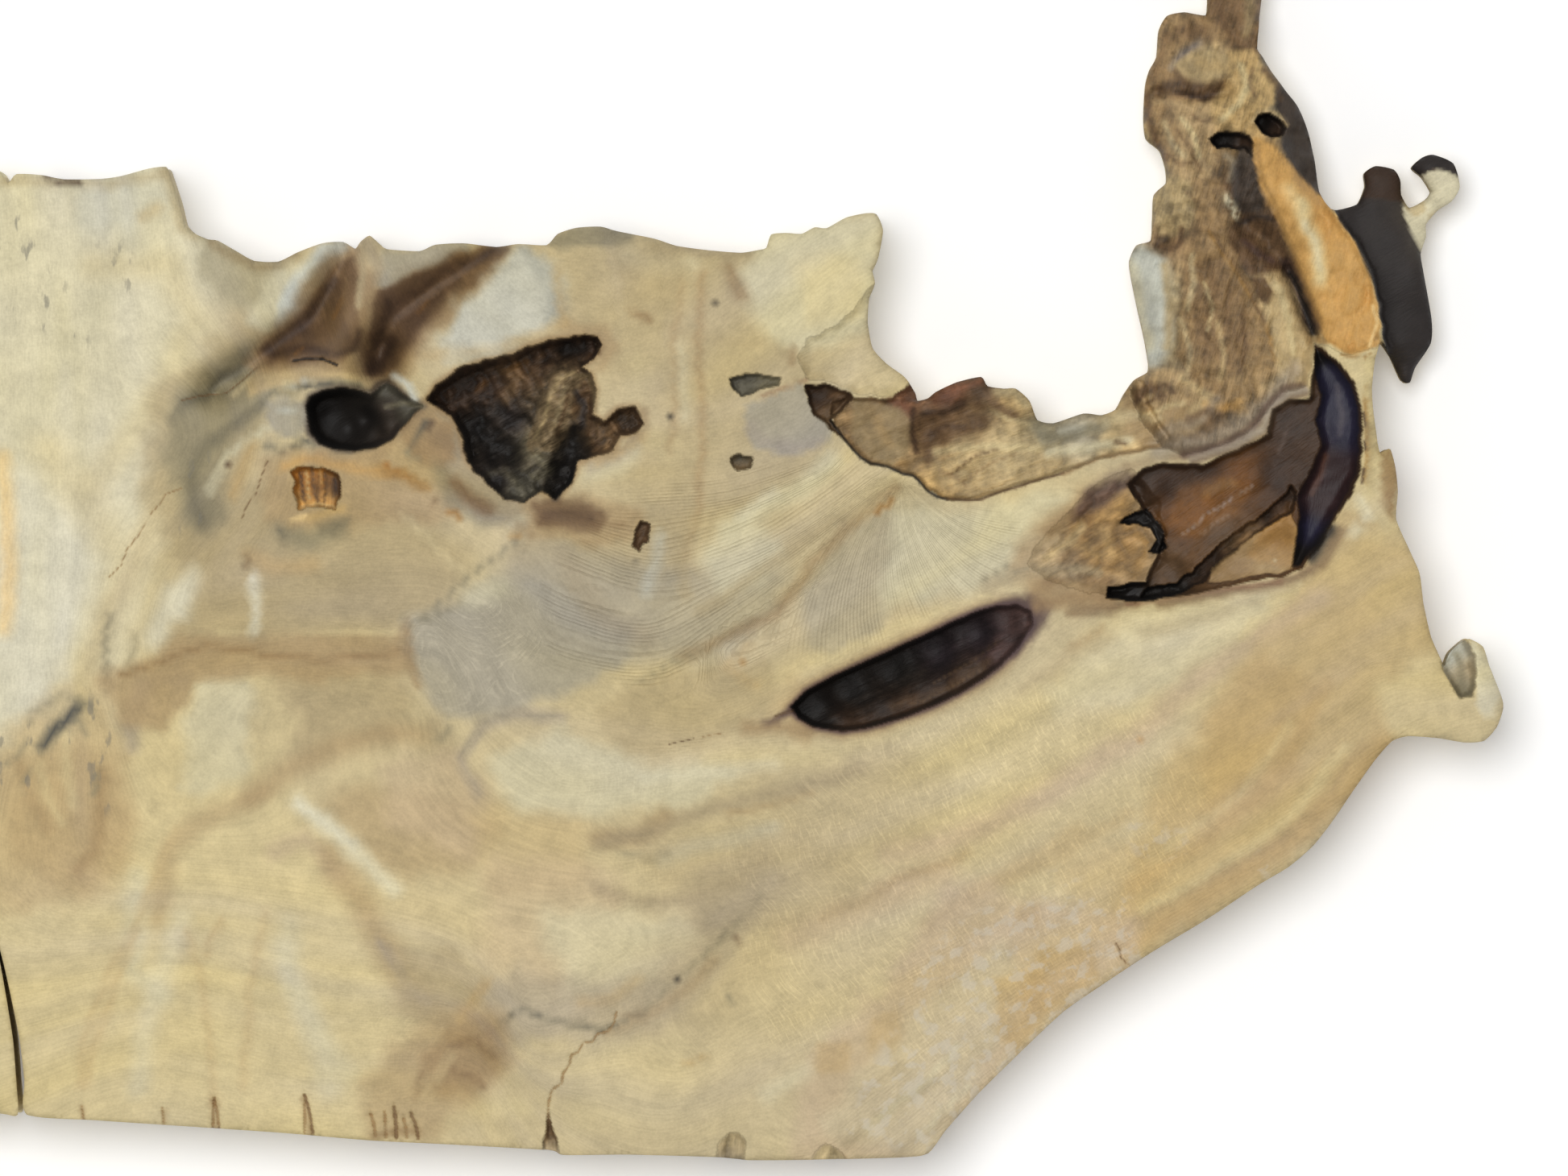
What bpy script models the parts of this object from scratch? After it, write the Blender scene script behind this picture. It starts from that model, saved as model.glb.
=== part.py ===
"""Elderberry wood slice: one slab sawn from an old, hollowed and folded elder stump.

The slab is a single body. Its sawn top lies SLAB_THICKNESS above its sawn underside.
Weathered hollows, a worn slot, pits, grooves and a broken ledge lie below the sawn top,
and an arm of wood with its grown surface leaves the slab at one side of an open bay.

The top is a field of depth below the saw's plane: each hollow, groove and worn edge adds
its own depth. A constrained triangulation carries that field, another carries the underside,
which is flat and worn up only along the edges, and a wall bridges the two borders.

Plan positions are read as pixels of a view straight down on the sawn top, with
PIXELS_PER_MM of them to a millimetre. Depths and widths are real millimetres.
"""

from dataclasses import dataclass

import bmesh
import bpy
import numpy as np
from mathutils import Vector
from mathutils.geometry import delaunay_2d_cdt

# Driving sizes, in millimetres
SLAB_THICKNESS = 28.0
PIXELS_PER_MM = 6.5
LEAST_FLOOR = 5.0
LEAST_EDGE = 2.5
LEAST_RELIEF = 0.02
METRES_PER_MM = 0.001

# How finely the top is divided, in millimetres
RIM_SPACING = 2.3
GRID_SPACINGS = (13.0, 6.0, 3.0, 1.9)
GRID_TOLERANCES = (0.0, 0.25, 0.3, 0.5)
UNDERSIDE_SPACING = 16.0
UNDERSIDE_OFFSETS = (1.0, 3.0, 6.5)
WORN_ROW_OFFSET = 1.6
LEAST_POINT_GAP = 0.8
LEAST_RIM_GAP = 0.56
SPOT_SOFTNESS = 1.4

# The outline, clockwise in the view, as stretches of (how far the top edge is worn down, how far
# the underside is worn up, points). The left edge and the twig's tip lie past what the view
# shows, so they are worked out.
LEFT_EDGE = (2.5, 3.0, [
    (0, 1383), (-118, 1377), (-128, 1290), (-150, 1180), (-172, 1040), (-160, 900), (-170, 760),
    (-158, 620), (-165, 470), (-150, 340), (-120, 260), (-70, 222), (-20, 205)])
TOP_LEFT_EDGE = (0.8, 2.0, [
    (0, 213), (10, 227), (20, 216), (50, 217), (80, 222.5), (125, 222), (150, 218.5), (185, 209),
    (206, 207), (211, 217), (222, 250), (229, 278), (240, 289), (258, 297)])
HOLLOWED_EDGE = (2.6, 5.0, [
    (270, 298.5), (292, 311), (315, 323.5), (345, 324.5), (370, 312.5), (400, 301.5), (425, 299.5),
    (440, 308), (446, 300), (458, 292), (469, 301), (480, 309), (520, 311.5), (540, 303.5),
    (575, 301.5), (615, 305.5), (642, 302), (678, 304), (692, 290), (715, 282.5), (745, 281),
    (765, 286.5), (812, 296), (840, 305), (880, 310.5), (920, 313.5), (944, 309.5)])
SPIKE_EDGE = (1.0, 4.0, [
    (951, 307.5), (957, 291), (975, 289), (995, 290), (1011, 282), (1026, 283), (1050, 270),
    (1075, 264.5), (1088, 266), (1096, 286), (1090, 320), (1083, 336), (1086, 352), (1079, 370),
    (1077, 400), (1083, 432), (1100, 451), (1123, 468), (1136, 487)])
BAY_EDGE = (1.6, 5.0, [
    (1139, 497), (1152, 494), (1162, 486), (1188, 474), (1218, 467.5), (1226, 479), (1246, 482),
    (1261, 482), (1278, 497), (1288, 521), (1308, 525), (1345, 513), (1368, 515), (1386, 507.5),
    (1396, 489), (1409, 471), (1426, 461)])
ARM_LEFT_EDGE = (3.0, 6.0, [
    (1427, 450), (1422, 420), (1413, 380), (1405, 340), (1403.5, 322), (1412, 303), (1430, 297),
    (1432, 270), (1434, 240), (1449, 225), (1448, 206), (1441, 185), (1424, 170), (1421, 145),
    (1423, 105), (1428, 85), (1437, 68), (1440, 35), (1450, 17), (1472, 12.5), (1498, 16.5)])
TWIG_EDGE = (2.5, 4.0, [
    (1501, 0), (1500, -20), (1506, -50), (1520, -78), (1540, -92), (1558, -84), (1568, -55),
    (1570, -20), (1565, 20)])
ARM_RIGHT_EDGE = (2.5, 6.0, [
    (1562, 58), (1569, 69), (1580, 88), (1596, 109), (1613, 131), (1626, 162), (1634, 200),
    (1639, 237), (1652, 259)])
FLANGE_EDGE = (2.0, 4.0, [
    (1668, 258), (1688, 251), (1697, 230), (1696, 213), (1710, 204), (1733, 208.5), (1741, 222),
    (1742, 240), (1752, 256), (1772, 246), (1779, 236), (1768, 218), (1755, 206), (1768, 193.5),
    (1782, 190), (1807, 201), (1815, 230), (1805, 248), (1787, 260), (1773, 277), (1773, 292),
    (1766, 314), (1770, 340), (1780, 395), (1779, 425), (1760, 455), (1753, 474), (1742, 471),
    (1728, 441), (1715, 424)])
RIGHT_EDGE = (1.0, 4.0, [
    (1707, 445), (1703, 480), (1704, 505), (1710, 550), (1713, 562), (1721, 558), (1726, 558),
    (1732, 580), (1735, 610), (1733, 645), (1750, 684), (1762, 712), (1767, 750), (1776, 790),
    (1790, 822)])
HOOK_EDGE = (2.0, 5.0, [
    (1793, 828), (1800, 811), (1815, 797), (1824, 793), (1841, 803), (1849, 827), (1864, 865),
    (1866, 880), (1858, 903), (1842, 920), (1818, 922), (1785, 916.5)])
LOWER_RIGHT_EDGE = (0.7, 2.0, [
    (1748, 914), (1728, 920), (1708, 942), (1680, 981), (1655, 1018), (1630, 1050), (1600, 1076),
    (1560, 1100), (1500, 1140), (1430, 1182), (1375, 1218), (1320, 1256), (1270, 1303),
    (1215, 1357), (1175, 1402), (1152, 1432), (1120, 1437)])
SAWN_EDGE = (0.3, 0.3, [
    (1000, 1440), (930, 1440.5), (885, 1436.5), (780, 1433.5), (700, 1434), (680, 1428),
    (560, 1421), (460, 1416), (350, 1406.5), (240, 1399), (120, 1391), (33, 1384)])
CORNER_SPLIT = (0.3, 0.3, [
    (30, 1340), (24, 1290), (13, 1235), (4, 1195), (-8, 1150), (0, 1195), (8, 1240), (16, 1290),
    (20, 1340), (22, 1384)])
OUTLINE_STRETCHES = (
    LEFT_EDGE, TOP_LEFT_EDGE, HOLLOWED_EDGE, SPIKE_EDGE, BAY_EDGE, ARM_LEFT_EDGE, TWIG_EDGE,
    ARM_RIGHT_EDGE, FLANGE_EDGE, RIGHT_EDGE, HOOK_EDGE, LOWER_RIGHT_EDGE, SAWN_EDGE, CORNER_SPLIT)


@dataclass(frozen=True)
class Hollow:
    """A place that lies below the sawn top: its rim, how steep its wall is, and its floor.

    rim is a closed outline in pixels, wall is the plan width of the wall in millimetres,
    and spots are (x pixel, y pixel, depth in millimetres) on the floor.
    """

    rim: tuple
    wall: float
    spots: tuple


@dataclass(frozen=True)
class Groove:
    """A soft trough along a path in pixels, with a half width and a depth in millimetres."""

    path: tuple
    half_width: float
    depth: float


ROUND_HOLE = Hollow(
    rim=((382, 515), (380, 500), (385, 492), (400, 484), (420, 481), (435, 483), (450, 490),
         (462, 500), (475, 492), (480, 478), (490, 484), (505, 497), (528, 506), (510, 515),
         (495, 530), (480, 545), (460, 556), (440, 560), (410, 558), (395, 550), (384, 540)),
    wall=1.2,
    spots=((405, 515, 19), (430, 530, 20), (455, 520, 18), (478, 512, 9), (500, 506, 4),
           (485, 530, 8), (395, 500, 16)))
CAVERN = Hollow(
    rim=((528, 499), (540, 478), (565, 460), (600, 448), (630, 442), (655, 430), (682, 420),
         (715, 417), (742, 418), (749, 430), (736, 446), (722, 456), (735, 465), (740, 485),
         (735, 515), (748, 522), (768, 508), (790, 503), (800, 525), (790, 538), (768, 542),
         (760, 560), (738, 568), (718, 575), (708, 600), (690, 622), (672, 610), (652, 624),
         (625, 620), (600, 598), (580, 575), (571, 537), (558, 515)),
    wall=1.3,
    spots=((560, 497, 15), (590, 530, 19), (620, 560, 19), (610, 480, 16), (645, 460, 12),
           (650, 530, 17), (700, 432, 14), (735, 428, 12), (668, 520, 12), (700, 470, 5),
           (690, 500, 6), (680, 540, 7), (672, 575, 9), (722, 495, 10), (708, 548, 16),
           (700, 585, 17), (770, 530, 4.5), (745, 545, 6), (610, 592, 10), (640, 610, 8)))
RUSTY_PIT = Hollow(
    rim=((362, 585), (375, 577), (400, 580), (422, 590), (425, 615), (418, 632), (395, 630),
         (370, 635), (364, 612)),
    wall=0.9,
    spots=((392, 605, 3.5), (417, 610, 4)))
BROWN_PIT = Hollow(
    rim=((795, 645), (806, 650), (803, 670), (792, 685), (785, 678), (788, 658)),
    wall=0.8, spots=((795, 665, 2.2),))
GREY_SLIT = Hollow(
    rim=((905, 470), (925, 462), (950, 466), (970, 468), (966, 480), (940, 484), (920, 492),
         (908, 482)),
    wall=0.8, spots=((925, 476, 2.4), (955, 473, 1.8)))
SMALL_PIT = Hollow(
    rim=((906, 568), (920, 562), (934, 568), (932, 582), (915, 585), (907, 579)),
    wall=0.7, spots=((920, 573, 2.0),))
TRIANGULAR_POCKET = Hollow(
    rim=((999, 478), (1025, 476), (1055, 488), (1060, 493), (1045, 508), (1031, 522),
         (1042, 535), (1048, 544), (1030, 532), (1010, 514), (1002, 498)),
    wall=0.9, spots=((1022, 493, 7), (1045, 492, 5), (1030, 512, 5)))
SHELF_SEAM = Hollow(
    rim=((1085, 352), (1060, 385), (1030, 408), (1000, 420), (990, 445), (1000, 470), (1030, 474),
         (1060, 488), (1105, 492), (1145, 500), (1145, 440), (1095, 420), (1100, 360)),
    wall=2.0, spots=((1050, 440, 1.2), (1110, 480, 1.8), (1075, 400, 1.4)))
LEDGE = Hollow(
    rim=((1031, 497), (1040, 515), (1048, 544), (1060, 560), (1080, 575), (1100, 578),
         (1120, 588), (1140, 595), (1152, 610), (1175, 620), (1218, 620), (1245, 608),
         (1300, 593), (1340, 578), (1380, 566), (1420, 558), (1460, 545), (1500, 520),
         (1500, 430), (1380, 400), (1150, 400), (1135, 470), (1105, 494), (1060, 492)),
    wall=0.9,
    spots=((1045, 510, 1.6), (1080, 545, 2.4), (1105, 560, 3.2), (1120, 520, 3), (1150, 600, 5.5),
           (1200, 608, 5.5), (1150, 540, 8.5), (1200, 520, 6.5), (1180, 488, 2.6),
           (1222, 478, 3), (1255, 495, 3.6), (1200, 560, 4.5), (1250, 560, 4.5), (1290, 530, 5),
           (1300, 575, 5), (1345, 545, 5.5), (1370, 530, 5), (1400, 545, 3), (1390, 505, 4.5),
           (1425, 485, 7), (1440, 530, 1.6), (1490, 500, 1.2)))
SLOT = Hollow(
    rim=((980, 880), (1000, 857), (1040, 838), (1080, 820), (1120, 800), (1180, 778),
         (1230, 765), (1265, 750), (1282, 770), (1278, 785), (1250, 815), (1210, 845),
         (1160, 870), (1100, 898), (1040, 910), (1000, 902), (982, 890)),
    wall=1.1,
    spots=((1010, 878, 11), (1045, 862, 15), (1100, 836, 16), (1160, 808, 16), (1210, 788, 14),
           (1250, 770, 9), (1040, 898, 8), (1100, 884, 9), (1150, 864, 9), (1200, 838, 8),
           (1240, 812, 6), (1268, 784, 5)))
GLOSSY_HOLLOW = Hollow(
    rim=((1398, 600), (1420, 578), (1465, 573), (1500, 574), (1530, 558), (1570, 535),
         (1580, 505), (1605, 494), (1628, 490), (1632, 455), (1638, 432), (1660, 450),
         (1685, 485), (1691, 520), (1690, 590), (1672, 615), (1655, 660), (1630, 700),
         (1590, 716), (1530, 727), (1470, 740), (1400, 748), (1376, 742), (1400, 724),
         (1420, 690), (1412, 650), (1395, 630)),
    wall=1.6,
    spots=((1425, 605, 6), (1450, 630, 9), (1500, 600, 9), (1550, 590, 8.5), (1480, 650, 9.5),
           (1470, 678, 7), (1520, 652, 6.5), (1570, 622, 6), (1612, 590, 6.5), (1450, 712, 11),
           (1500, 690, 11), (1560, 652, 11), (1612, 612, 12), (1540, 700, 4.5), (1585, 682, 5),
           (1592, 705, 3), (1520, 717, 3.5), (1640, 480, 7), (1648, 540, 10), (1655, 600, 11),
           (1635, 655, 10), (1680, 530, 5), (1400, 736, 9), (1605, 520, 5)))
BROWN_APRON = Hollow(
    rim=((1400, 590), (1370, 600), (1345, 618), (1330, 640), (1310, 660), (1290, 680),
         (1280, 700), (1300, 720), (1350, 735), (1385, 735), (1425, 700), (1425, 640)),
    wall=3.0, spots=((1330, 690, 1.4), (1370, 630, 1.8), (1395, 690, 3.2)))
ARM = Hollow(
    rim=((1470, 566), (1440, 552), (1415, 520), (1405, 490), (1380, 430), (1380, -140),
         (1650, -140), (1660, 200), (1652, 262), (1680, 300), (1698, 330), (1712, 380),
         (1714, 430), (1668, 440), (1632, 425), (1622, 480), (1590, 488), (1565, 520),
         (1530, 548)),
    wall=2.4,
    spots=((1410, 320, 13), (1408, 380, 14), (1416, 425, 12), (1428, 450, 9), (1440, 335, 8),
           (1445, 400, 7), (1450, 450, 5.5), (1470, 360, 3.5), (1480, 440, 3), (1438, 250, 10),
           (1460, 250, 5), (1482, 230, 4), (1448, 295, 11), (1500, 300, 2.6), (1520, 370, 2.2),
           (1530, 430, 2), (1552, 465, 2), (1510, 250, 3), (1430, 175, 11), (1425, 130, 12),
           (1438, 80, 11), (1450, 38, 12), (1472, 22, 11), (1495, 28, 10), (1480, 110, 5),
           (1500, 62, 6), (1520, 92, 4), (1540, 130, 3), (1490, 160, 5), (1470, 200, 5),
           (1570, 200, 0.5), (1600, 240, 0.4), (1625, 290, 0.2), (1655, 345, 0.2),
           (1680, 395, 0.2), (1692, 425, 0.3), (1598, 130, 9), (1620, 170, 11), (1630, 212, 9),
           (1580, 96, 7), (1562, 66, 8), (1570, 300, 6), (1590, 335, 5), (1612, 385, 3),
           (1600, 440, 2), (1535, -60, 12), (1540, 0, 11), (1545, 40, 9), (1512, 0, 13),
           (1562, -10, 13), (1450, 490, 5), (1500, 520, 2), (1560, 500, 1.5)))
FLANGE = Hollow(
    rim=((1645, 246), (1660, 268), (1680, 300), (1698, 330), (1710, 375), (1716, 424),
         (1735, 500), (1840, 480), (1840, 150), (1690, 150), (1680, 240)),
    wall=1.4,
    spots=((1690, 265, 13), (1720, 218, 14), (1740, 240, 14), (1730, 300, 12), (1760, 335, 12),
           (1775, 400, 14), (1750, 460, 16), (1735, 420, 13), (1712, 330, 12), (1785, 220, 13),
           (1765, 262, 15), (1770, 300, 13), (1668, 262, 12)))
ARM_CAVITY = Hollow(
    rim=((1500, 172), (1515, 160), (1545, 162), (1556, 178), (1550, 196), (1530, 200),
         (1505, 190)),
    wall=0.9, spots=((1525, 178, 8),))
ARM_HOLE = Hollow(
    rim=((1560, 150), (1570, 140), (1590, 142), (1600, 155), (1595, 170), (1575, 170)),
    wall=0.9, spots=((1580, 156, 9),))
HOOK_RECESS = Hollow(
    rim=((1790, 822), (1800, 805), (1816, 792), (1825, 800), (1830, 815), (1833, 850),
         (1827, 865), (1812, 868), (1800, 852), (1793, 834)),
    wall=0.8, spots=((1812, 830, 8), (1815, 850, 7)))
EDGE_CHIP = Hollow(
    rim=((885, 1450), (893, 1420), (905, 1404), (922, 1408), (930, 1425), (935, 1450)),
    wall=0.9, spots=((910, 1428, 2.5),))
WEDGE_CHIP = Hollow(
    rim=((668, 1445), (676, 1405), (684, 1380), (692, 1400), (697, 1445)),
    wall=0.9, spots=((683, 1420, 5),))
HOLLOWS = (
    ROUND_HOLE, CAVERN, RUSTY_PIT, BROWN_PIT, GREY_SLIT, SMALL_PIT, TRIANGULAR_POCKET,
    SHELF_SEAM, LEDGE, SLOT, GLOSSY_HOLLOW, BROWN_APRON, ARM, FLANGE, ARM_CAVITY, ARM_HOLE,
    HOOK_RECESS, EDGE_CHIP, WEDGE_CHIP)

GROOVES = (
    Groove(((432, 300), (415, 345), (390, 395), (340, 430), (300, 460), (265, 482)), 3.2, 6.0),
    Groove(((632, 300), (590, 325), (540, 358), (490, 395), (470, 440)), 3.8, 7.5),
    Groove(((470, 430), (466, 462)), 3.0, 5.0),
    Groove(((1602, 335), (1618, 380), (1634, 425)), 1.3, 6.0),
    Groove(((1545, 275), (1575, 300), (1598, 335)), 2.2, 3.0),
    Groove(((1440, 112), (1480, 122), (1525, 112)), 1.2, 2.0))


def distance_to_piece(points, start, end):
    """Distance from every point to one straight piece of a path, in pixels."""
    along = end - start
    length_squared = max(float(along @ along), 1e-12)
    share = np.clip(((points - start) @ along) / length_squared, 0.0, 1.0)
    return np.hypot(*(points - start - share[:, None] * along).T)


def distance_to_path(points, path, closed):
    """Shortest distance from every point to a path, in millimetres."""
    corners = np.asarray(path, dtype=float)
    ends = np.roll(corners, -1, axis=0) if closed else corners[1:]
    nearest = np.full(len(points), np.inf)
    for start, end in zip(corners, ends):
        nearest = np.minimum(nearest, distance_to_piece(points, start, end))
    return nearest / PIXELS_PER_MM


def inside(points, loop):
    """True for every point inside a closed loop, by counting the sides to its right."""
    corners = np.asarray(loop, dtype=float)
    odd = np.zeros(len(points), dtype=bool)
    for (x0, y0), (x1, y1) in zip(corners, np.roll(corners, -1, axis=0)):
        spans = (y0 > points[:, 1]) != (y1 > points[:, 1])
        rise = y1 - y0 if y1 != y0 else 1e-12
        odd ^= spans & (points[:, 0] < (x1 - x0) * (points[:, 1] - y0) / rise + x0)
    return odd


def blended_spots(points, spots):
    """Floor depth at every point: the spots' depths weighted by inverse cube of distance."""
    table = np.asarray(spots, dtype=float)
    gaps = np.hypot(points[:, None, 0] - table[:, 0], points[:, None, 1] - table[:, 1])
    softened = (gaps / PIXELS_PER_MM) ** 2 + SPOT_SOFTNESS ** 2
    weights = softened ** -1.5
    return (weights @ table[:, 2]) / weights.sum(axis=1)


def hollow_depth(points, hollow):
    """Depth of one hollow: its floor's depth, eased in across its wall from the rim."""
    depth = np.zeros(len(points))
    within = inside(points, hollow.rim)
    if within.any():
        chosen = points[within]
        share = np.clip(distance_to_path(chosen, hollow.rim, True) / hollow.wall, 0.0, 1.0)
        depth[within] = blended_spots(chosen, hollow.spots) * (1.0 - (1.0 - share) ** 2)
    return depth


def groove_depth(points, groove):
    """Depth of a groove: a bell curve of the distance from its path."""
    reach = distance_to_path(points, groove.path, False) / groove.half_width
    return groove.depth * np.exp(-reach ** 2)


def worn_edge_depth(points, wear, stretch):
    """Depth of a worn edge: a quarter ellipse, twice as wide as it is deep."""
    share = np.clip(distance_to_path(points, stretch, False) / (2.0 * wear), 0.0, 1.0)
    return wear * (1.0 - np.sqrt(1.0 - (1.0 - share) ** 2))


def relief(points):
    """Height of the top above the underside at every plan point, in millimetres."""
    depth = sum(hollow_depth(points, hollow) for hollow in HOLLOWS)
    depth = depth + sum(groove_depth(points, groove) for groove in GROOVES)
    worn = np.zeros(len(points))
    for wear, _, stretch in OUTLINE_STRETCHES:
        worn = np.maximum(worn, worn_edge_depth(points, wear, stretch))
    depth = np.where(depth + worn < LEAST_RELIEF, 0.0, depth + worn)
    return np.maximum(SLAB_THICKNESS - depth, LEAST_FLOOR)


def underside(points):
    """Height of the underside at every plan point: flat, and worn up along the edges."""
    worn = np.zeros(len(points))
    for _, wear, stretch in OUTLINE_STRETCHES:
        worn = np.maximum(worn, worn_edge_depth(points, wear, stretch))
    worn = np.minimum(worn, relief(points) - LEAST_EDGE)
    return np.where(worn < LEAST_RELIEF, 0.0, worn)


def evenly_along(loop, spacing):
    """Points along a closed loop: its corners, and more between them at the spacing."""
    points = []
    corners = np.asarray(loop, dtype=float)
    for start, end in zip(corners, np.roll(corners, -1, axis=0)):
        count = max(1, round(float(np.hypot(*(end - start))) / (spacing * PIXELS_PER_MM)))
        points.extend(start + (end - start) * step / count for step in range(count))
    return np.array(points)


def inward_copy(loop, reach):
    """The loop's points moved to its inside by a reach in millimetres."""
    tangent = np.roll(loop, -1, axis=0) - np.roll(loop, 1, axis=0)
    normal = np.column_stack([-tangent[:, 1], tangent[:, 0]])
    normal /= np.maximum(np.hypot(*normal.T), 1e-9)[:, None]
    moved = loop + normal * reach * PIXELS_PER_MM
    other = loop - normal * reach * PIXELS_PER_MM
    return np.where(inside(moved, loop)[:, None], moved, other)


def grid_points(outline, spacing):
    """Points inside the outline on a grid of equal triangles with this side."""
    low, high = outline.min(axis=0), outline.max(axis=0)
    step = spacing * PIXELS_PER_MM
    row_step = step * np.sin(np.radians(60.0))
    columns, rows = np.meshgrid(
        np.arange(low[0], high[0], step), np.arange(low[1], high[1], row_step))
    columns[1::2] += step / 2
    grid = np.column_stack([columns.ravel(), rows.ravel()])
    return grid[inside(grid, outline)]


def needed_grid_points(outline):
    """Grid points over the slab: coarse everywhere, finer where the relief bends."""
    chosen = []
    for spacing, tolerance in zip(GRID_SPACINGS, GRID_TOLERANCES):
        step = spacing * PIXELS_PER_MM
        grid = grid_points(outline, spacing)
        middle = relief(grid)
        bend = np.zeros(len(grid))
        for angle in np.radians((0, 60, 120)):
            offset = 0.5 * step * np.array([np.cos(angle), np.sin(angle)])
            bend = np.maximum(bend, abs(relief(grid + offset) + relief(grid - offset) - 2 * middle))
        chosen.append(grid[bend >= tolerance])
    return np.vstack(chosen)


def thinned(points, kept, gap):
    """The points that stay a gap in millimetres from the kept ones and from each other."""
    result = [tuple(point) for point in kept]
    cell = gap * PIXELS_PER_MM
    cells = {}
    for point in result:
        cells.setdefault((int(point[0] // cell), int(point[1] // cell)), []).append(point)
    fresh = []
    for point in points:
        column, row = int(point[0] // cell), int(point[1] // cell)
        near = (other for i in (-1, 0, 1) for j in (-1, 0, 1)
                for other in cells.get((column + i, row + j), ()))
        if all(np.hypot(point[0] - other[0], point[1] - other[1]) >= cell for other in near):
            cells.setdefault((column, row), []).append(tuple(point))
            fresh.append(tuple(point))
    return fresh


def rim_points(outline):
    """Points on the hollows' rims, and the edges between neighbours, numbered after the outline.

    A rim is left out where it runs past the outline or close to a rim that is already there.
    """
    rims, edges = [], []
    for hollow in HOLLOWS:
        rim = evenly_along(hollow.rim, RIM_SPACING)
        usable = inside(rim, outline) & (distance_to_path(rim, outline, True) > LEAST_RIM_GAP)
        usable &= [len(thinned([point], rims, LEAST_RIM_GAP)) == 1 for point in rim]
        numbers = np.cumsum(usable) - 1 + len(outline) + len(rims)
        rims.extend(map(tuple, rim[usable]))
        for i in range(len(rim)):
            j = (i + 1) % len(rim)
            if usable[i] and usable[j]:
                edges.append((int(numbers[i]), int(numbers[j])))
    return rims, edges


def top_points(outline):
    """Plan points of the top, and the rim edges that its triangulation keeps."""
    rims, edges = rim_points(outline)
    feet = [inward_copy(evenly_along(hollow.rim, RIM_SPACING), hollow.wall) for hollow in HOLLOWS]
    ditches = [np.asarray(groove.path, dtype=float) for groove in GROOVES]
    worn_row = inward_copy(outline, WORN_ROW_OFFSET)
    fill = np.vstack([*feet, *ditches, worn_row, needed_grid_points(outline)])
    fill = fill[inside(fill, outline)]
    fill = fill[distance_to_path(fill, outline, True) > LEAST_RIM_GAP]
    fixed = [tuple(point) for point in outline] + rims
    return np.array(fixed + thinned(fill, fixed, LEAST_POINT_GAP)), edges


def triangulated(outline, points, edges):
    """Plan points and faces of a triangulation that fills the outline and no more."""
    count = len(outline)
    border = [(i, (i + 1) % count) for i in range(count)]
    plan, _, faces, _, _, _ = delaunay_2d_cdt(
        [Vector(point) for point in points.tolist()], border + edges, [], 1, 1e-5, False)
    plan = np.array([tuple(point) for point in plan])
    centres = np.array([plan[list(face)].mean(axis=0) for face in faces])
    faces = [face for face, keep in zip(faces, inside(centres, outline)) if keep]
    return plan, faces


def underside_points(outline):
    """Plan points of the underside: the outline, rows of points inside it, and a wide grid."""
    rows = [inward_copy(outline, offset) for offset in UNDERSIDE_OFFSETS]
    fill = np.vstack([*rows, grid_points(outline, UNDERSIDE_SPACING)])
    fill = fill[inside(fill, outline)]
    fill = fill[distance_to_path(fill, outline, True) > UNDERSIDE_OFFSETS[0] * 0.8]
    fixed = [tuple(point) for point in outline]
    return np.array(fixed + thinned(fill, fixed, UNDERSIDE_OFFSETS[0]))


def add_sheet(slab, outline, plan, faces, heights):
    """Adds one sheet of triangles to the slab and gives its corners in plan order."""
    middle = 0.5 * (outline.min(axis=0) + outline.max(axis=0))
    across = (plan - middle) / PIXELS_PER_MM * (1.0, -1.0)
    corners = [slab.verts.new(Vector((*place, height)) * METRES_PER_MM)
               for place, height in zip(across.tolist(), heights.tolist())]
    for face in faces:
        slab.faces.new([corners[index] for index in face])
    return corners


def build_slab(outline):
    """The slab's mesh: a triangulated top and underside, bridged by the wall between them."""
    slab = bmesh.new()
    points, rim_edges = top_points(outline)
    plan, faces = triangulated(outline, points, rim_edges)
    add_sheet(slab, outline, plan, faces, relief(plan))
    plan, faces = triangulated(outline, underside_points(outline), [])
    add_sheet(slab, outline, plan, faces, underside(plan))
    loose = [corner for corner in slab.verts if not corner.link_faces]
    bmesh.ops.delete(slab, geom=loose, context="VERTS")
    borders = [edge for edge in slab.edges if edge.is_boundary]
    bmesh.ops.bridge_loops(slab, edges=borders)
    bmesh.ops.recalc_face_normals(slab, faces=slab.faces[:])
    bmesh.ops.triangulate(slab, faces=slab.faces[:])
    return slab


def wood_material():
    """Pale, dry elder wood with a matt sawn face."""
    material = bpy.data.materials.new("elder_wood")
    material.use_nodes = True
    shader = material.node_tree.nodes["Principled BSDF"]
    shader.inputs["Base Color"].default_value = (0.56, 0.43, 0.26, 1.0)
    shader.inputs["Roughness"].default_value = 0.7
    shader.inputs["Metallic"].default_value = 0.0
    return material


def main():
    """Clear the scene and build the slice."""
    for old in list(bpy.data.objects):
        bpy.data.objects.remove(old, do_unlink=True)
    collection = bpy.data.collections.new("elderberry_wood_slice")
    bpy.context.scene.collection.children.link(collection)
    corners = [point for _, _, stretch in OUTLINE_STRETCHES for point in stretch]
    outline = np.array(corners, dtype=float)
    slab = build_slab(outline)
    mesh = bpy.data.meshes.new("wood_slice")
    slab.to_mesh(mesh)
    slab.free()
    mesh.materials.append(wood_material())
    mesh.shade_smooth()
    mesh.set_sharp_from_angle(angle=np.radians(40.0))
    collection.objects.link(bpy.data.objects.new("wood_slice", mesh))


main()
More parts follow.
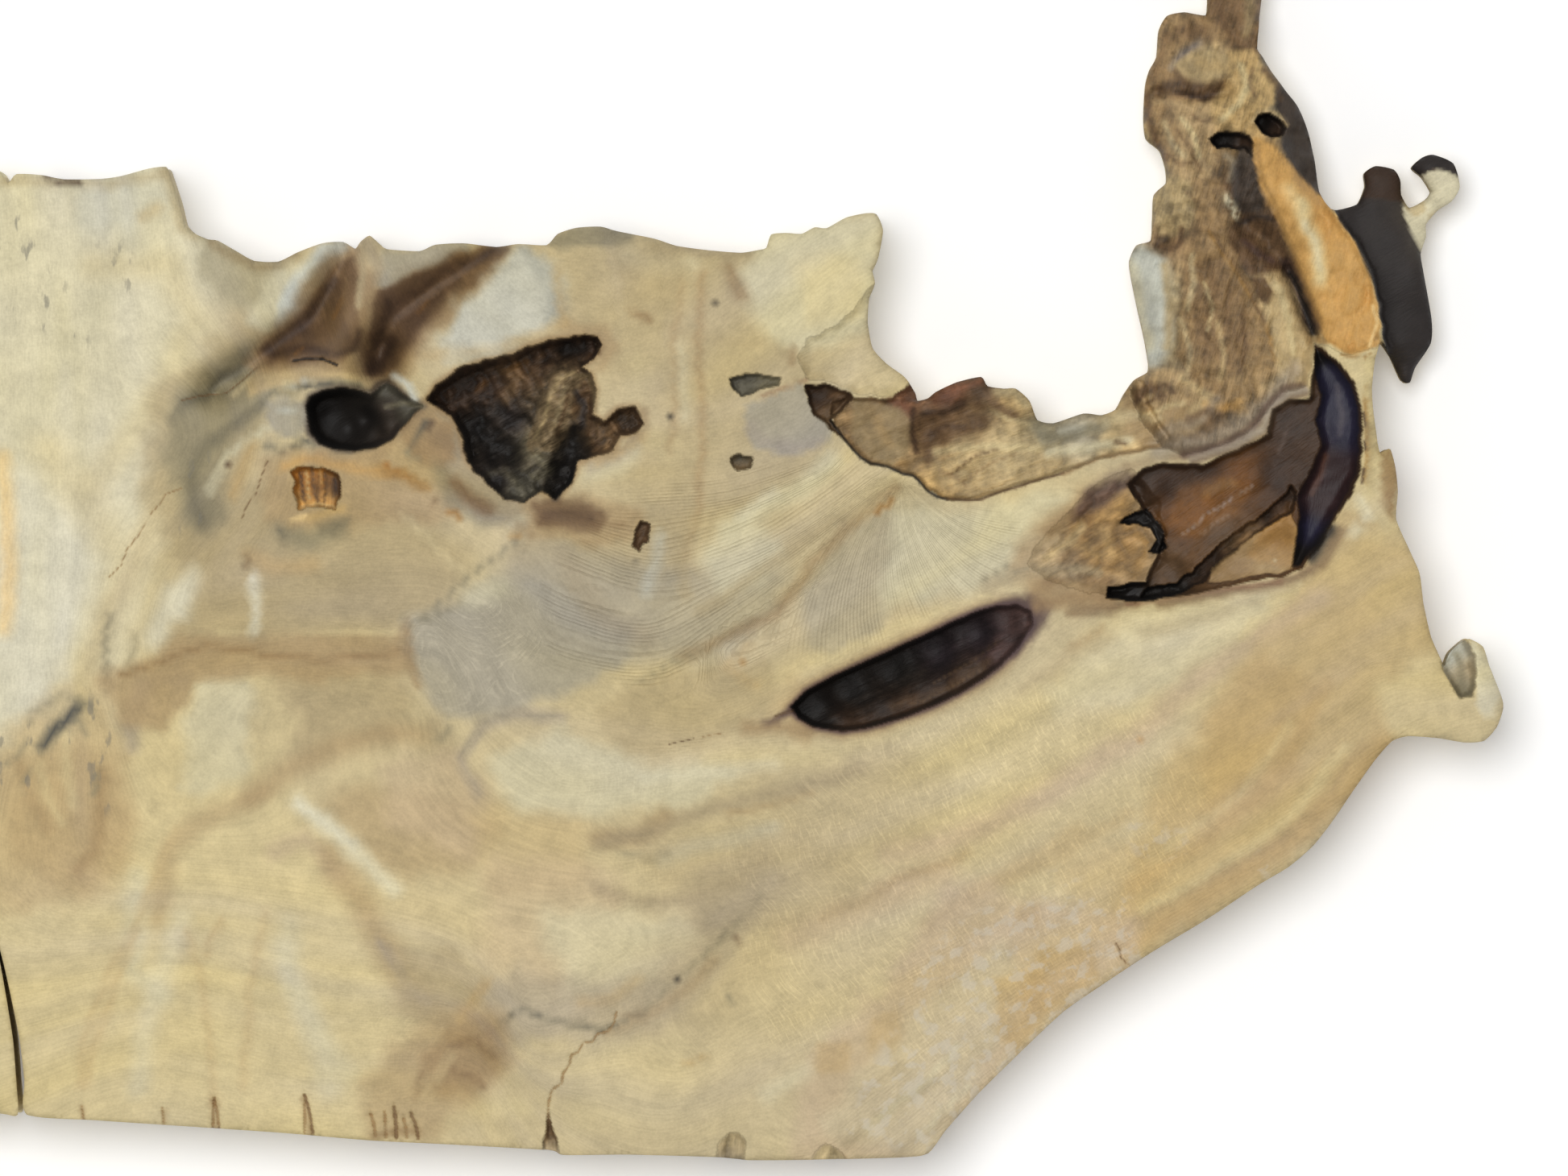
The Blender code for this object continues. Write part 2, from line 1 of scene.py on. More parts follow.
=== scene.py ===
"""Elderberry wood slice, lying on its underside and seen from straight above.

One piece, the whole slab, is built as a fine field of height over a plan outline, painted
point by point with stains, among them painted shade in hollows and painted highlights, and
finished with growth lines, saw marks, pores and gloss in its material. A floor, soft lights
and a camera complete the studio.

Plan positions are pixels of the view (1946 by 1460) on the sawn top, PIXELS_PER_MM of them to
a millimetre, with y downwards. Depths, widths and heights are millimetres. Only the last step
turns them into metres about the frame's origin.
"""

import logging
import math
from dataclasses import dataclass
from enum import Enum

import bpy
import numpy as np
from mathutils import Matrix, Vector
from mathutils.geometry import delaunay_2d_cdt


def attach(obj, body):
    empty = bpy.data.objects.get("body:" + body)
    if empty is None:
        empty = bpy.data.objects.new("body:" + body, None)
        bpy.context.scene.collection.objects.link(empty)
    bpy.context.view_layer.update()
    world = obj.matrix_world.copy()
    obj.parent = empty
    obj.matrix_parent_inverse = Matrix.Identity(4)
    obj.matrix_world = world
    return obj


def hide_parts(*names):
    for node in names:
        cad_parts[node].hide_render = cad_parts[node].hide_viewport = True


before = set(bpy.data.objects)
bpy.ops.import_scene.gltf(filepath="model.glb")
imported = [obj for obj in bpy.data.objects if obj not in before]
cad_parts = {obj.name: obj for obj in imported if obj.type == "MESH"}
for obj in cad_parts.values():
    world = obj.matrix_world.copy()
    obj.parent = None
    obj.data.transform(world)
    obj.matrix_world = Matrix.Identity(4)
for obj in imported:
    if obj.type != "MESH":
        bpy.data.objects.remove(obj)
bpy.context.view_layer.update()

LOG = logging.getLogger("wood_slice")

VIEW_SIZE_PX = (1946.0, 1460.0)
PIXELS_PER_MM = 6.5
THICKNESS_MM = 28.0
LEAST_FLOOR_MM = 5.0
LEAST_EDGE_MM = 2.5
LEAST_RELIEF_MM = 0.02
SPOT_SOFTNESS_MM = 1.4
STRAND_LENGTH_MM = 6.0
STRAND_WIDTH_MM = 0.7
OUTLINE_SPACING_PX = 4.0
SAWN_EDGE_Y_PX = 1388.0
SAWN_EDGE_SLOPE = 0.05
SENSOR_WIDTH_MM = 36.0
METRES_PER_MM = 0.001

Points = np.ndarray
Path = tuple[tuple[float, float], ...]


class Tone(Enum):
    """The wood's colours, with painted shade and painted highlights among them, as display red, green and
    blue from 0 to 255.
    """

    CREAM = (222, 214, 184)
    WHITE = (224, 220, 200)
    IVORY = (210, 202, 170)
    PEACH = (238, 208, 150)
    HONEY = (204, 187, 146)
    STRAW = (214, 197, 150)
    TAN = (196, 172, 126)
    AMBER = (190, 160, 108)
    PINK_TAN = (196, 174, 144)
    TAUPE = (178, 160, 122)
    GREY_TAUPE = (164, 148, 118)
    GREY = (168, 160, 140)
    BLUE_GREY = (176, 176, 164)
    BLUE_WHITE = (198, 200, 190)
    VIOLET_GREY = (160, 148, 132)
    SMOKE = (134, 126, 102)
    OLIVE = (172, 162, 130)
    DUSK = (150, 131, 96)
    SOOT = (62, 52, 44)
    INDIGO = (36, 34, 56)
    PLUM = (50, 31, 31)
    GLOSS_DARK = (58, 38, 22)
    JET = (40, 34, 32)
    SAND = (178, 156, 114)
    CLAY = (172, 146, 106)
    OCHRE = (158, 122, 70)
    GOLD = (198, 173, 122)
    # painted highlight: the bluish lavender laid along the glossy hollow's ridge
    SHEEN = (168, 160, 172)
    CHARCOAL = (84, 80, 68)
    BLUE_BLACK = (58, 60, 60)
    UMBER = (122, 96, 66)
    BROWN = (98, 74, 50)
    RED_BROWN = (120, 78, 54)
    DARK_BROWN = (64, 46, 32)
    PURPLE_BROWN = (78, 58, 54)
    PURPLE_BLACK = (44, 36, 40)
    BLACK = (26, 22, 19)
    ORANGE = (206, 160, 92)
    RUST = (158, 104, 40)
    LIGHT_BROWN = (150, 122, 84)
    GLOSS_BROWN = (106, 66, 22)
    CRUMB = (136, 116, 86)

    @property
    def display(self) -> np.ndarray:
        """The tone as display red, green and blue from 0 to 1."""
        return np.asarray(self.value, dtype=float) / 255.0


class Surface(Enum):
    """What the wood is like: (relief in mm, grain size in mm, stretch, gloss, roughness of colour).

    The size is of the coarsest bumps, and the stretch is how much longer than wide they are. The
    roughness of colour also sets how much painted shade darkens the pits between the bumps.
    """

    PLAIN = (0.2, 3.0, 1.6, 0.0, 0.1)
    WORN = (0.4, 2.6, 1.6, 0.0, 0.3)
    FIBROUS = (0.6, 0.9, 6.0, 0.0, 0.6)
    CRUMBLY = (2.4, 2.4, 1.0, 0.0, 0.8)
    SPLINTERED = (1.3, 2.6, 1.8, 0.0, 0.55)
    GNARLED = (2.2, 4.2, 1.6, 0.0, 0.85)
    GLOSSY = (0.7, 2.2, 2.2, 0.28, 0.3)
    SATIN = (0.2, 3.0, 1.5, 0.3, 0.1)


# The outline, clockwise in the view, as stretches of (top edge wear, underside wear, points)
LEFT_EDGE = (2.5, 3.0, (
    (0, 1383), (-118, 1377), (-128, 1290), (-150, 1180), (-172, 1040), (-160, 900), (-170, 760),
    (-158, 620), (-165, 470), (-150, 340), (-120, 260), (-70, 222), (-20, 205)))
TOP_LEFT_EDGE = (0.8, 2.0, (
    (0, 213), (10, 227), (20, 216), (50, 217), (80, 222.5), (125, 222), (150, 218.5), (185, 209),
    (206, 207), (211, 217), (222, 250), (229, 278), (240, 289), (258, 297)))
HOLLOWED_EDGE = (2.6, 5.0, (
    (270, 298.5), (292, 311), (315, 323.5), (345, 324.5), (370, 312.5), (400, 301.5),
    (425, 299.5), (440, 308), (446, 300), (458, 292), (469, 301), (480, 309), (520, 311.5),
    (540, 303.5), (575, 301.5), (615, 305.5), (642, 302), (678, 304), (692, 290), (715, 282.5),
    (745, 281), (765, 286.5), (812, 296), (840, 305), (880, 310.5), (920, 313.5), (944, 309.5)))
SPIKE_EDGE = (1.0, 4.0, (
    (951, 307.5), (957, 291), (975, 289), (995, 290), (1011, 282), (1026, 283), (1050, 270),
    (1075, 264.5), (1088, 266), (1096, 286), (1090, 320), (1083, 336), (1086, 352), (1079, 370),
    (1077, 400), (1083, 432), (1100, 451), (1123, 468), (1136, 487)))
BAY_EDGE = (1.6, 5.0, (
    (1139, 497), (1152, 494), (1162, 486), (1188, 474), (1218, 467.5), (1226, 479), (1246, 482),
    (1261, 482), (1278, 497), (1288, 521), (1308, 525), (1345, 513), (1368, 515), (1386, 507.5),
    (1396, 489), (1409, 471), (1426, 461)))
ARM_LEFT_EDGE = (3.0, 6.0, (
    (1427, 450), (1422, 420), (1413, 380), (1405, 340), (1403.5, 322), (1412, 303), (1430, 297),
    (1432, 270), (1434, 240), (1449, 225), (1448, 206), (1441, 185), (1424, 170), (1421, 145),
    (1423, 105), (1428, 85), (1437, 68), (1440, 35), (1450, 17), (1472, 12.5), (1498, 16.5)))
TWIG_EDGE = (2.5, 4.0, (
    (1501, 0), (1500, -20), (1506, -50), (1520, -78), (1540, -92), (1558, -84), (1568, -55),
    (1570, -20), (1565, 20)))
ARM_RIGHT_EDGE = (2.5, 6.0, (
    (1562, 58), (1569, 69), (1580, 88), (1596, 109), (1613, 131), (1626, 162), (1634, 200),
    (1639, 237), (1652, 259)))
FLANGE_EDGE = (2.0, 4.0, (
    (1668, 258), (1688, 251), (1697, 230), (1696, 213), (1710, 204), (1733, 208.5), (1741, 222),
    (1742, 240), (1752, 256), (1772, 246), (1779, 236), (1768, 218), (1755, 206), (1768, 193.5),
    (1782, 190), (1807, 201), (1815, 230), (1805, 248), (1787, 260), (1773, 277), (1773, 292),
    (1766, 314), (1770, 340), (1780, 395), (1779, 425), (1760, 455), (1753, 474), (1742, 471),
    (1728, 441), (1715, 424)))
RIGHT_EDGE = (1.0, 4.0, (
    (1707, 445), (1703, 480), (1704, 505), (1710, 550), (1713, 562), (1721, 558), (1726, 558),
    (1732, 580), (1735, 610), (1733, 645), (1750, 684), (1762, 712), (1767, 750), (1776, 790),
    (1790, 822)))
HOOK_EDGE = (2.0, 5.0, (
    (1793, 828), (1800, 811), (1815, 797), (1824, 793), (1841, 803), (1849, 827), (1864, 865),
    (1866, 880), (1858, 903), (1842, 920), (1818, 922), (1785, 916.5)))
LOWER_RIGHT_EDGE = (0.7, 2.0, (
    (1748, 914), (1728, 920), (1708, 942), (1680, 981), (1655, 1018), (1630, 1050), (1600, 1076),
    (1560, 1100), (1500, 1140), (1430, 1182), (1375, 1218), (1320, 1256), (1270, 1303),
    (1215, 1357), (1175, 1402), (1152, 1432), (1120, 1437)))
SAWN_EDGE = (0.3, 0.3, (
    (1000, 1440), (930, 1440.5), (885, 1436.5), (780, 1433.5), (700, 1434), (680, 1428),
    (560, 1421), (460, 1416), (350, 1406.5), (240, 1399), (120, 1391), (33, 1384)))
CORNER_SPLIT = (0.3, 0.3, (
    (30, 1340), (24, 1290), (13, 1235), (4, 1195), (-8, 1150), (0, 1195), (8, 1240), (16, 1290),
    (20, 1340), (22, 1384)))
OUTLINE_STRETCHES = (
    LEFT_EDGE, TOP_LEFT_EDGE, HOLLOWED_EDGE, SPIKE_EDGE, BAY_EDGE, ARM_LEFT_EDGE, TWIG_EDGE,
    ARM_RIGHT_EDGE, FLANGE_EDGE, RIGHT_EDGE, HOOK_EDGE, LOWER_RIGHT_EDGE, SAWN_EDGE, CORNER_SPLIT)


def piece_distance(points: Points, start: np.ndarray, end: np.ndarray) -> np.ndarray:
    """Distance from every point to one straight piece: to its nearest place between the ends."""
    along = end - start
    share = np.clip(((points - start) @ along) / max(float(along @ along), 1e-12), 0.0, 1.0)
    return np.hypot(*(points - start - share[:, None] * along).T)


def path_distance(points: Points, path: Path, closed: bool = False) -> np.ndarray:
    """Shortest distance from every point to a path.

    Args:
        points: plan points in pixels, one a row.
        path: the path's corners in pixels.
        closed: whether the last corner joins the first.

    Returns:
        The least of the distances to the path's pieces, in pixels.
    """
    corners = np.asarray(path, dtype=float)
    if len(corners) == 1:
        return np.hypot(*(points - corners[0]).T)
    ends = np.roll(corners, -1, axis=0) if closed else corners[1:]
    nearest = np.full(len(points), np.inf)
    for start, end in zip(corners, ends):
        nearest = np.minimum(nearest, piece_distance(points, start, end))
    return nearest


def inside(points: Points, loop: Path) -> np.ndarray:
    """True for every point inside a closed loop, by counting the sides to its right."""
    corners = np.asarray(loop, dtype=float)
    odd = np.zeros(len(points), dtype=bool)
    for (x0, y0), (x1, y1) in zip(corners, np.roll(corners, -1, axis=0)):
        spans = (y0 > points[:, 1]) != (y1 > points[:, 1])
        rise = y1 - y0 if y1 != y0 else 1e-12
        odd ^= spans & (points[:, 0] < (x1 - x0) * (points[:, 1] - y0) / rise + x0)
    return odd


def near(points: Points, path: Path, reach: float) -> np.ndarray:
    """True for points within a reach in pixels of a path's bounding box."""
    corners = np.asarray(path, dtype=float)
    low, high = corners.min(axis=0) - reach, corners.max(axis=0) + reach
    return ((points >= low) & (points <= high)).all(axis=1)


def rounded(path: Path, steps: int) -> Points:
    """An open path rounded through its own points, with a number of steps to each piece.

    Between p1 and p2, with p0 before and p3 after, a step at share t lies at
    (2 p1 + (p2 - p0) t + (2 p0 - 5 p1 + 4 p2 - p3) t^2 + (3 p1 - p0 - 3 p2 + p3) t^3) / 2.
    """
    own = np.asarray(path, dtype=float)
    ends = np.vstack([2 * own[0] - own[1], own, 2 * own[-1] - own[-2]])
    t = (np.arange(steps) / steps)[:, None]
    pieces = [0.5 * (2 * p1 + (p2 - p0) * t + (2 * p0 - 5 * p1 + 4 * p2 - p3) * t ** 2
                     + (3 * p1 - p0 - 3 * p2 + p3) * t ** 3)
              for p0, p1, p2, p3 in zip(ends, ends[1:], ends[2:], ends[3:])]
    return np.vstack([*pieces, own[-1:]])


def smoothstep(share: np.ndarray) -> np.ndarray:
    """The curve 3 t squared minus 2 t cubed, with t held between 0 and 1."""
    held = np.clip(share, 0.0, 1.0)
    return held * held * (3.0 - 2.0 * held)


def lattice_noise(x: np.ndarray, y: np.ndarray, seed: int) -> np.ndarray:
    """Smooth noise from -1 to 1: hashed values at whole x and y, eased between them."""
    column, row = np.floor(x), np.floor(y)
    ease_x, ease_y = smoothstep(x - column), smoothstep(y - row)

    def corner(step_x: int, step_y: int) -> np.ndarray:
        """The hashed value at one corner of each point's cell."""
        mixed = ((column + step_x).astype(np.int64) * 374761393
                 + (row + step_y).astype(np.int64) * 668265263 + seed * 974711)
        mixed = (mixed ^ (mixed >> 13)) * 1274126177
        mixed = mixed ^ (mixed >> 16)
        return (mixed & 0xFFFF) / 32767.5 - 1.0

    upper = corner(0, 0) * (1 - ease_x) + corner(1, 0) * ease_x
    lower = corner(0, 1) * (1 - ease_x) + corner(1, 1) * ease_x
    return upper * (1 - ease_y) + lower * ease_y


def layered_noise(x: np.ndarray, y: np.ndarray, seed: int, layers: int = 4) -> np.ndarray:
    """Noise in layers, each half as large and half as strong as the one before."""
    total = np.zeros(np.shape(x))
    strength, weight = 1.0, 0.0
    for layer in range(layers):
        scale = 2.0 ** layer
        total += strength * lattice_noise(x * scale + 17.3 * layer, y * scale - 9.1 * layer,
                                          seed + layer)
        weight += strength
        strength *= 0.5
    return total / weight


@dataclass(frozen=True)
class Hollow:
    """A place below the sawn top.

    Attributes:
        rim: its closed outline, in pixels.
        wall: the plan width of its wall, in millimetres.
        spots: (x pixel, y pixel, depth in millimetres) on its floor.
        surface: what its wood is like.
        tones: (x pixel, y pixel, tone) on its floor; none leaves the colour alone.
        heading: the direction of its fibres in the view, in degrees, anticlockwise from +x.
        ragged: how far noise pushes its rim, in pixels.
    """

    rim: Path
    wall: float
    spots: tuple[tuple[float, float, float], ...]
    surface: Surface = Surface.WORN
    tones: tuple[tuple[float, float, Tone], ...] = ()
    heading: float = 30.0
    ragged: float = 3.0

    def course(self, points: Points) -> tuple[np.ndarray, np.ndarray]:
        """How far along and how far across its fibres the points are, in millimetres."""
        turn = math.radians(self.heading)
        x, y = (points / PIXELS_PER_MM * (1.0, -1.0)).T
        return x * math.cos(turn) + y * math.sin(turn), y * math.cos(turn) - x * math.sin(turn)

    def share(self, points: Points) -> np.ndarray:
        """How far each point is down the wall: 0 at the rim, rising to 1 at its foot."""
        down = np.zeros(len(points))
        within = near(points, self.rim, 0.0)
        within[within] = inside(points[within], self.rim)
        if within.any():
            reach = path_distance(points[within], self.rim, True) / PIXELS_PER_MM
            held = np.clip(reach / self.wall, 0.0, 1.0)
            down[within] = 1.0 - (1.0 - held) ** 2
        return down

    def blend(self, points: Points, places: np.ndarray, values: np.ndarray) -> np.ndarray:
        """Values blended over the floor, each weighed by the inverse cube of its distance."""
        gaps = np.hypot(points[:, None, 0] - places[:, 0], points[:, None, 1] - places[:, 1])
        weights = ((gaps / PIXELS_PER_MM) ** 2 + SPOT_SOFTNESS_MM ** 2) ** -1.5
        return (weights @ values) / weights.sum(axis=1, keepdims=True)

    def depth(self, points: Points, down: np.ndarray) -> np.ndarray:
        """Depth below the sawn top: the blended floor, times how far down the wall it is."""
        depth = np.zeros(len(points))
        deep = down > 0.0
        if deep.any():
            table = np.asarray(self.spots, dtype=float)
            floor = self.blend(points[deep], table[:, :2], table[:, 2:])[:, 0]
            depth[deep] = floor * down[deep]
        return depth

    def colour(self, points: Points) -> np.ndarray:
        """The blended tones of the floor, one row a point."""
        places = np.array([[x, y] for x, y, _ in self.tones], dtype=float)
        values = np.array([tone.display for _, _, tone in self.tones])
        return self.blend(points, places, values)


@dataclass(frozen=True)
class Groove:
    """A soft trough along a path in pixels, with a half width and a depth in millimetres."""

    path: Path
    half_width: float
    depth: float

    def below(self, points: Points) -> np.ndarray:
        """Its depth: a bell curve of the distance from its path."""
        below = np.zeros(len(points))
        chosen = near(points, self.path, 3.0 * self.half_width * PIXELS_PER_MM)
        reach = path_distance(points[chosen], self.path) / PIXELS_PER_MM / self.half_width
        below[chosen] = self.depth * np.exp(-reach ** 2)
        return below


@dataclass(frozen=True)
class Crack:
    """A narrow split along a path in pixels, with its width and depth in millimetres."""

    path: Path
    width: float
    depth: float
    tone: Tone = Tone.DARK_BROWN

    def strength(self, points: Points) -> np.ndarray:
        """1 along the split's middle, falling to 0 at its edge, thin at both ends."""
        strength = np.zeros(len(points))
        chosen = near(points, self.path, 2.0 * self.width * PIXELS_PER_MM)
        if chosen.any():
            picked = points[chosen]
            wander = 0.25 * self.width * lattice_noise(picked[:, 0] / 5.0, picked[:, 1] / 5.0, 3)
            reach = path_distance(picked, self.path) / PIXELS_PER_MM + wander
            strength[chosen] = np.clip(1.5 - reach / (0.5 * self.width), 0.0, 1.0)
        return strength


# Painted shade: the black tones where the round hole is deepest stand for the shade down in it.
ROUND_HOLE = Hollow(
    rim=((380, 520), (379, 505), (385, 493), (400, 485), (422, 481), (444, 484), (460, 489), (470, 478),
        (482, 474), (496, 486), (510, 496), (527, 504), (514, 514), (502, 528), (488, 545), (468, 556),
        (440, 561), (414, 558), (396, 550), (385, 538)),
    wall=1.7,
    spots=((405, 515, 18), (430, 530, 19), (452, 522, 17), (464, 536, 13), (395, 505, 16), (478, 508, 5),
        (482, 530, 6), (500, 505, 2.6), (476, 486, 3)),
    surface=Surface.PLAIN,
    tones=((405, 510, Tone.BLACK), (430, 535, Tone.BLACK), (455, 520, Tone.BLACK), (478, 508, Tone.SOOT),
        (482, 535, Tone.SOOT), (503, 506, Tone.CHARCOAL), (478, 484, Tone.CHARCOAL)),
    ragged=1.5)
# Painted shade: the black and jet tones sit at the cavern's deepest spots and stand for the shade down
# there over its dark brown wood.
CAVERN = Hollow(
    rim=((528, 499), (540, 478), (565, 460), (600, 448), (630, 442), (655, 430), (682, 420), (715, 417),
        (742, 418), (749, 430), (736, 446), (722, 456), (735, 465), (740, 485), (735, 515), (748, 522),
        (768, 508), (790, 503), (800, 525), (790, 538), (768, 542), (760, 560), (738, 568), (718, 575),
        (708, 600), (690, 622), (672, 610), (652, 624), (625, 620), (600, 598), (580, 575), (571, 537),
        (558, 515)),
    wall=1.3,
    spots=((560, 497, 15), (590, 530, 19), (620, 560, 19), (610, 480, 16), (645, 460, 12), (650, 530, 17),
        (700, 432, 14), (735, 428, 12), (668, 520, 12), (700, 470, 5), (690, 500, 6), (680, 540, 7),
        (672, 575, 9), (722, 495, 10), (708, 548, 16), (700, 585, 17), (770, 530, 4.5), (745, 545, 6),
        (610, 592, 10), (640, 610, 8)),
    surface=Surface.CRUMBLY,
    tones=((560, 497, Tone.DARK_BROWN), (590, 530, Tone.BLACK), (620, 560, Tone.BLACK),
        (600, 480, Tone.DARK_BROWN), (645, 462, Tone.BROWN), (635, 520, Tone.JET),
        (670, 445, Tone.DARK_BROWN), (700, 430, Tone.DARK_BROWN), (735, 428, Tone.DARK_BROWN),
        (700, 470, Tone.CRUMB), (688, 500, Tone.CRUMB), (680, 535, Tone.CRUMB), (664, 552, Tone.SMOKE),
        (722, 495, Tone.BROWN), (708, 560, Tone.BLACK), (700, 595, Tone.BLACK), (775, 522, Tone.BROWN),
        (748, 548, Tone.UMBER), (610, 595, Tone.JET), (645, 605, Tone.CHARCOAL)))
RUSTY_PIT = Hollow(
    rim=((362, 585), (375, 577), (400, 580), (422, 590), (425, 615), (418, 632), (395, 630), (370, 635),
        (364, 612)),
    wall=0.9, spots=((392, 605, 3.5), (417, 610, 4)), surface=Surface.FIBROUS,
    tones=((370, 595, Tone.RUST), (395, 600, Tone.RUST), (405, 620, Tone.ORANGE),
        (417, 608, Tone.DARK_BROWN), (372, 628, Tone.ORANGE)),
    heading=88.0)
BROWN_PIT = Hollow(
    rim=((795, 645), (806, 650), (803, 670), (792, 685), (785, 678), (788, 658)),
    wall=0.8, spots=((795, 665, 2.2),), surface=Surface.SPLINTERED,
    tones=((795, 665, Tone.BROWN),))
GREY_SLIT = Hollow(
    rim=((905, 470), (925, 462), (950, 466), (970, 468), (966, 480), (940, 484), (920, 492), (908, 482)),
    wall=0.8, spots=((925, 476, 2.4), (955, 473, 1.8)), surface=Surface.SPLINTERED,
    tones=((925, 476, Tone.CHARCOAL), (955, 473, Tone.SMOKE)))
SMALL_PIT = Hollow(
    rim=((906, 568), (920, 562), (934, 568), (932, 582), (915, 585), (907, 579)),
    wall=0.7, spots=((920, 573, 2.0),), surface=Surface.SPLINTERED,
    tones=((920, 570, Tone.CHARCOAL), (920, 580, Tone.LIGHT_BROWN)))
TRIANGULAR_POCKET = Hollow(
    rim=((999, 478), (1025, 476), (1055, 488), (1060, 493), (1045, 508), (1031, 522), (1042, 535),
        (1048, 544), (1030, 532), (1010, 514), (1002, 498)),
    wall=0.9, spots=((1022, 493, 7), (1045, 492, 5), (1030, 512, 5)),
    surface=Surface.FIBROUS,
    tones=((1018, 495, Tone.DARK_BROWN), (1045, 492, Tone.BROWN), (1030, 515, Tone.UMBER)))
SHELF_SEAM = Hollow(
    rim=((1085, 352), (1060, 385), (1030, 408), (1000, 420), (990, 445), (1000, 470), (1030, 474),
        (1060, 488), (1105, 492), (1145, 500), (1145, 440), (1095, 420), (1100, 360)),
    wall=2.0, spots=((1050, 440, 1.2), (1110, 480, 1.8), (1075, 400, 1.4)),
    surface=Surface.PLAIN)
LEDGE = Hollow(
    rim=((1031, 497), (1029, 513), (1034, 530), (1048, 546), (1060, 560), (1080, 575), (1100, 578),
        (1120, 588), (1140, 595), (1152, 610), (1175, 620), (1218, 620), (1245, 608), (1300, 593),
        (1340, 578), (1380, 566), (1420, 560), (1458, 556), (1446, 528), (1432, 508), (1424, 480),
        (1400, 440), (1380, 400), (1150, 400), (1135, 470), (1105, 494), (1060, 492)),
    wall=0.9,
    spots=((1045, 510, 1.6), (1080, 545, 2.4), (1105, 560, 3.2), (1120, 520, 3), (1150, 600, 5.5),
        (1200, 608, 5.5), (1150, 540, 8.5), (1200, 520, 6.5), (1180, 488, 2.6), (1222, 478, 3),
        (1255, 495, 3.6), (1200, 560, 4.5), (1250, 560, 4.5), (1290, 530, 5), (1300, 575, 5),
        (1345, 545, 5.5), (1370, 530, 4), (1400, 545, 1.6), (1390, 505, 3), (1425, 485, 0.7),
        (1440, 530, 0.6)),
    surface=Surface.SPLINTERED,
    tones=((1045, 515, Tone.LIGHT_BROWN), (1075, 540, Tone.LIGHT_BROWN), (1110, 510, Tone.CLAY),
        (1110, 560, Tone.CLAY), (1120, 500, Tone.RED_BROWN), (1150, 540, Tone.UMBER),
        (1160, 600, Tone.AMBER), (1200, 520, Tone.LIGHT_BROWN), (1180, 488, Tone.RED_BROWN),
        (1222, 480, Tone.BROWN), (1255, 500, Tone.AMBER), (1200, 580, Tone.TAN), (1250, 560, Tone.HONEY),
        (1290, 540, Tone.SMOKE), (1300, 580, Tone.TAN), (1345, 540, Tone.GREY), (1385, 545, Tone.TAN),
        (1420, 490, Tone.LIGHT_BROWN), (1395, 520, Tone.TAN), (1450, 520, Tone.LIGHT_BROWN)),
    heading=20.0)
# Painted shade: the black and purple-black tones along the slot's deep upper side are the shadow under
# its upper edge; the dark brown tones along its lower side are its wood.
SLOT = Hollow(
    rim=((981, 878), (1000, 858), (1033, 840), (1064, 826), (1095, 812), (1126, 798), (1157, 784),
        (1186, 770), (1213, 759), (1238, 752), (1262, 751), (1280, 759), (1282, 775), (1264, 803),
        (1243, 825), (1219, 843), (1190, 861), (1157, 877), (1126, 889), (1095, 899), (1070, 905),
        (1045, 908), (1008, 902), (990, 891)),
    wall=1.1,
    spots=((1010, 878, 11), (1045, 862, 15), (1100, 836, 16), (1160, 808, 16), (1210, 788, 13),
        (1250, 770, 7), (1040, 898, 8), (1100, 884, 9), (1150, 864, 9), (1200, 838, 7), (1240, 812, 5),
        (1270, 772, 3)),
    surface=Surface.FIBROUS,
    tones=((1010, 880, Tone.BLACK), (1060, 862, Tone.BLACK), (1120, 838, Tone.BLACK),
        (1170, 812, Tone.PURPLE_BLACK), (1220, 790, Tone.PURPLE_BLACK), (1060, 892, Tone.DARK_BROWN),
        (1130, 870, Tone.DARK_BROWN), (1200, 840, Tone.DARK_BROWN), (1240, 805, Tone.PURPLE_BROWN),
        (1266, 768, Tone.PURPLE_BROWN)),
    heading=25.0, ragged=0.6)
GLOSSY_HOLLOW = Hollow(
    rim=((1398, 600), (1420, 582), (1444, 574), (1492, 577), (1530, 560), (1573, 540), (1580, 508),
        (1600, 496), (1624, 494), (1630, 455), (1632, 425), (1660, 447), (1681, 474), (1691, 505),
        (1690, 585), (1678, 612), (1660, 640), (1638, 678), (1616, 706), (1590, 716), (1530, 727),
        (1470, 740), (1400, 748), (1372, 742), (1374, 727), (1422, 722), (1436, 690), (1444, 662),
        (1418, 632)),
    wall=1.1,
    spots=((1425, 605, 6), (1450, 630, 8), (1500, 600, 7.5), (1550, 590, 7), (1480, 650, 7),
        (1470, 678, 6), (1520, 652, 5.5), (1570, 622, 5), (1612, 590, 5.5), (1450, 712, 8),
        (1500, 690, 5), (1560, 652, 4), (1540, 700, 1.2), (1585, 682, 1.4), (1592, 705, 0.8),
        (1520, 717, 0.9), (1570, 710, 0.7), (1640, 480, 4.5), (1655, 600, 5), (1635, 655, 5),
        (1680, 530, 3.5), (1400, 736, 8), (1605, 520, 4)),
    surface=Surface.GLOSSY,
    tones=((1420, 600, Tone.DARK_BROWN), (1450, 600, Tone.GLOSS_DARK), (1490, 588, Tone.GLOSS_DARK),
        (1500, 625, Tone.GLOSS_BROWN), (1545, 592, Tone.GLOSS_BROWN), (1470, 645, Tone.GLOSS_BROWN),
        (1600, 540, Tone.DARK_BROWN), (1585, 590, Tone.GLOSS_DARK), (1440, 700, Tone.BROWN),
        (1520, 665, Tone.BROWN), (1400, 736, Tone.BLACK)),
    heading=35.0, ragged=2.0)
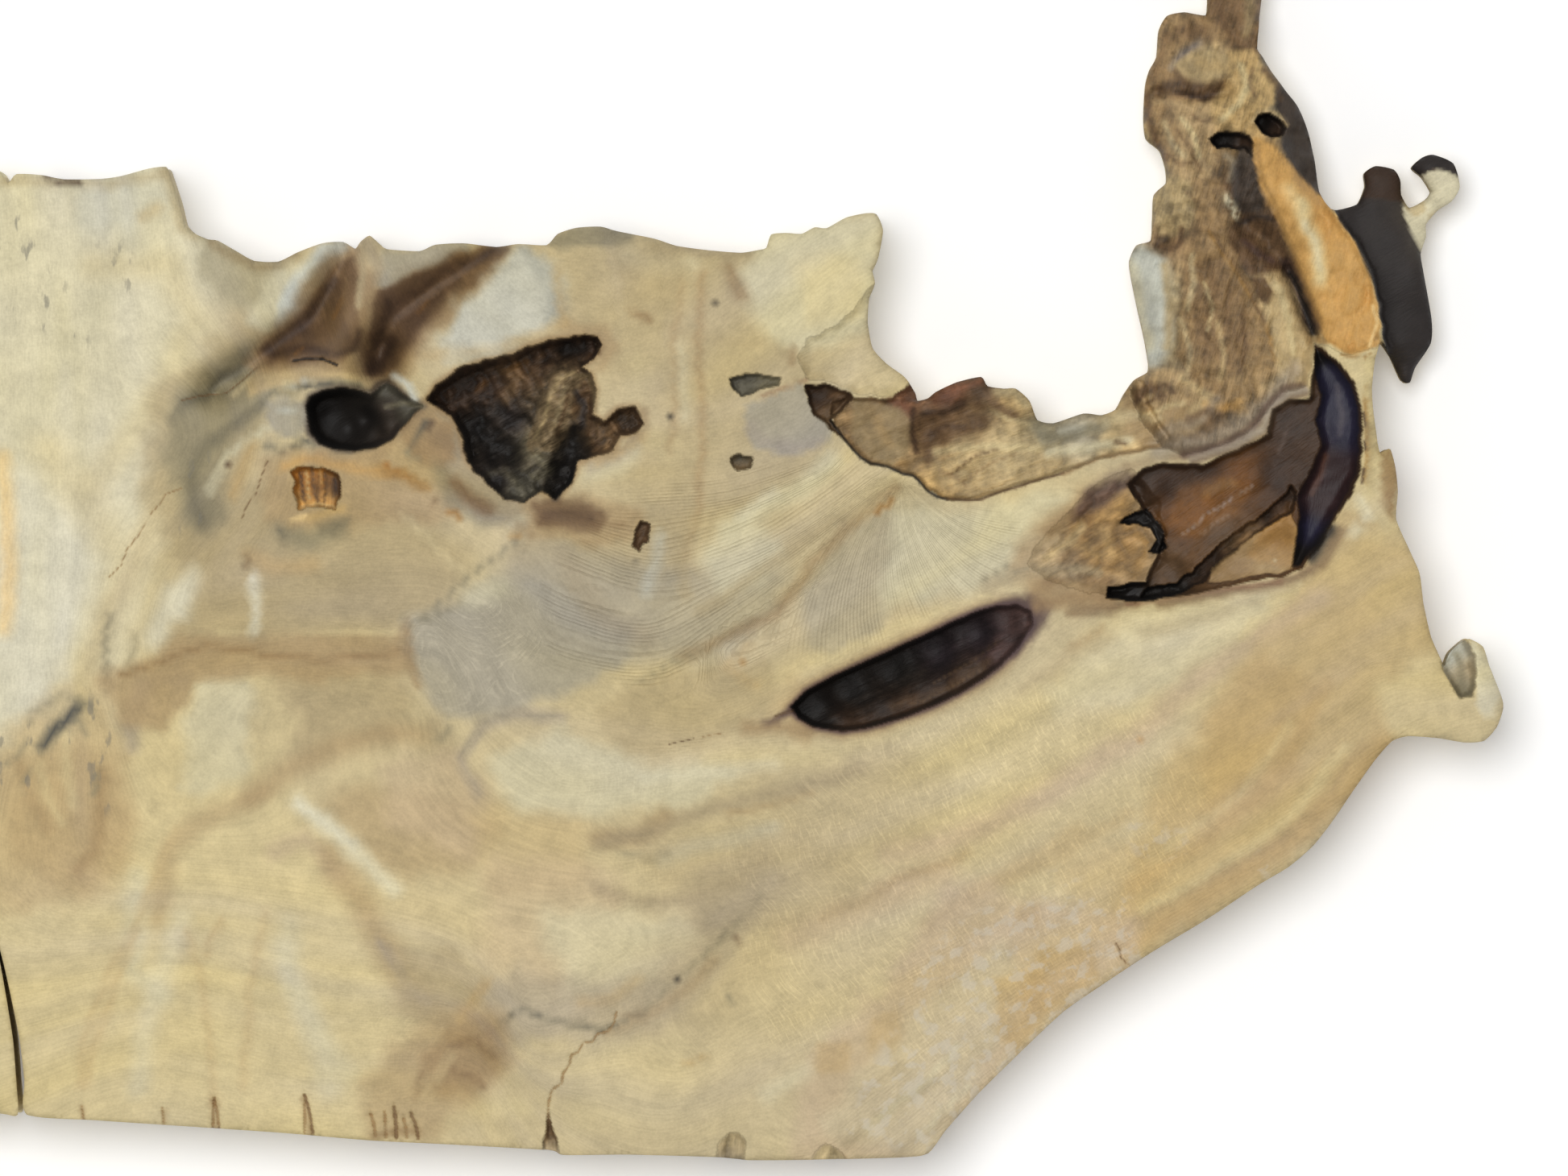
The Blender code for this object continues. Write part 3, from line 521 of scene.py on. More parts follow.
# Painted shade: the black and dark brown tones stand for the shade down in this split.
CREVICE = Hollow(
    rim=((1410, 745), (1425, 728), (1462, 722), (1490, 700), (1515, 672), (1550, 650), (1585, 624),
        (1604, 600), (1612, 612), (1606, 636), (1580, 650), (1546, 674), (1510, 704), (1496, 724),
        (1465, 738), (1430, 747)),
    wall=0.7, spots=((1450, 732, 4), (1500, 695, 5.5), (1560, 648, 5.5), (1602, 618, 5)),
    surface=Surface.SPLINTERED,
    tones=((1450, 735, Tone.BLACK), (1500, 700, Tone.DARK_BROWN), (1540, 665, Tone.UMBER),
        (1590, 630, Tone.DARK_BROWN)),
    heading=35.0)
LIT_LEDGE = Hollow(
    rim=((1500, 722), (1505, 703), (1546, 671), (1585, 645), (1602, 638), (1611, 652), (1609, 680),
        (1604, 708), (1562, 716), (1520, 724)),
    wall=1.6, spots=((1550, 698, 0.3), (1590, 680, 0.4)), surface=Surface.SATIN,
    tones=((1530, 708, Tone.LIGHT_BROWN), (1590, 660, Tone.OCHRE), (1580, 700, Tone.CLAY)))
# Its indigo tones are the wall's dark purple-brown with a painted bluish reflection in them.
CRESCENT = Hollow(
    rim=((1634, 430), (1658, 450), (1678, 476), (1688, 505), (1688, 560), (1686, 588), (1674, 610),
        (1658, 640), (1636, 676), (1614, 702), (1602, 706), (1607, 674), (1614, 640), (1610, 618),
        (1628, 582), (1640, 552), (1634, 520), (1640, 490), (1630, 455)),
    wall=2.0,
    spots=((1645, 470, 2.4), (1660, 510, 3), (1665, 560, 3.5), (1645, 610, 4), (1620, 670, 3.5)),
    surface=Surface.SATIN,
    tones=((1645, 465, Tone.INDIGO), (1662, 500, Tone.INDIGO), (1668, 540, Tone.INDIGO),
        (1650, 575, Tone.PLUM), (1668, 590, Tone.PLUM), (1640, 620, Tone.PLUM), (1625, 660, Tone.INDIGO),
        (1612, 692, Tone.BLACK), (1634, 445, Tone.BLACK)),
    heading=80.0, ragged=2.0)
# Painted shade: the black tones stand for the shade in the notch's two deep steps.
NOTCH = Hollow(
    rim=((1388, 650), (1396, 642), (1410, 634), (1424, 630), (1434, 644), (1446, 660), (1450, 680),
        (1440, 688), (1424, 686), (1434, 672), (1428, 658), (1414, 650), (1402, 654)),
    wall=0.6, spots=((1415, 642, 4.5), (1440, 670, 4)), surface=Surface.WORN,
    tones=((1405, 645, Tone.BLACK), (1440, 670, Tone.BLACK)))
BROWN_APRON = Hollow(
    rim=((1405, 582), (1370, 594), (1345, 614), (1330, 632), (1305, 655), (1285, 678), (1274, 700),
        (1300, 722), (1350, 735), (1400, 740), (1450, 700), (1440, 620)),
    wall=4.5, spots=((1330, 690, 1.0), (1370, 630, 1.2), (1395, 690, 2.4)),
    surface=Surface.SPLINTERED)
ARM = Hollow(
    rim=((1470, 566), (1440, 552), (1415, 520), (1405, 490), (1380, 430), (1380, -140), (1650, -140),
        (1660, 200), (1652, 262), (1680, 300), (1698, 330), (1712, 380), (1714, 430), (1668, 440),
        (1632, 425), (1622, 480), (1590, 488), (1565, 520), (1530, 548)),
    wall=2.4,
    spots=((1410, 320, 13), (1408, 380, 14), (1416, 425, 12), (1428, 450, 9), (1440, 335, 8),
        (1445, 400, 7), (1450, 450, 5.5), (1470, 360, 3.5), (1480, 440, 3), (1438, 250, 10),
        (1460, 250, 5), (1482, 230, 4), (1448, 295, 11), (1500, 300, 2.6), (1520, 370, 2.2),
        (1530, 430, 2), (1552, 465, 2), (1510, 250, 3), (1430, 175, 11), (1425, 130, 12), (1438, 80, 11),
        (1450, 38, 12), (1472, 22, 11), (1495, 28, 10), (1480, 110, 5), (1500, 62, 6), (1520, 92, 4),
        (1540, 130, 3), (1490, 160, 5), (1470, 200, 5), (1570, 200, 0.5), (1600, 240, 0.4),
        (1625, 290, 0.2), (1655, 345, 0.2), (1680, 395, 0.2), (1692, 425, 0.3), (1598, 130, 9),
        (1620, 170, 11), (1630, 212, 9), (1580, 96, 7), (1562, 66, 8), (1570, 300, 6), (1590, 335, 5),
        (1612, 385, 3), (1600, 440, 2), (1535, -60, 12), (1540, 0, 11), (1545, 40, 9), (1512, 0, 13),
        (1562, -10, 13), (1450, 490, 5), (1500, 520, 2), (1560, 500, 1.5)),
    surface=Surface.GNARLED,
    tones=((1410, 320, Tone.GREY), (1412, 380, Tone.GREY), (1420, 430, Tone.GREY),
        (1445, 360, Tone.TAUPE), (1450, 430, Tone.TAN), (1490, 330, Tone.LIGHT_BROWN),
        (1500, 400, Tone.LIGHT_BROWN), (1530, 430, Tone.LIGHT_BROWN), (1550, 470, Tone.TAUPE),
        (1445, 250, Tone.HONEY), (1470, 240, Tone.TAN), (1450, 295, Tone.UMBER),
        (1500, 280, Tone.LIGHT_BROWN), (1450, 160, Tone.TAN), (1435, 110, Tone.LIGHT_BROWN),
        (1450, 40, Tone.TAN), (1480, 40, Tone.UMBER), (1500, 70, Tone.TAN), (1470, 105, Tone.UMBER),
        (1530, 100, Tone.TAN), (1545, 140, Tone.AMBER), (1485, 190, Tone.LIGHT_BROWN),
        (1535, 230, Tone.BROWN), (1570, 200, Tone.ORANGE), (1600, 240, Tone.ORANGE),
        (1625, 290, Tone.STRAW), (1655, 345, Tone.CREAM), (1680, 400, Tone.ORANGE),
        (1598, 120, Tone.CHARCOAL), (1620, 175, Tone.CHARCOAL), (1633, 215, Tone.CHARCOAL),
        (1578, 95, Tone.SMOKE), (1570, 300, Tone.BROWN), (1560, 270, Tone.BROWN), (1590, 335, Tone.UMBER),
        (1590, 400, Tone.TAN), (1600, 440, Tone.TAN), (1540, 0, Tone.UMBER), (1545, 45, Tone.BROWN),
        (1535, -60, Tone.LIGHT_BROWN), (1440, 490, Tone.UMBER), (1500, 510, Tone.UMBER),
        (1560, 500, Tone.LIGHT_BROWN)),
    heading=75.0)
FLANGE = Hollow(
    rim=((1645, 246), (1660, 268), (1680, 300), (1698, 330), (1710, 375), (1716, 424), (1735, 500),
        (1840, 480), (1840, 150), (1690, 150), (1680, 240)),
    wall=1.4,
    spots=((1690, 265, 13), (1720, 218, 14), (1740, 240, 14), (1730, 300, 12), (1760, 335, 12),
        (1775, 400, 14), (1750, 460, 16), (1735, 420, 13), (1712, 330, 12), (1785, 220, 13),
        (1765, 262, 15), (1770, 300, 13), (1668, 262, 12)),
    surface=Surface.PLAIN,
    tones=((1690, 265, Tone.JET), (1720, 218, Tone.DARK_BROWN), (1725, 300, Tone.JET),
        (1735, 350, Tone.JET), (1750, 390, Tone.JET), (1750, 460, Tone.JET), (1765, 420, Tone.JET),
        (1783, 200, Tone.DARK_BROWN), (1800, 240, Tone.CREAM), (1764, 262, Tone.HONEY),
        (1770, 292, Tone.CREAM)))
# Painted shade: the black tones of this cavity and of the arm's hole below stand for the shade down in
# them.
ARM_CAVITY = Hollow(
    rim=((1500, 172), (1508, 164), (1522, 161), (1538, 162), (1550, 166), (1557, 178), (1554, 192),
        (1546, 186), (1530, 182), (1512, 182)),
    wall=0.9, spots=((1525, 172, 7), (1550, 178, 6)), surface=Surface.WORN,
    tones=((1520, 172, Tone.BLACK), (1548, 176, Tone.DARK_BROWN)))
ARM_HOLE = Hollow(
    rim=((1558, 150), (1563, 142), (1573, 139), (1584, 141), (1593, 148), (1596, 158), (1592, 167),
        (1580, 169), (1567, 164)),
    wall=0.9, spots=((1580, 156, 9),), surface=Surface.WORN,
    tones=((1570, 150, Tone.BLACK), (1588, 160, Tone.DARK_BROWN)))
# Its blue-white tone at the top is a painted highlight, and its grey-taupe and smoke tones lower down are
# painted shade on the recess's wall.
HOOK_RECESS = Hollow(
    rim=((1790, 822), (1800, 805), (1816, 792), (1825, 800), (1830, 815), (1833, 850), (1827, 865),
        (1812, 868), (1800, 852), (1793, 834)),
    wall=1.4, spots=((1812, 830, 5), (1815, 850, 4)), surface=Surface.WORN,
    tones=((1806, 815, Tone.BLUE_WHITE), (1818, 830, Tone.GREY_TAUPE), (1815, 860, Tone.SMOKE)))
EDGE_CHIP = Hollow(
    rim=((886, 1450), (892, 1420), (903, 1406), (918, 1405), (927, 1418), (924, 1450)),
    wall=2.0, spots=((908, 1428, 1.0),), surface=Surface.SPLINTERED,
    tones=((908, 1415, Tone.TAUPE), (905, 1435, Tone.GREY_TAUPE)),
    heading=85.0)
SMALL_CHIP = Hollow(
    rim=((1002, 1450), (1012, 1430), (1024, 1421), (1040, 1424), (1050, 1436), (1052, 1450)),
    wall=2.0, spots=((1028, 1436, 0.9),), surface=Surface.SPLINTERED,
    tones=((1028, 1432, Tone.TAUPE),), heading=85.0)
WEDGE_CHIP = Hollow(
    rim=((672, 1445), (677, 1405), (681, 1380), (686, 1396), (692, 1420), (695, 1445)),
    wall=0.8, spots=((683, 1420, 2.4),), surface=Surface.SPLINTERED,
    tones=((683, 1400, Tone.UMBER), (684, 1430, Tone.GREY_TAUPE)),
    heading=85.0)
HOLLOWS = (
    BROWN_APRON, ROUND_HOLE, CAVERN, RUSTY_PIT, BROWN_PIT, GREY_SLIT, SMALL_PIT, SHELF_SEAM,
    LEDGE, TRIANGULAR_POCKET, SLOT, ARM, FLANGE, GLOSSY_HOLLOW, ARM_CAVITY, ARM_HOLE,
    HOOK_RECESS, EDGE_CHIP, SMALL_CHIP, WEDGE_CHIP, CREVICE, LIT_LEDGE, CRESCENT, NOTCH)

GROOVES = (
    Groove(((432, 300), (415, 345), (390, 395), (340, 430), (300, 460), (265, 482)), 3.2, 6.0),
    Groove(((632, 300), (590, 325), (540, 358), (490, 395), (470, 440)), 3.8, 7.5),
    Groove(((470, 430), (466, 462)), 3.0, 5.0),
    Groove(((1602, 335), (1618, 380), (1634, 425)), 1.3, 6.0),
    Groove(((1545, 275), (1575, 300), (1598, 335)), 2.2, 3.0),
    Groove(((1440, 112), (1480, 122), (1525, 112)), 1.2, 2.0))

CRACKS = (
    Crack(((765, 1256), (762, 1270), (755, 1280), (741, 1284), (735, 1293), (723, 1295),
           (718, 1306), (709, 1310), (707, 1322), (699, 1333), (697, 1345), (685, 1353),
           (681, 1368), (680, 1386)), 0.3, 0.8, Tone.LIGHT_BROWN),
    Crack(((1385, 1172), (1390, 1180), (1391, 1188), (1402, 1200)), 0.28, 0.6, Tone.UMBER),
    Crack(((226, 606), (205, 614), (198, 626), (185, 640), (172, 664), (158, 682), (150, 702),
           (136, 716)), 0.2, 0.3, Tone.LIGHT_BROWN),
    Crack(((226, 497), (250, 491), (280, 488), (300, 472), (318, 455)), 0.22, 0.4, Tone.UMBER),
    Crack(((364, 448), (380, 445), (400, 446), (418, 453)), 0.4, 0.8, Tone.BLACK),
    Crack(((332, 572), (325, 590), (318, 612), (306, 628), (300, 645)), 0.2, 0.3, Tone.UMBER),
    Crack(((830, 924), (848, 920), (862, 917)), 0.16, 0.2, Tone.BROWN),
    Crack(((872, 915), (884, 912), (895, 911)), 0.16, 0.2, Tone.LIGHT_BROWN),
    Crack(((962, 889), (985, 882)), 0.3, 0.6, Tone.BROWN))

# Splits up from the sawn edge, as (x pixel at the edge, height and lean in pixels, width in mm)
EDGE_SPLITS = (
    (104, 20, -3, 0.25), (203, 24, -2, 0.25), (264, 38, 2, 0.35), (272, 34, -6, 0.4),
    (378, 36, 0, 0.3), (388, 48, -10, 0.45), (466, 28, -6, 0.4), (479, 32, -2, 0.35),
    (492, 38, -3, 0.6), (505, 24, -4, 0.35), (519, 32, -9, 0.45))


def edge_splits() -> tuple[Crack, ...]:
    """The splits that rise from the sawn lower edge, which slopes 34 pixels in 680."""
    splits = []
    for place, height, lean, width in EDGE_SPLITS:
        foot = SAWN_EDGE_Y_PX + SAWN_EDGE_SLOPE * place
        path = ((place, foot), (place + 0.3 * lean, foot - 0.5 * height),
                (place + lean, foot - height))
        tone = Tone.LIGHT_BROWN if width < 0.45 else Tone.UMBER
        splits.append(Crack(path, width, 0.8, tone))
    return tuple(splits)


CRACKS += edge_splits()


@dataclass(frozen=True)
class Stain:
    """One soft stroke or patch of colour on the wood.

    Attributes:
        tone: its colour.
        strength: how much it covers at its middle, from 0 to 1.
        width: its half width, or the feather round a closed patch, in pixels.
        path: its path, or a patch's rim, in pixels.
        closed: whether the path is a rim that is filled.
        softness: the share of the width over which it fades.
        ragged: how far noise pushes its edge, in pixels.
    """

    tone: Tone
    strength: float
    width: float
    path: Path
    closed: bool = False
    softness: float = 1.0
    ragged: float = 6.0

    def cover(self, points: Points, warp: np.ndarray) -> np.ndarray:
        """How much it covers each point: full in its middle, easing to 0 across its edge."""
        cover = np.zeros(len(points))
        chosen = near(points, self.path, self.width + self.ragged)
        if not chosen.any():
            return cover
        pushed = points[chosen] + self.ragged * warp[chosen]
        reach = path_distance(pushed, self.path, self.closed)
        if self.closed:
            reach = np.where(inside(pushed, self.path), 0.0, reach)
        share = (1.0 - reach / self.width) / self.softness
        cover[chosen] = self.strength * smoothstep(share)
        return cover


def stroke(tone: Tone, strength: float, width: float, *path: tuple[float, float]) -> Stain:
    """A soft stroke along a path, with its half width in pixels."""
    return Stain(tone, strength, width, path, ragged=min(6.0, 0.5 * width))


def patch(tone: Tone, strength: float, feather: float, *rim: tuple[float, float]) -> Stain:
    """A filled patch with a soft rim, with its feather in pixels."""
    return Stain(tone, strength, feather, rim, closed=True, ragged=min(14.0, 0.6 * feather))


def area(strength: float, feather: float, *rim: tuple[float, float]) -> Stain:
    """An area where a finish holds: a patch whose tone isn't used."""
    return patch(Tone.BLACK, strength, feather, *rim)


# Strokes are (tone, strength, half width in pixels, points of the path in pixels), and patches
# (tone, strength, feather in pixels, points of the rim). Later ones lie over earlier ones.
LEFT_STAINS = (
    patch(Tone.CREAM, 0.95, 90, (-170, 200), (200, 210), (230, 300), (215, 480), (150, 640), (120, 800),
        (90, 880), (0, 930), (-170, 930)),
    patch(Tone.STRAW, 0.9, 70, (-170, 1080), (0, 1100), (180, 1060), (330, 1000), (460, 1180),
        (460, 1420), (-160, 1400)),
    patch(Tone.TAUPE, 0.85, 45, (255, 620), (470, 600), (560, 700), (500, 790), (480, 900), (340, 920),
        (330, 800), (230, 800), (250, 700)),
    patch(Tone.STRAW, 0.75, 34, (245, 850), (310, 835), (350, 900), (340, 960), (260, 1000), (300, 1060),
        (170, 1110), (160, 990), (170, 940), (215, 880)),
    patch(Tone.IVORY, 0.7, 24, (262, 850), (300, 850), (300, 920), (290, 960), (240, 975), (245, 900)),
    patch(Tone.TAN, 0.75, 36, (-170, 960), (0, 945), (60, 880), (110, 850), (140, 940), (150, 1040),
        (130, 1090), (60, 1110), (-170, 1130)),
    patch(Tone.BLUE_WHITE, 0.35, 30, (110, 235), (175, 228), (190, 250), (150, 275), (110, 270)),
    patch(Tone.WHITE, 0.4, 40, (-60, 620), (20, 600), (60, 640), (100, 700), (60, 860), (0, 880)),
    stroke(Tone.IVORY, 0.55, 34, (165, 300), (130, 370), (90, 425), (50, 490), (15, 560)),
    stroke(Tone.STRAW, 0.5, 34, (120, 330), (210, 330), (240, 400), (190, 500), (120, 600)),
    stroke(Tone.STRAW, 0.5, 44, (60, 560), (120, 640), (150, 700), (120, 800), (90, 850)),
    stroke(Tone.HONEY, 0.7, 26, (200, 600), (165, 700), (135, 760), (110, 830), (60, 880)),
    stroke(Tone.PEACH, 0.95, 26, (-60, 640), (-20, 700), (-30, 780)),
    stroke(Tone.PEACH, 0.9, 20, (2, 570), (8, 640), (12, 720), (4, 780)),
    stroke(Tone.WHITE, 0.7, 26, (215, 740), (195, 790)),
    stroke(Tone.WHITE, 0.75, 22, (238, 710), (225, 760)),
    stroke(Tone.WHITE, 0.75, 12, (316, 715), (318, 760), (312, 785)),
    stroke(Tone.TAUPE, 0.5, 12, (-60, 222), (10, 224), (60, 226), (125, 228), (180, 222), (208, 214)),
    stroke(Tone.TAUPE, 0.6, 12, (205, 215), (216, 250), (228, 285), (245, 297)),
    stroke(Tone.TAN, 0.5, 16, (178, 268), (195, 260)),
    stroke(Tone.DARK_BROWN, 0.95, 5, (56, 220), (72, 225), (98, 226)),
    patch(Tone.OLIVE, 0.85, 26, (258, 300), (300, 328), (345, 330), (352, 346), (325, 372), (285, 366),
        (258, 335)),
    stroke(Tone.DUSK, 0.7, 12, (262, 302), (292, 318), (318, 330), (348, 330), (368, 320)),
    patch(Tone.TAUPE, 0.75, 34, (320, 400), (260, 450), (205, 500), (190, 600), (230, 690), (290, 600),
        (300, 480)),
    # Darker grey left of the round hole, partly the wood's grey and partly painted shade where the wood
    # dips towards the hole: this patch and the strokes below.
    patch(Tone.SMOKE, 0.7, 34, (300, 445), (262, 470), (232, 520), (222, 580), (240, 640), (262, 640),
        (256, 580), (286, 530), (320, 490)),
    stroke(Tone.SMOKE, 0.75, 20, (300, 450), (262, 478), (235, 500)),
    stroke(Tone.CHARCOAL, 0.65, 12, (298, 456), (278, 470), (262, 480)),
    stroke(Tone.CHARCOAL, 0.35, 16, (262, 545), (240, 575), (238, 615), (250, 650)),
    stroke(Tone.CHARCOAL, 0.3, 12, (216, 520), (232, 500), (258, 492)),
    stroke(Tone.HONEY, 0.7, 7, (288, 492), (305, 475), (325, 460)),
    patch(Tone.TAN, 0.85, 9, (325, 458), (345, 462), (345, 476), (312, 490), (308, 478)),
    patch(Tone.IVORY, 0.8, 20, (345, 345), (372, 338), (380, 352), (365, 385), (335, 405), (318, 395)),
    patch(Tone.BLUE_WHITE, 0.9, 14, (400, 308), (425, 302), (408, 335), (388, 358), (372, 385),
        (348, 402), (352, 372), (375, 342)),
    patch(Tone.LIGHT_BROWN, 0.75, 20, (438, 308), (455, 340), (470, 350), (530, 330), (624, 300),
        (606, 340), (560, 376), (530, 410), (508, 450), (488, 474), (455, 470), (380, 456), (312, 452),
        (345, 410), (372, 388), (384, 356), (404, 330)),
    patch(Tone.UMBER, 0.95, 10, (436, 322), (444, 350), (438, 380), (446, 418), (424, 446), (380, 446),
        (332, 448), (322, 440), (345, 416), (376, 392), (396, 366), (412, 340)),
    patch(Tone.BROWN, 0.7, 10, (424, 352), (422, 388), (434, 424), (412, 442), (372, 440), (336, 442),
        (352, 418), (380, 396), (404, 368)),
    patch(Tone.UMBER, 0.9, 13, (468, 402), (476, 372), (520, 342), (560, 320), (612, 304), (624, 312),
        (600, 332), (560, 362), (530, 392), (506, 430), (486, 462), (462, 462), (452, 430)),
    stroke(Tone.DARK_BROWN, 0.75, 12, (414, 348), (398, 372), (380, 398), (352, 420), (330, 434)),
    stroke(Tone.DARK_BROWN, 0.65, 11, (338, 438), (372, 430), (404, 438)),
    stroke(Tone.DARK_BROWN, 0.8, 11, (612, 310), (572, 326), (530, 348), (496, 372), (480, 396)),
    patch(Tone.BROWN, 0.8, 9, (472, 366), (492, 352), (540, 336), (590, 318), (566, 348), (532, 380),
        (506, 418), (486, 452), (464, 458), (458, 432), (464, 398)),
    stroke(Tone.DARK_BROWN, 0.6, 9, (480, 376), (472, 404), (466, 430)),
    stroke(Tone.DARK_BROWN, 0.95, 17, (484, 424), (474, 442), (466, 458)),
    stroke(Tone.DARK_BROWN, 0.6, 9, (448, 410), (440, 432), (418, 440)),
    stroke(Tone.RUST, 0.3, 5, (424, 372), (414, 392)),
    stroke(Tone.RUST, 0.3, 4, (376, 430), (366, 440)),
    stroke(Tone.RUST, 0.25, 5, (530, 372), (518, 388)),
    stroke(Tone.LIGHT_BROWN, 0.35, 5, (430, 345), (424, 380)),
    stroke(Tone.TAUPE, 0.85, 8, (452, 300), (452, 340), (446, 380)),
    stroke(Tone.GREY_TAUPE, 0.85, 12, (460, 300), (470, 330), (472, 352)),
    stroke(Tone.LIGHT_BROWN, 0.6, 7, (452, 385), (452, 410), (456, 430)),
    patch(Tone.GREY, 0.85, 10, (478, 316), (520, 314), (575, 304), (555, 314), (510, 334), (478, 352)),
    stroke(Tone.TAN, 0.9, 9, (340, 466), (385, 461), (425, 467), (456, 474), (466, 484)),
    # Painted shade along the round hole's upper rim.
    stroke(Tone.SMOKE, 0.8, 8, (318, 508), (340, 488), (372, 478), (410, 474), (446, 480)),
    stroke(Tone.CHARCOAL, 0.7, 5, (362, 486), (385, 478), (410, 476)),
    stroke(Tone.BLUE_WHITE, 0.6, 4, (358, 480), (384, 470)),
    stroke(Tone.CHARCOAL, 0.4, 13, (322, 506), (292, 530), (268, 548)),
    # Painted shade: a soot-dark band round the round hole's rim.
    Stain(Tone.SOOT, 0.8, 9, ROUND_HOLE.rim, closed=True, ragged=2.0),
    patch(Tone.GREY, 0.95, 9, (336, 506), (352, 497), (370, 502), (378, 516), (374, 534), (352, 540),
        (336, 528)),
    stroke(Tone.BLUE_WHITE, 0.6, 7, (350, 508), (364, 512)),
    stroke(Tone.IVORY, 0.8, 9, (330, 532), (306, 548), (285, 564), (270, 590), (260, 610)),
    stroke(Tone.SMOKE, 0.85, 8, (330, 552), (350, 562), (378, 548), (388, 556)),
    stroke(Tone.CHARCOAL, 0.6, 5, (346, 566), (362, 558), (382, 548)),
    patch(Tone.CLAY, 0.7, 20, (330, 570), (430, 575), (520, 560), (560, 520), (566, 560), (560, 640),
        (500, 640), (430, 650), (340, 650)),
    stroke(Tone.AMBER, 0.7, 13, (314, 552), (304, 580), (290, 612)),
    stroke(Tone.BROWN, 0.9, 4, (283, 577), (282, 586)),
    stroke(Tone.CLAY, 0.8, 12, (392, 566), (430, 572), (470, 566), (498, 545)),
    stroke(Tone.OCHRE, 0.7, 9, (470, 580), (500, 590), (526, 604)),
    stroke(Tone.ORANGE, 0.6, 12, (350, 580), (380, 572), (430, 582), (500, 590)),
    stroke(Tone.RUST, 0.8, 5, (476, 574), (490, 584), (506, 594)),
    stroke(Tone.BROWN, 0.5, 3, (482, 584), (498, 598)),
    patch(Tone.LIGHT_BROWN, 0.75, 10, (500, 530), (526, 512), (548, 512), (564, 530), (566, 560),
        (548, 580), (520, 572), (506, 556)),
    stroke(Tone.CHARCOAL, 0.7, 6, (528, 520), (520, 540), (512, 556)),
    stroke(Tone.DARK_BROWN, 0.6, 4, (536, 520), (532, 534)),
    stroke(Tone.SMOKE, 0.7, 6, (505, 562), (520, 574)),
    stroke(Tone.GREY_TAUPE, 0.9, 8, (544, 510), (566, 526), (571, 556), (566, 580)),
    patch(Tone.SMOKE, 0.6, 16, (540, 580), (580, 590), (640, 640), (600, 650), (560, 625)),
    stroke(Tone.AMBER, 0.9, 8, (360, 646), (392, 640), (426, 630)),
    stroke(Tone.PEACH, 0.7, 6, (362, 644), (378, 640)),
    stroke(Tone.SMOKE, 0.7, 22, (345, 662), (385, 674), (420, 655)),
    stroke(Tone.CHARCOAL, 0.45, 9, (348, 660), (352, 676)),
    stroke(Tone.CHARCOAL, 0.4, 12, (402, 655), (426, 646)),
    stroke(Tone.HONEY, 0.7, 9, (500, 640), (530, 668), (560, 700), (600, 730)),
    stroke(Tone.TAUPE, 0.6, 24, (300, 650), (400, 720), (480, 740)),
    stroke(Tone.GREY_TAUPE, 0.8, 24, (160, 900), (175, 860), (215, 830), (260, 800), (320, 800)),
    stroke(Tone.VIOLET_GREY, 0.6, 16, (165, 930), (160, 880), (175, 850), (230, 840)),
    stroke(Tone.SMOKE, 0.6, 9, (138, 765), (130, 800), (130, 840)),
    stroke(Tone.SMOKE, 0.35, 9, (170, 790), (162, 825), (150, 850)),
    patch(Tone.CLAY, 0.75, 18, (128, 842), (180, 826), (250, 792), (330, 800), (500, 796), (510, 826),
        (400, 836), (310, 826), (240, 840), (200, 900), (160, 890)),
    stroke(Tone.LIGHT_BROWN, 0.8, 7, (150, 838), (200, 822), (260, 800), (320, 812), (400, 818),
        (480, 812), (510, 806)),
    stroke(Tone.STRAW, 0.5, 5, (270, 784), (340, 790), (420, 786), (490, 784)),
    stroke(Tone.CLAY, 0.6, 26, (530, 912), (470, 912), (400, 935), (350, 960), (310, 990)),
    stroke(Tone.CLAY, 0.45, 24, (320, 985), (285, 1005), (240, 1026), (215, 1052), (204, 1095),
        (196, 1140)),
    stroke(Tone.PINK_TAN, 0.5, 20, (340, 1060), (380, 1040), (420, 1080)),
    patch(Tone.CLAY, 0.5, 40, (430, 1000), (480, 1000), (560, 1000), (600, 1030), (560, 1070),
        (500, 1065), (460, 1045)),
    stroke(Tone.CLAY, 0.6, 34, (410, 1060), (440, 1110), (468, 1160), (495, 1205), (525, 1245)),
    stroke(Tone.VIOLET_GREY, 0.5, 12, (470, 1170), (500, 1215), (530, 1245)),
    stroke(Tone.CREAM, 0.85, 19, (370, 996), (405, 1020), (445, 1060), (490, 1104)),
    stroke(Tone.WHITE, 0.5, 11, (372, 998), (405, 1018), (440, 1050)),
    stroke(Tone.TAN, 0.5, 10, (168, 1150), (142, 1190), (122, 1240), (106, 1290), (96, 1350)),
    stroke(Tone.TAN, 0.6, 8, (278, 1142), (262, 1165), (255, 1185)),
    stroke(Tone.GREY_TAUPE, 0.35, 16, (225, 1150), (225, 1190)),
    stroke(Tone.IVORY, 0.6, 26, (170, 1090), (165, 1200), (200, 1240)),
    stroke(Tone.IVORY, 0.45, 26, (360, 1150), (360, 1220), (400, 1290), (430, 1330)),
    patch(Tone.CLAY, 0.4, 34, (20, 960), (80, 940), (140, 960), (140, 1060), (100, 1090), (30, 1060)),
    stroke(Tone.CLAY, 0.6, 12, (20, 940), (34, 990), (60, 1030)),
    stroke(Tone.STRAW, 0.5, 10, (50, 950), (58, 990), (76, 1020)),
    stroke(Tone.LIGHT_BROWN, 0.5, 15, (128, 960), (124, 1010), (118, 1060), (96, 1080)),
    stroke(Tone.STRAW, 0.6, 12, (85, 910), (80, 960), (92, 1000)),
    stroke(Tone.SMOKE, 0.5, 5, (36, 955), (25, 985)),
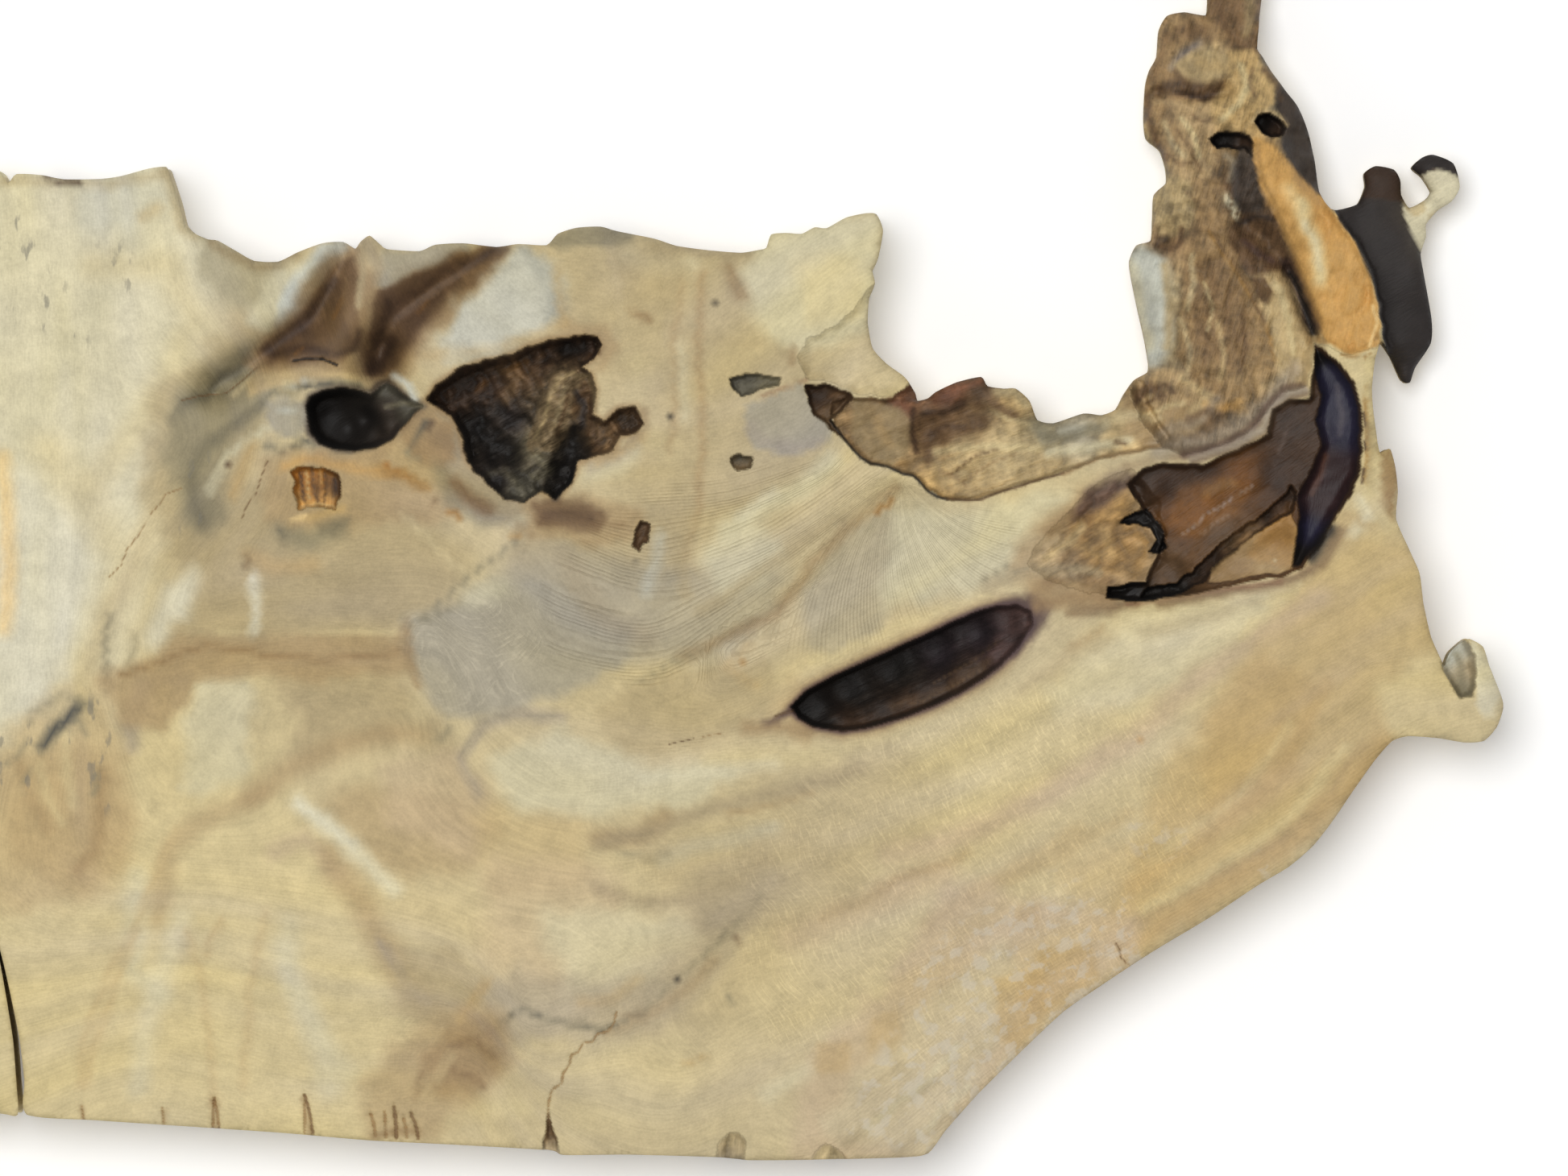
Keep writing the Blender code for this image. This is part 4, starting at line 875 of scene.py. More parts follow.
    stroke(Tone.SMOKE, 0.6, 8, (122, 960), (118, 985)),
    stroke(Tone.SMOKE, 0.7, 14, (102, 874), (84, 894), (66, 910), (52, 930)),
    stroke(Tone.BLUE_BLACK, 0.75, 9, (98, 876), (84, 894), (70, 906), (52, 926)),
    stroke(Tone.SMOKE, 0.5, 8, (98, 892), (106, 912)),
    stroke(Tone.SMOKE, 0.4, 8, (40, 900), (38, 885), (75, 862), (105, 868), (115, 880)),
    stroke(Tone.SMOKE, 0.45, 7, (32, 920), (22, 940), (8, 948)),
)

CENTRE_STAINS = (
    patch(Tone.TAUPE, 0.5, 50, (640, 300), (940, 320), (1000, 440), (1000, 560), (880, 640), (800, 620),
        (800, 470), (700, 400)),
    patch(Tone.IVORY, 0.85, 30, (955, 300), (1080, 275), (1075, 380), (1060, 400), (1000, 420),
        (960, 410), (935, 350)),
    patch(Tone.STRAW, 0.5, 24, (1000, 330), (1060, 330), (1060, 380), (1010, 400)),
    patch(Tone.BLUE_GREY, 0.9, 24, (575, 392), (610, 358), (650, 322), (672, 325), (695, 350), (690, 385),
        (640, 420), (590, 432), (560, 430)),
    stroke(Tone.TAN, 0.7, 12, (530, 440), (580, 436), (640, 425), (690, 405)),
    Stain(Tone.LIGHT_BROWN, 0.7, 9, CAVERN.rim, closed=True, ragged=3.0),
    stroke(Tone.CLAY, 0.7, 14, (700, 406), (748, 408), (760, 430), (745, 455)),
    stroke(Tone.UMBER, 0.6, 10, (800, 512), (804, 535), (780, 556), (745, 574)),
    stroke(Tone.VIOLET_GREY, 0.6, 14, (790, 552), (765, 572), (735, 582)),
    stroke(Tone.AMBER, 0.5, 12, (692, 335), (696, 380), (700, 400)),
    patch(Tone.SMOKE, 0.75, 12, (690, 300), (715, 286), (745, 284), (780, 293), (745, 302)),
    stroke(Tone.GREY_TAUPE, 0.6, 12, (850, 308), (880, 315), (930, 318)),
    stroke(Tone.IVORY, 0.5, 22, (780, 320), (820, 330), (860, 330)),
    stroke(Tone.GREY_TAUPE, 0.6, 22, (905, 326), (915, 364)),
    stroke(Tone.LIGHT_BROWN, 0.55, 13, (906, 335), (918, 366)),
    stroke(Tone.STRAW, 0.45, 26, (790, 450), (790, 520), (830, 560)),
    stroke(Tone.TAUPE, 0.5, 12, (800, 395), (850, 410), (900, 425), (960, 425), (980, 450)),
    stroke(Tone.LIGHT_BROWN, 0.45, 9, (985, 430), (980, 450)),
    stroke(Tone.CLAY, 0.7, 9, (872, 340), (868, 450), (872, 550), (866, 640), (850, 690)),
    stroke(Tone.CLAY, 0.5, 8, (848, 350), (836, 420), (838, 500), (832, 560)),
    patch(Tone.TAUPE, 0.6, 20, (770, 322), (830, 312), (850, 340), (830, 376), (780, 372)),
    stroke(Tone.LIGHT_BROWN, 0.5, 10, (786, 388), (806, 394)),
    stroke(Tone.IVORY, 0.45, 12, (845, 430), (848, 520)),
    patch(Tone.GREY, 0.85, 5, (926, 506), (962, 492), (994, 478), (1002, 500), (1032, 536), (1030, 545),
        (984, 563), (936, 556)),
    stroke(Tone.VIOLET_GREY, 0.6, 14, (934, 528), (944, 548), (984, 556), (1020, 548)),
    stroke(Tone.RED_BROWN, 0.35, 5, (945, 492), (975, 480), (1000, 472)),
    patch(Tone.GREY_TAUPE, 0.5, 24, (640, 660), (760, 650), (850, 640), (850, 720), (700, 740),
        (640, 700)),
    patch(Tone.GREY, 0.9, 22, (516, 782), (560, 762), (620, 722), (700, 740), (770, 780), (760, 820),
        (700, 850), (640, 870), (560, 885), (530, 840)),
    patch(Tone.GREY, 0.6, 40, (620, 720), (700, 700), (800, 720), (900, 730), (960, 720), (900, 800),
        (760, 800)),
    patch(Tone.VIOLET_GREY, 0.5, 16, (560, 580), (600, 604), (650, 630), (664, 620), (680, 628),
        (660, 650), (600, 640), (566, 612)),
    patch(Tone.GREY_TAUPE, 0.8, 10, (562, 578), (585, 590), (630, 628), (655, 632), (640, 645),
        (590, 625), (565, 605)),
    stroke(Tone.UMBER, 0.95, 16, (562, 598), (582, 622), (606, 634)),
    stroke(Tone.AMBER, 0.6, 20, (310, 690), (340, 705), (390, 700)),
    stroke(Tone.OCHRE, 0.7, 11, (478, 584), (504, 592), (528, 604)),
    stroke(Tone.DARK_BROWN, 0.5, 12, (578, 328), (604, 318), (624, 312)),
    stroke(Tone.IVORY, 0.5, 10, (635, 650), (655, 640)),
    patch(Tone.CLAY, 0.7, 14, (650, 622), (720, 618), (790, 640), (800, 655), (740, 672), (660, 660)),
    patch(Tone.UMBER, 0.95, 9, (662, 626), (690, 622), (720, 626), (748, 638), (742, 656), (700, 654),
        (668, 650)),
    stroke(Tone.BROWN, 0.95, 12, (674, 640), (700, 638), (735, 646)),
    patch(Tone.WHITE, 0.55, 24, (600, 352), (640, 334), (662, 350), (662, 400), (610, 420), (560, 430)),
    stroke(Tone.LIGHT_BROWN, 0.6, 7, (745, 646), (775, 650)),
    stroke(Tone.IVORY, 0.55, 16, (730, 592), (770, 582), (790, 560)),
    stroke(Tone.TAN, 0.6, 9, (742, 575), (770, 562), (800, 545)),
    stroke(Tone.LIGHT_BROWN, 0.4, 12, (640, 655), (660, 668)),
    stroke(Tone.BLUE_WHITE, 0.5, 14, (820, 665), (815, 690), (800, 735)),
    stroke(Tone.TAUPE, 0.6, 16, (860, 640), (845, 700), (850, 740)),
    stroke(Tone.IVORY, 0.85, 24, (1030, 575), (990, 610), (940, 635), (905, 660)),
    patch(Tone.IVORY, 0.75, 22, (885, 690), (930, 660), (965, 680), (940, 720), (900, 730)),
    stroke(Tone.WHITE, 0.4, 14, (960, 615), (920, 640)),
    patch(Tone.GREY, 0.5, 24, (1005, 740), (1060, 660), (1100, 640), (1105, 720), (1080, 785),
        (1010, 800)),
    patch(Tone.IVORY, 0.8, 30, (1120, 640), (1200, 650), (1310, 620), (1290, 680), (1200, 720),
        (1110, 740)),
    stroke(Tone.LIGHT_BROWN, 0.55, 13, (1110, 605), (1060, 650), (1010, 700), (960, 765), (900, 790),
        (850, 815)),
    stroke(Tone.TAUPE, 0.6, 14, (1090, 620), (1000, 670), (930, 720), (870, 760)),
    stroke(Tone.SMOKE, 0.45, 7, (870, 808), (825, 830), (792, 848)),
    stroke(Tone.GREY_TAUPE, 0.45, 26, (700, 690), (740, 760), (800, 790)),
    stroke(Tone.IVORY, 0.6, 26, (580, 740), (620, 730)),
    stroke(Tone.SMOKE, 0.55, 5, (645, 668), (574, 722), (520, 772)),
    stroke(Tone.LIGHT_BROWN, 0.6, 11, (508, 778), (508, 810), (520, 850)),
    stroke(Tone.SMOKE, 0.45, 5, (570, 748), (530, 772), (508, 778)),
    stroke(Tone.TAUPE, 0.7, 26, (540, 900), (560, 960), (600, 1000)),
    patch(Tone.PINK_TAN, 0.5, 30, (480, 960), (560, 940), (600, 1000), (570, 1050), (500, 1020)),
    stroke(Tone.VIOLET_GREY, 0.6, 14, (700, 893), (640, 886), (600, 900), (570, 940), (590, 985)),
    stroke(Tone.SMOKE, 0.5, 9, (560, 905), (546, 915)),
    stroke(Tone.SMOKE, 0.35, 6, (690, 892), (640, 884), (600, 895), (575, 935)),
    patch(Tone.TAUPE, 0.65, 20, (750, 880), (820, 850), (950, 830), (960, 870), (930, 900), (850, 920),
        (780, 935)),
    stroke(Tone.AMBER, 0.35, 12, (930, 800), (900, 830), (940, 850)),
    patch(Tone.IVORY, 0.8, 26, (620, 950), (700, 920), (750, 940), (800, 960), (900, 960), (850, 990),
        (740, 1000), (650, 1000)),
    stroke(Tone.STRAW, 0.85, 20, (880, 945), (960, 940), (1040, 935), (1110, 915)),
    stroke(Tone.CREAM, 0.5, 16, (800, 965), (900, 960), (960, 950)),
    patch(Tone.TAN, 0.5, 30, (600, 1020), (720, 1020), (720, 1090), (620, 1100)),
    stroke(Tone.LIGHT_BROWN, 0.6, 20, (745, 1040), (790, 1040), (830, 1015)),
    stroke(Tone.GREY_TAUPE, 0.75, 17, (745, 1045), (800, 1035), (850, 1015), (920, 995), (1000, 975),
        (1070, 955)),
    stroke(Tone.LIGHT_BROWN, 0.4, 7, (905, 1010), (950, 1000), (1010, 985)),
    stroke(Tone.BLUE_WHITE, 0.5, 20, (825, 1066), (870, 1050), (920, 1042), (960, 1030)),
    stroke(Tone.SMOKE, 0.35, 7, (770, 1060), (808, 1065), (830, 1058)),
    stroke(Tone.GREY_TAUPE, 0.7, 17, (742, 1105), (790, 1122), (850, 1118), (910, 1098), (950, 1070)),
    patch(Tone.GREY_TAUPE, 0.5, 22, (860, 1100), (940, 1060), (970, 1090), (920, 1150), (870, 1140)),
    patch(Tone.PINK_TAN, 0.45, 40, (620, 1090), (740, 1090), (760, 1150), (700, 1210), (620, 1190)),
    patch(Tone.IVORY, 0.65, 34, (680, 1150), (780, 1150), (850, 1160), (800, 1210), (720, 1220)),
    patch(Tone.VIOLET_GREY, 0.42, 30, (600, 1240), (650, 1222), (740, 1236), (800, 1225), (860, 1185),
        (900, 1140), (950, 1100), (940, 1130), (890, 1190), (850, 1235), (800, 1275), (740, 1290),
        (660, 1272), (620, 1280)),
    stroke(Tone.AMBER, 0.5, 13, (790, 1215), (762, 1240), (720, 1245)),
    stroke(Tone.LIGHT_BROWN, 0.5, 13, (755, 1282), (800, 1262), (850, 1232), (885, 1192)),
    stroke(Tone.SMOKE, 0.6, 8, (622, 1272), (641, 1256), (660, 1256), (703, 1270), (746, 1278),
        (796, 1258), (839, 1218), (882, 1176), (920, 1144), (945, 1114)),
    stroke(Tone.CHARCOAL, 0.5, 4, (628, 1266), (645, 1256), (668, 1258)),
    stroke(Tone.CHARCOAL, 0.4, 4, (712, 1272), (746, 1279), (780, 1268)),
    stroke(Tone.CHARCOAL, 0.4, 4, (862, 1196), (890, 1168), (926, 1138)),
    stroke(Tone.BROWN, 0.4, 7, (775, 1262), (795, 1258)),
    patch(Tone.TAUPE, 0.7, 24, (500, 1200), (560, 1190), (600, 1230), (560, 1260), (500, 1250)),
    patch(Tone.CLAY, 0.55, 34, (470, 1350), (500, 1310), (560, 1260), (610, 1270), (620, 1310),
        (580, 1370), (530, 1395), (468, 1400)),
    stroke(Tone.CREAM, 0.5, 26, (170, 1350), (190, 1240), (226, 1140)),
    stroke(Tone.TAN, 0.55, 11, (219, 1032), (175, 1130), (140, 1230), (104, 1350)),
    stroke(Tone.TAN, 0.45, 10, (232, 1158), (254, 1230), (266, 1364)),
    stroke(Tone.CREAM, 0.45, 28, (350, 1180), (380, 1260), (410, 1350)),
    stroke(Tone.TAN, 0.45, 11, (330, 1130), (310, 1230), (300, 1350)),
    patch(Tone.LIGHT_BROWN, 0.6, 26, (540, 1315), (575, 1280), (612, 1284), (614, 1316), (580, 1345),
        (545, 1345)),
    stroke(Tone.UMBER, 0.6, 9, (566, 1296), (590, 1290), (610, 1310)),
    stroke(Tone.UMBER, 0.5, 8, (560, 1330), (585, 1336), (600, 1350)),
    stroke(Tone.UMBER, 0.4, 7, (525, 1330), (516, 1360)),
    stroke(Tone.STRAW, 0.4, 9, (560, 1310), (540, 1340)),
    stroke(Tone.STRAW, 0.6, 20, (560, 1390), (610, 1372), (650, 1380)),
    stroke(Tone.AMBER, 0.6, 12, (575, 1262), (590, 1235), (605, 1222)),
)

LOWER_RIGHT_STAINS = (
    patch(Tone.STRAW, 0.6, 50, (1130, 900), (1260, 860), (1420, 770), (1600, 730), (1500, 800),
        (1380, 880), (1200, 980), (1130, 990)),
    patch(Tone.CREAM, 0.45, 34, (1400, 790), (1560, 750), (1500, 800), (1400, 860), (1320, 860)),
    patch(Tone.GOLD, 0.8, 40, (1660, 650), (1740, 690), (1770, 800), (1860, 880), (1740, 900),
        (1640, 1000), (1500, 1120), (1380, 1180), (1450, 1000), (1560, 850)),
    patch(Tone.STRAW, 0.75, 26, (1770, 820), (1840, 800), (1866, 880), (1840, 915), (1740, 905),
        (1720, 860)),
    patch(Tone.CREAM, 0.8, 10, (1830, 802), (1848, 826), (1860, 866), (1852, 884), (1838, 876),
        (1834, 840)),
    patch(Tone.TAN, 0.7, 40, (1640, 740), (1690, 760), (1660, 860), (1600, 960), (1500, 1040),
        (1440, 1000), (1540, 850)),
    patch(Tone.AMBER, 0.5, 34, (1560, 830), (1620, 860), (1590, 980), (1510, 1000), (1510, 900)),
    stroke(Tone.PINK_TAN, 0.75, 26, (1640, 745), (1560, 790), (1480, 850), (1400, 920), (1300, 985),
        (1200, 1035), (1100, 1060)),
    stroke(Tone.PINK_TAN, 0.75, 34, (1170, 1080), (1080, 1120), (980, 1160)),
    stroke(Tone.LIGHT_BROWN, 0.35, 12, (1200, 1060), (1120, 1090), (1020, 1140)),
    stroke(Tone.AMBER, 0.35, 18, (1340, 1030), (1250, 1085), (1150, 1150)),
    stroke(Tone.TAN, 0.55, 15, (1400, 1010), (1300, 1070), (1200, 1110)),
    patch(Tone.TAUPE, 0.35, 40, (960, 980), (1100, 930), (1160, 980), (1120, 1050), (1000, 1070)),
    patch(Tone.TAUPE, 0.5, 50, (820, 1060), (920, 1050), (1040, 1070), (1060, 1110), (1000, 1140),
        (880, 1120)),
    patch(Tone.TAUPE, 0.4, 50, (740, 1240), (860, 1160), (960, 1150), (920, 1220), (830, 1290)),
    patch(Tone.AMBER, 0.3, 40, (1330, 1080), (1400, 1060), (1420, 1110), (1370, 1150)),
    stroke(Tone.AMBER, 0.75, 26, (1712, 925), (1664, 985), (1611, 1040), (1505, 1109), (1400, 1175)),
    stroke(Tone.STRAW, 0.6, 11, (1668, 930), (1625, 988), (1570, 1044), (1490, 1092), (1420, 1130)),
    stroke(Tone.CLAY, 0.45, 9, (1690, 925), (1648, 985), (1590, 1044), (1500, 1096), (1400, 1152)),
    stroke(Tone.AMBER, 0.55, 16, (1648, 850), (1611, 919), (1566, 987), (1482, 1055), (1400, 1105)),
    stroke(Tone.STRAW, 0.4, 9, (1600, 900), (1540, 985), (1450, 1050)),
    stroke(Tone.STRAW, 0.6, 12, (1610, 730), (1570, 760), (1540, 790)),
    stroke(Tone.GREY_TAUPE, 0.4, 15, (1560, 745), (1480, 770), (1420, 785)),
    stroke(Tone.TAUPE, 0.55, 14, (1380, 790), (1320, 820), (1270, 855)),
    stroke(Tone.LIGHT_BROWN, 0.4, 10, (1370, 780), (1330, 805)),
    patch(Tone.HONEY, 0.6, 40, (700, 1310), (900, 1290), (1000, 1240), (1120, 1200), (1000, 1300),
        (900, 1400), (700, 1410)),
    patch(Tone.STRAW, 0.45, 30, (720, 1310), (850, 1300), (840, 1380), (720, 1390)),
    stroke(Tone.AMBER, 0.5, 6, (852, 1322), (876, 1313)),
    stroke(Tone.SMOKE, 0.6, 5, (903, 1228), (906, 1245)),
    patch(Tone.PINK_TAN, 0.7, 30, (1180, 1110), (1320, 1140), (1400, 1150), (1390, 1195), (1250, 1300),
        (1150, 1420), (1000, 1430), (1010, 1330), (1120, 1220)),
    patch(Tone.IVORY, 0.35, 24, (1030, 1400), (1110, 1300), (1240, 1180), (1260, 1240), (1150, 1420)),
    patch(Tone.AMBER, 0.6, 12, (1292, 1185), (1350, 1182), (1360, 1210), (1300, 1250), (1270, 1250)),
    patch(Tone.AMBER, 0.6, 12, (1240, 1218), (1290, 1210), (1300, 1255), (1262, 1300), (1240, 1280)),
    patch(Tone.AMBER, 0.45, 12, (1020, 1300), (1050, 1298), (1048, 1322), (1018, 1328)),
    patch(Tone.AMBER, 0.35, 12, (1085, 1270), (1110, 1262), (1105, 1300), (1085, 1300)),
    patch(Tone.AMBER, 0.35, 9, (1262, 1130), (1290, 1128), (1285, 1150), (1258, 1150)),
    stroke(Tone.GREY_TAUPE, 0.6, 11, (1190, 1380), (1110, 1430)),
    stroke(Tone.GREY_TAUPE, 0.55, 10, (1160, 1340), (1050, 1420)),
    stroke(Tone.GREY_TAUPE, 0.45, 9, (1120, 1320), (1060, 1370)),
    stroke(Tone.IVORY, 0.5, 8, (1190, 1300), (1130, 1360), (1080, 1400)),
    stroke(Tone.IVORY, 0.45, 7, (1200, 1350), (1140, 1410)),
    stroke(Tone.IVORY, 0.5, 20, (950, 1360), (1000, 1330)),
    stroke(Tone.LIGHT_BROWN, 0.6, 12, (1030, 1432), (1045, 1440)),
)

SLOT_STAINS = (
    stroke(Tone.STRAW, 0.7, 12, (1010, 825), (1080, 795), (1160, 762), (1230, 742)),
    stroke(Tone.TAN, 0.55, 20, (985, 850), (960, 890), (1000, 915)),
    Stain(Tone.LIGHT_BROWN, 0.7, 17, SLOT.rim, closed=True, ragged=3.0),
    Stain(Tone.PURPLE_BROWN, 0.9, 8, SLOT.rim, closed=True, ragged=1.0),
    stroke(Tone.PURPLE_BROWN, 0.8, 9, (990, 878), (968, 890), (950, 897)),
    stroke(Tone.LIGHT_BROWN, 0.6, 16, (1000, 912), (960, 900), (930, 905)),
    patch(Tone.PURPLE_BROWN, 0.85, 14, (1250, 752), (1282, 742), (1300, 752), (1284, 785), (1262, 806)),
    patch(Tone.CLAY, 0.8, 24, (1290, 660), (1340, 618), (1400, 590), (1440, 640), (1430, 700),
        (1400, 742), (1310, 730), (1270, 705)),
    patch(Tone.LIGHT_BROWN, 0.75, 18, (1330, 650), (1370, 612), (1410, 600), (1440, 660), (1420, 720),
        (1350, 722), (1320, 690)),
    patch(Tone.OCHRE, 0.65, 20, (1330, 664), (1352, 634), (1394, 626), (1410, 660), (1404, 700),
        (1356, 704)),
    stroke(Tone.RUST, 0.3, 12, (1352, 640), (1342, 668)),
    stroke(Tone.UMBER, 0.6, 8, (1300, 722), (1345, 715), (1380, 722)),
    stroke(Tone.AMBER, 0.5, 9, (1292, 700), (1320, 672), (1345, 650)),
    stroke(Tone.LIGHT_BROWN, 0.85, 16, (1290, 752), (1330, 742), (1380, 742)),
    stroke(Tone.UMBER, 0.75, 12, (1330, 758), (1370, 756), (1410, 752)),
    stroke(Tone.LIGHT_BROWN, 0.7, 22, (1290, 735), (1330, 715), (1380, 735)),
    stroke(Tone.GREY_TAUPE, 0.6, 18, (1230, 725), (1280, 705), (1330, 712)),
    stroke(Tone.SMOKE, 0.5, 5, (1222, 720), (1232, 710), (1250, 703)),
    stroke(Tone.SMOKE, 0.4, 4, (1260, 712), (1275, 706)),
    patch(Tone.PURPLE_BROWN, 0.75, 14, (1335, 640), (1350, 615), (1385, 595), (1400, 590), (1395, 600),
        (1360, 625)),
    stroke(Tone.UMBER, 0.7, 11, (1400, 580), (1440, 566), (1480, 566), (1530, 550), (1565, 528)),
    stroke(Tone.GREY_TAUPE, 0.6, 16, (1420, 560), (1480, 552), (1540, 530)),
    stroke(Tone.UMBER, 0.7, 11, (1440, 750), (1500, 738), (1560, 728), (1610, 716), (1640, 700),
        (1665, 660)),
    stroke(Tone.RED_BROWN, 0.4, 6, (1400, 752), (1500, 734), (1590, 722)),
    stroke(Tone.STRAW, 0.9, 11, (1698, 450), (1700, 500), (1702, 550), (1700, 610)),
    stroke(Tone.OCHRE, 0.8, 5, (1694, 480), (1697, 520), (1696, 570), (1692, 596)),
    stroke(Tone.DARK_BROWN, 0.8, 2.6, (1693, 512), (1695, 530)),
    stroke(Tone.DARK_BROWN, 0.8, 2.6, (1693, 548), (1695, 560)),
    stroke(Tone.DARK_BROWN, 0.8, 3.4, (1692, 582), (1690, 598)),
    stroke(Tone.CREAM, 0.7, 14, (1690, 620), (1700, 640), (1680, 660)),
    stroke(Tone.TAN, 0.7, 8, (1668, 640), (1690, 650), (1710, 652)),
    patch(Tone.LIGHT_BROWN, 0.85, 6, (1716, 562), (1724, 560), (1733, 600), (1730, 640), (1720, 620)),
    patch(Tone.HONEY, 0.5, 14, (1250, 600), (1400, 566), (1470, 550), (1400, 590), (1300, 610)),
)

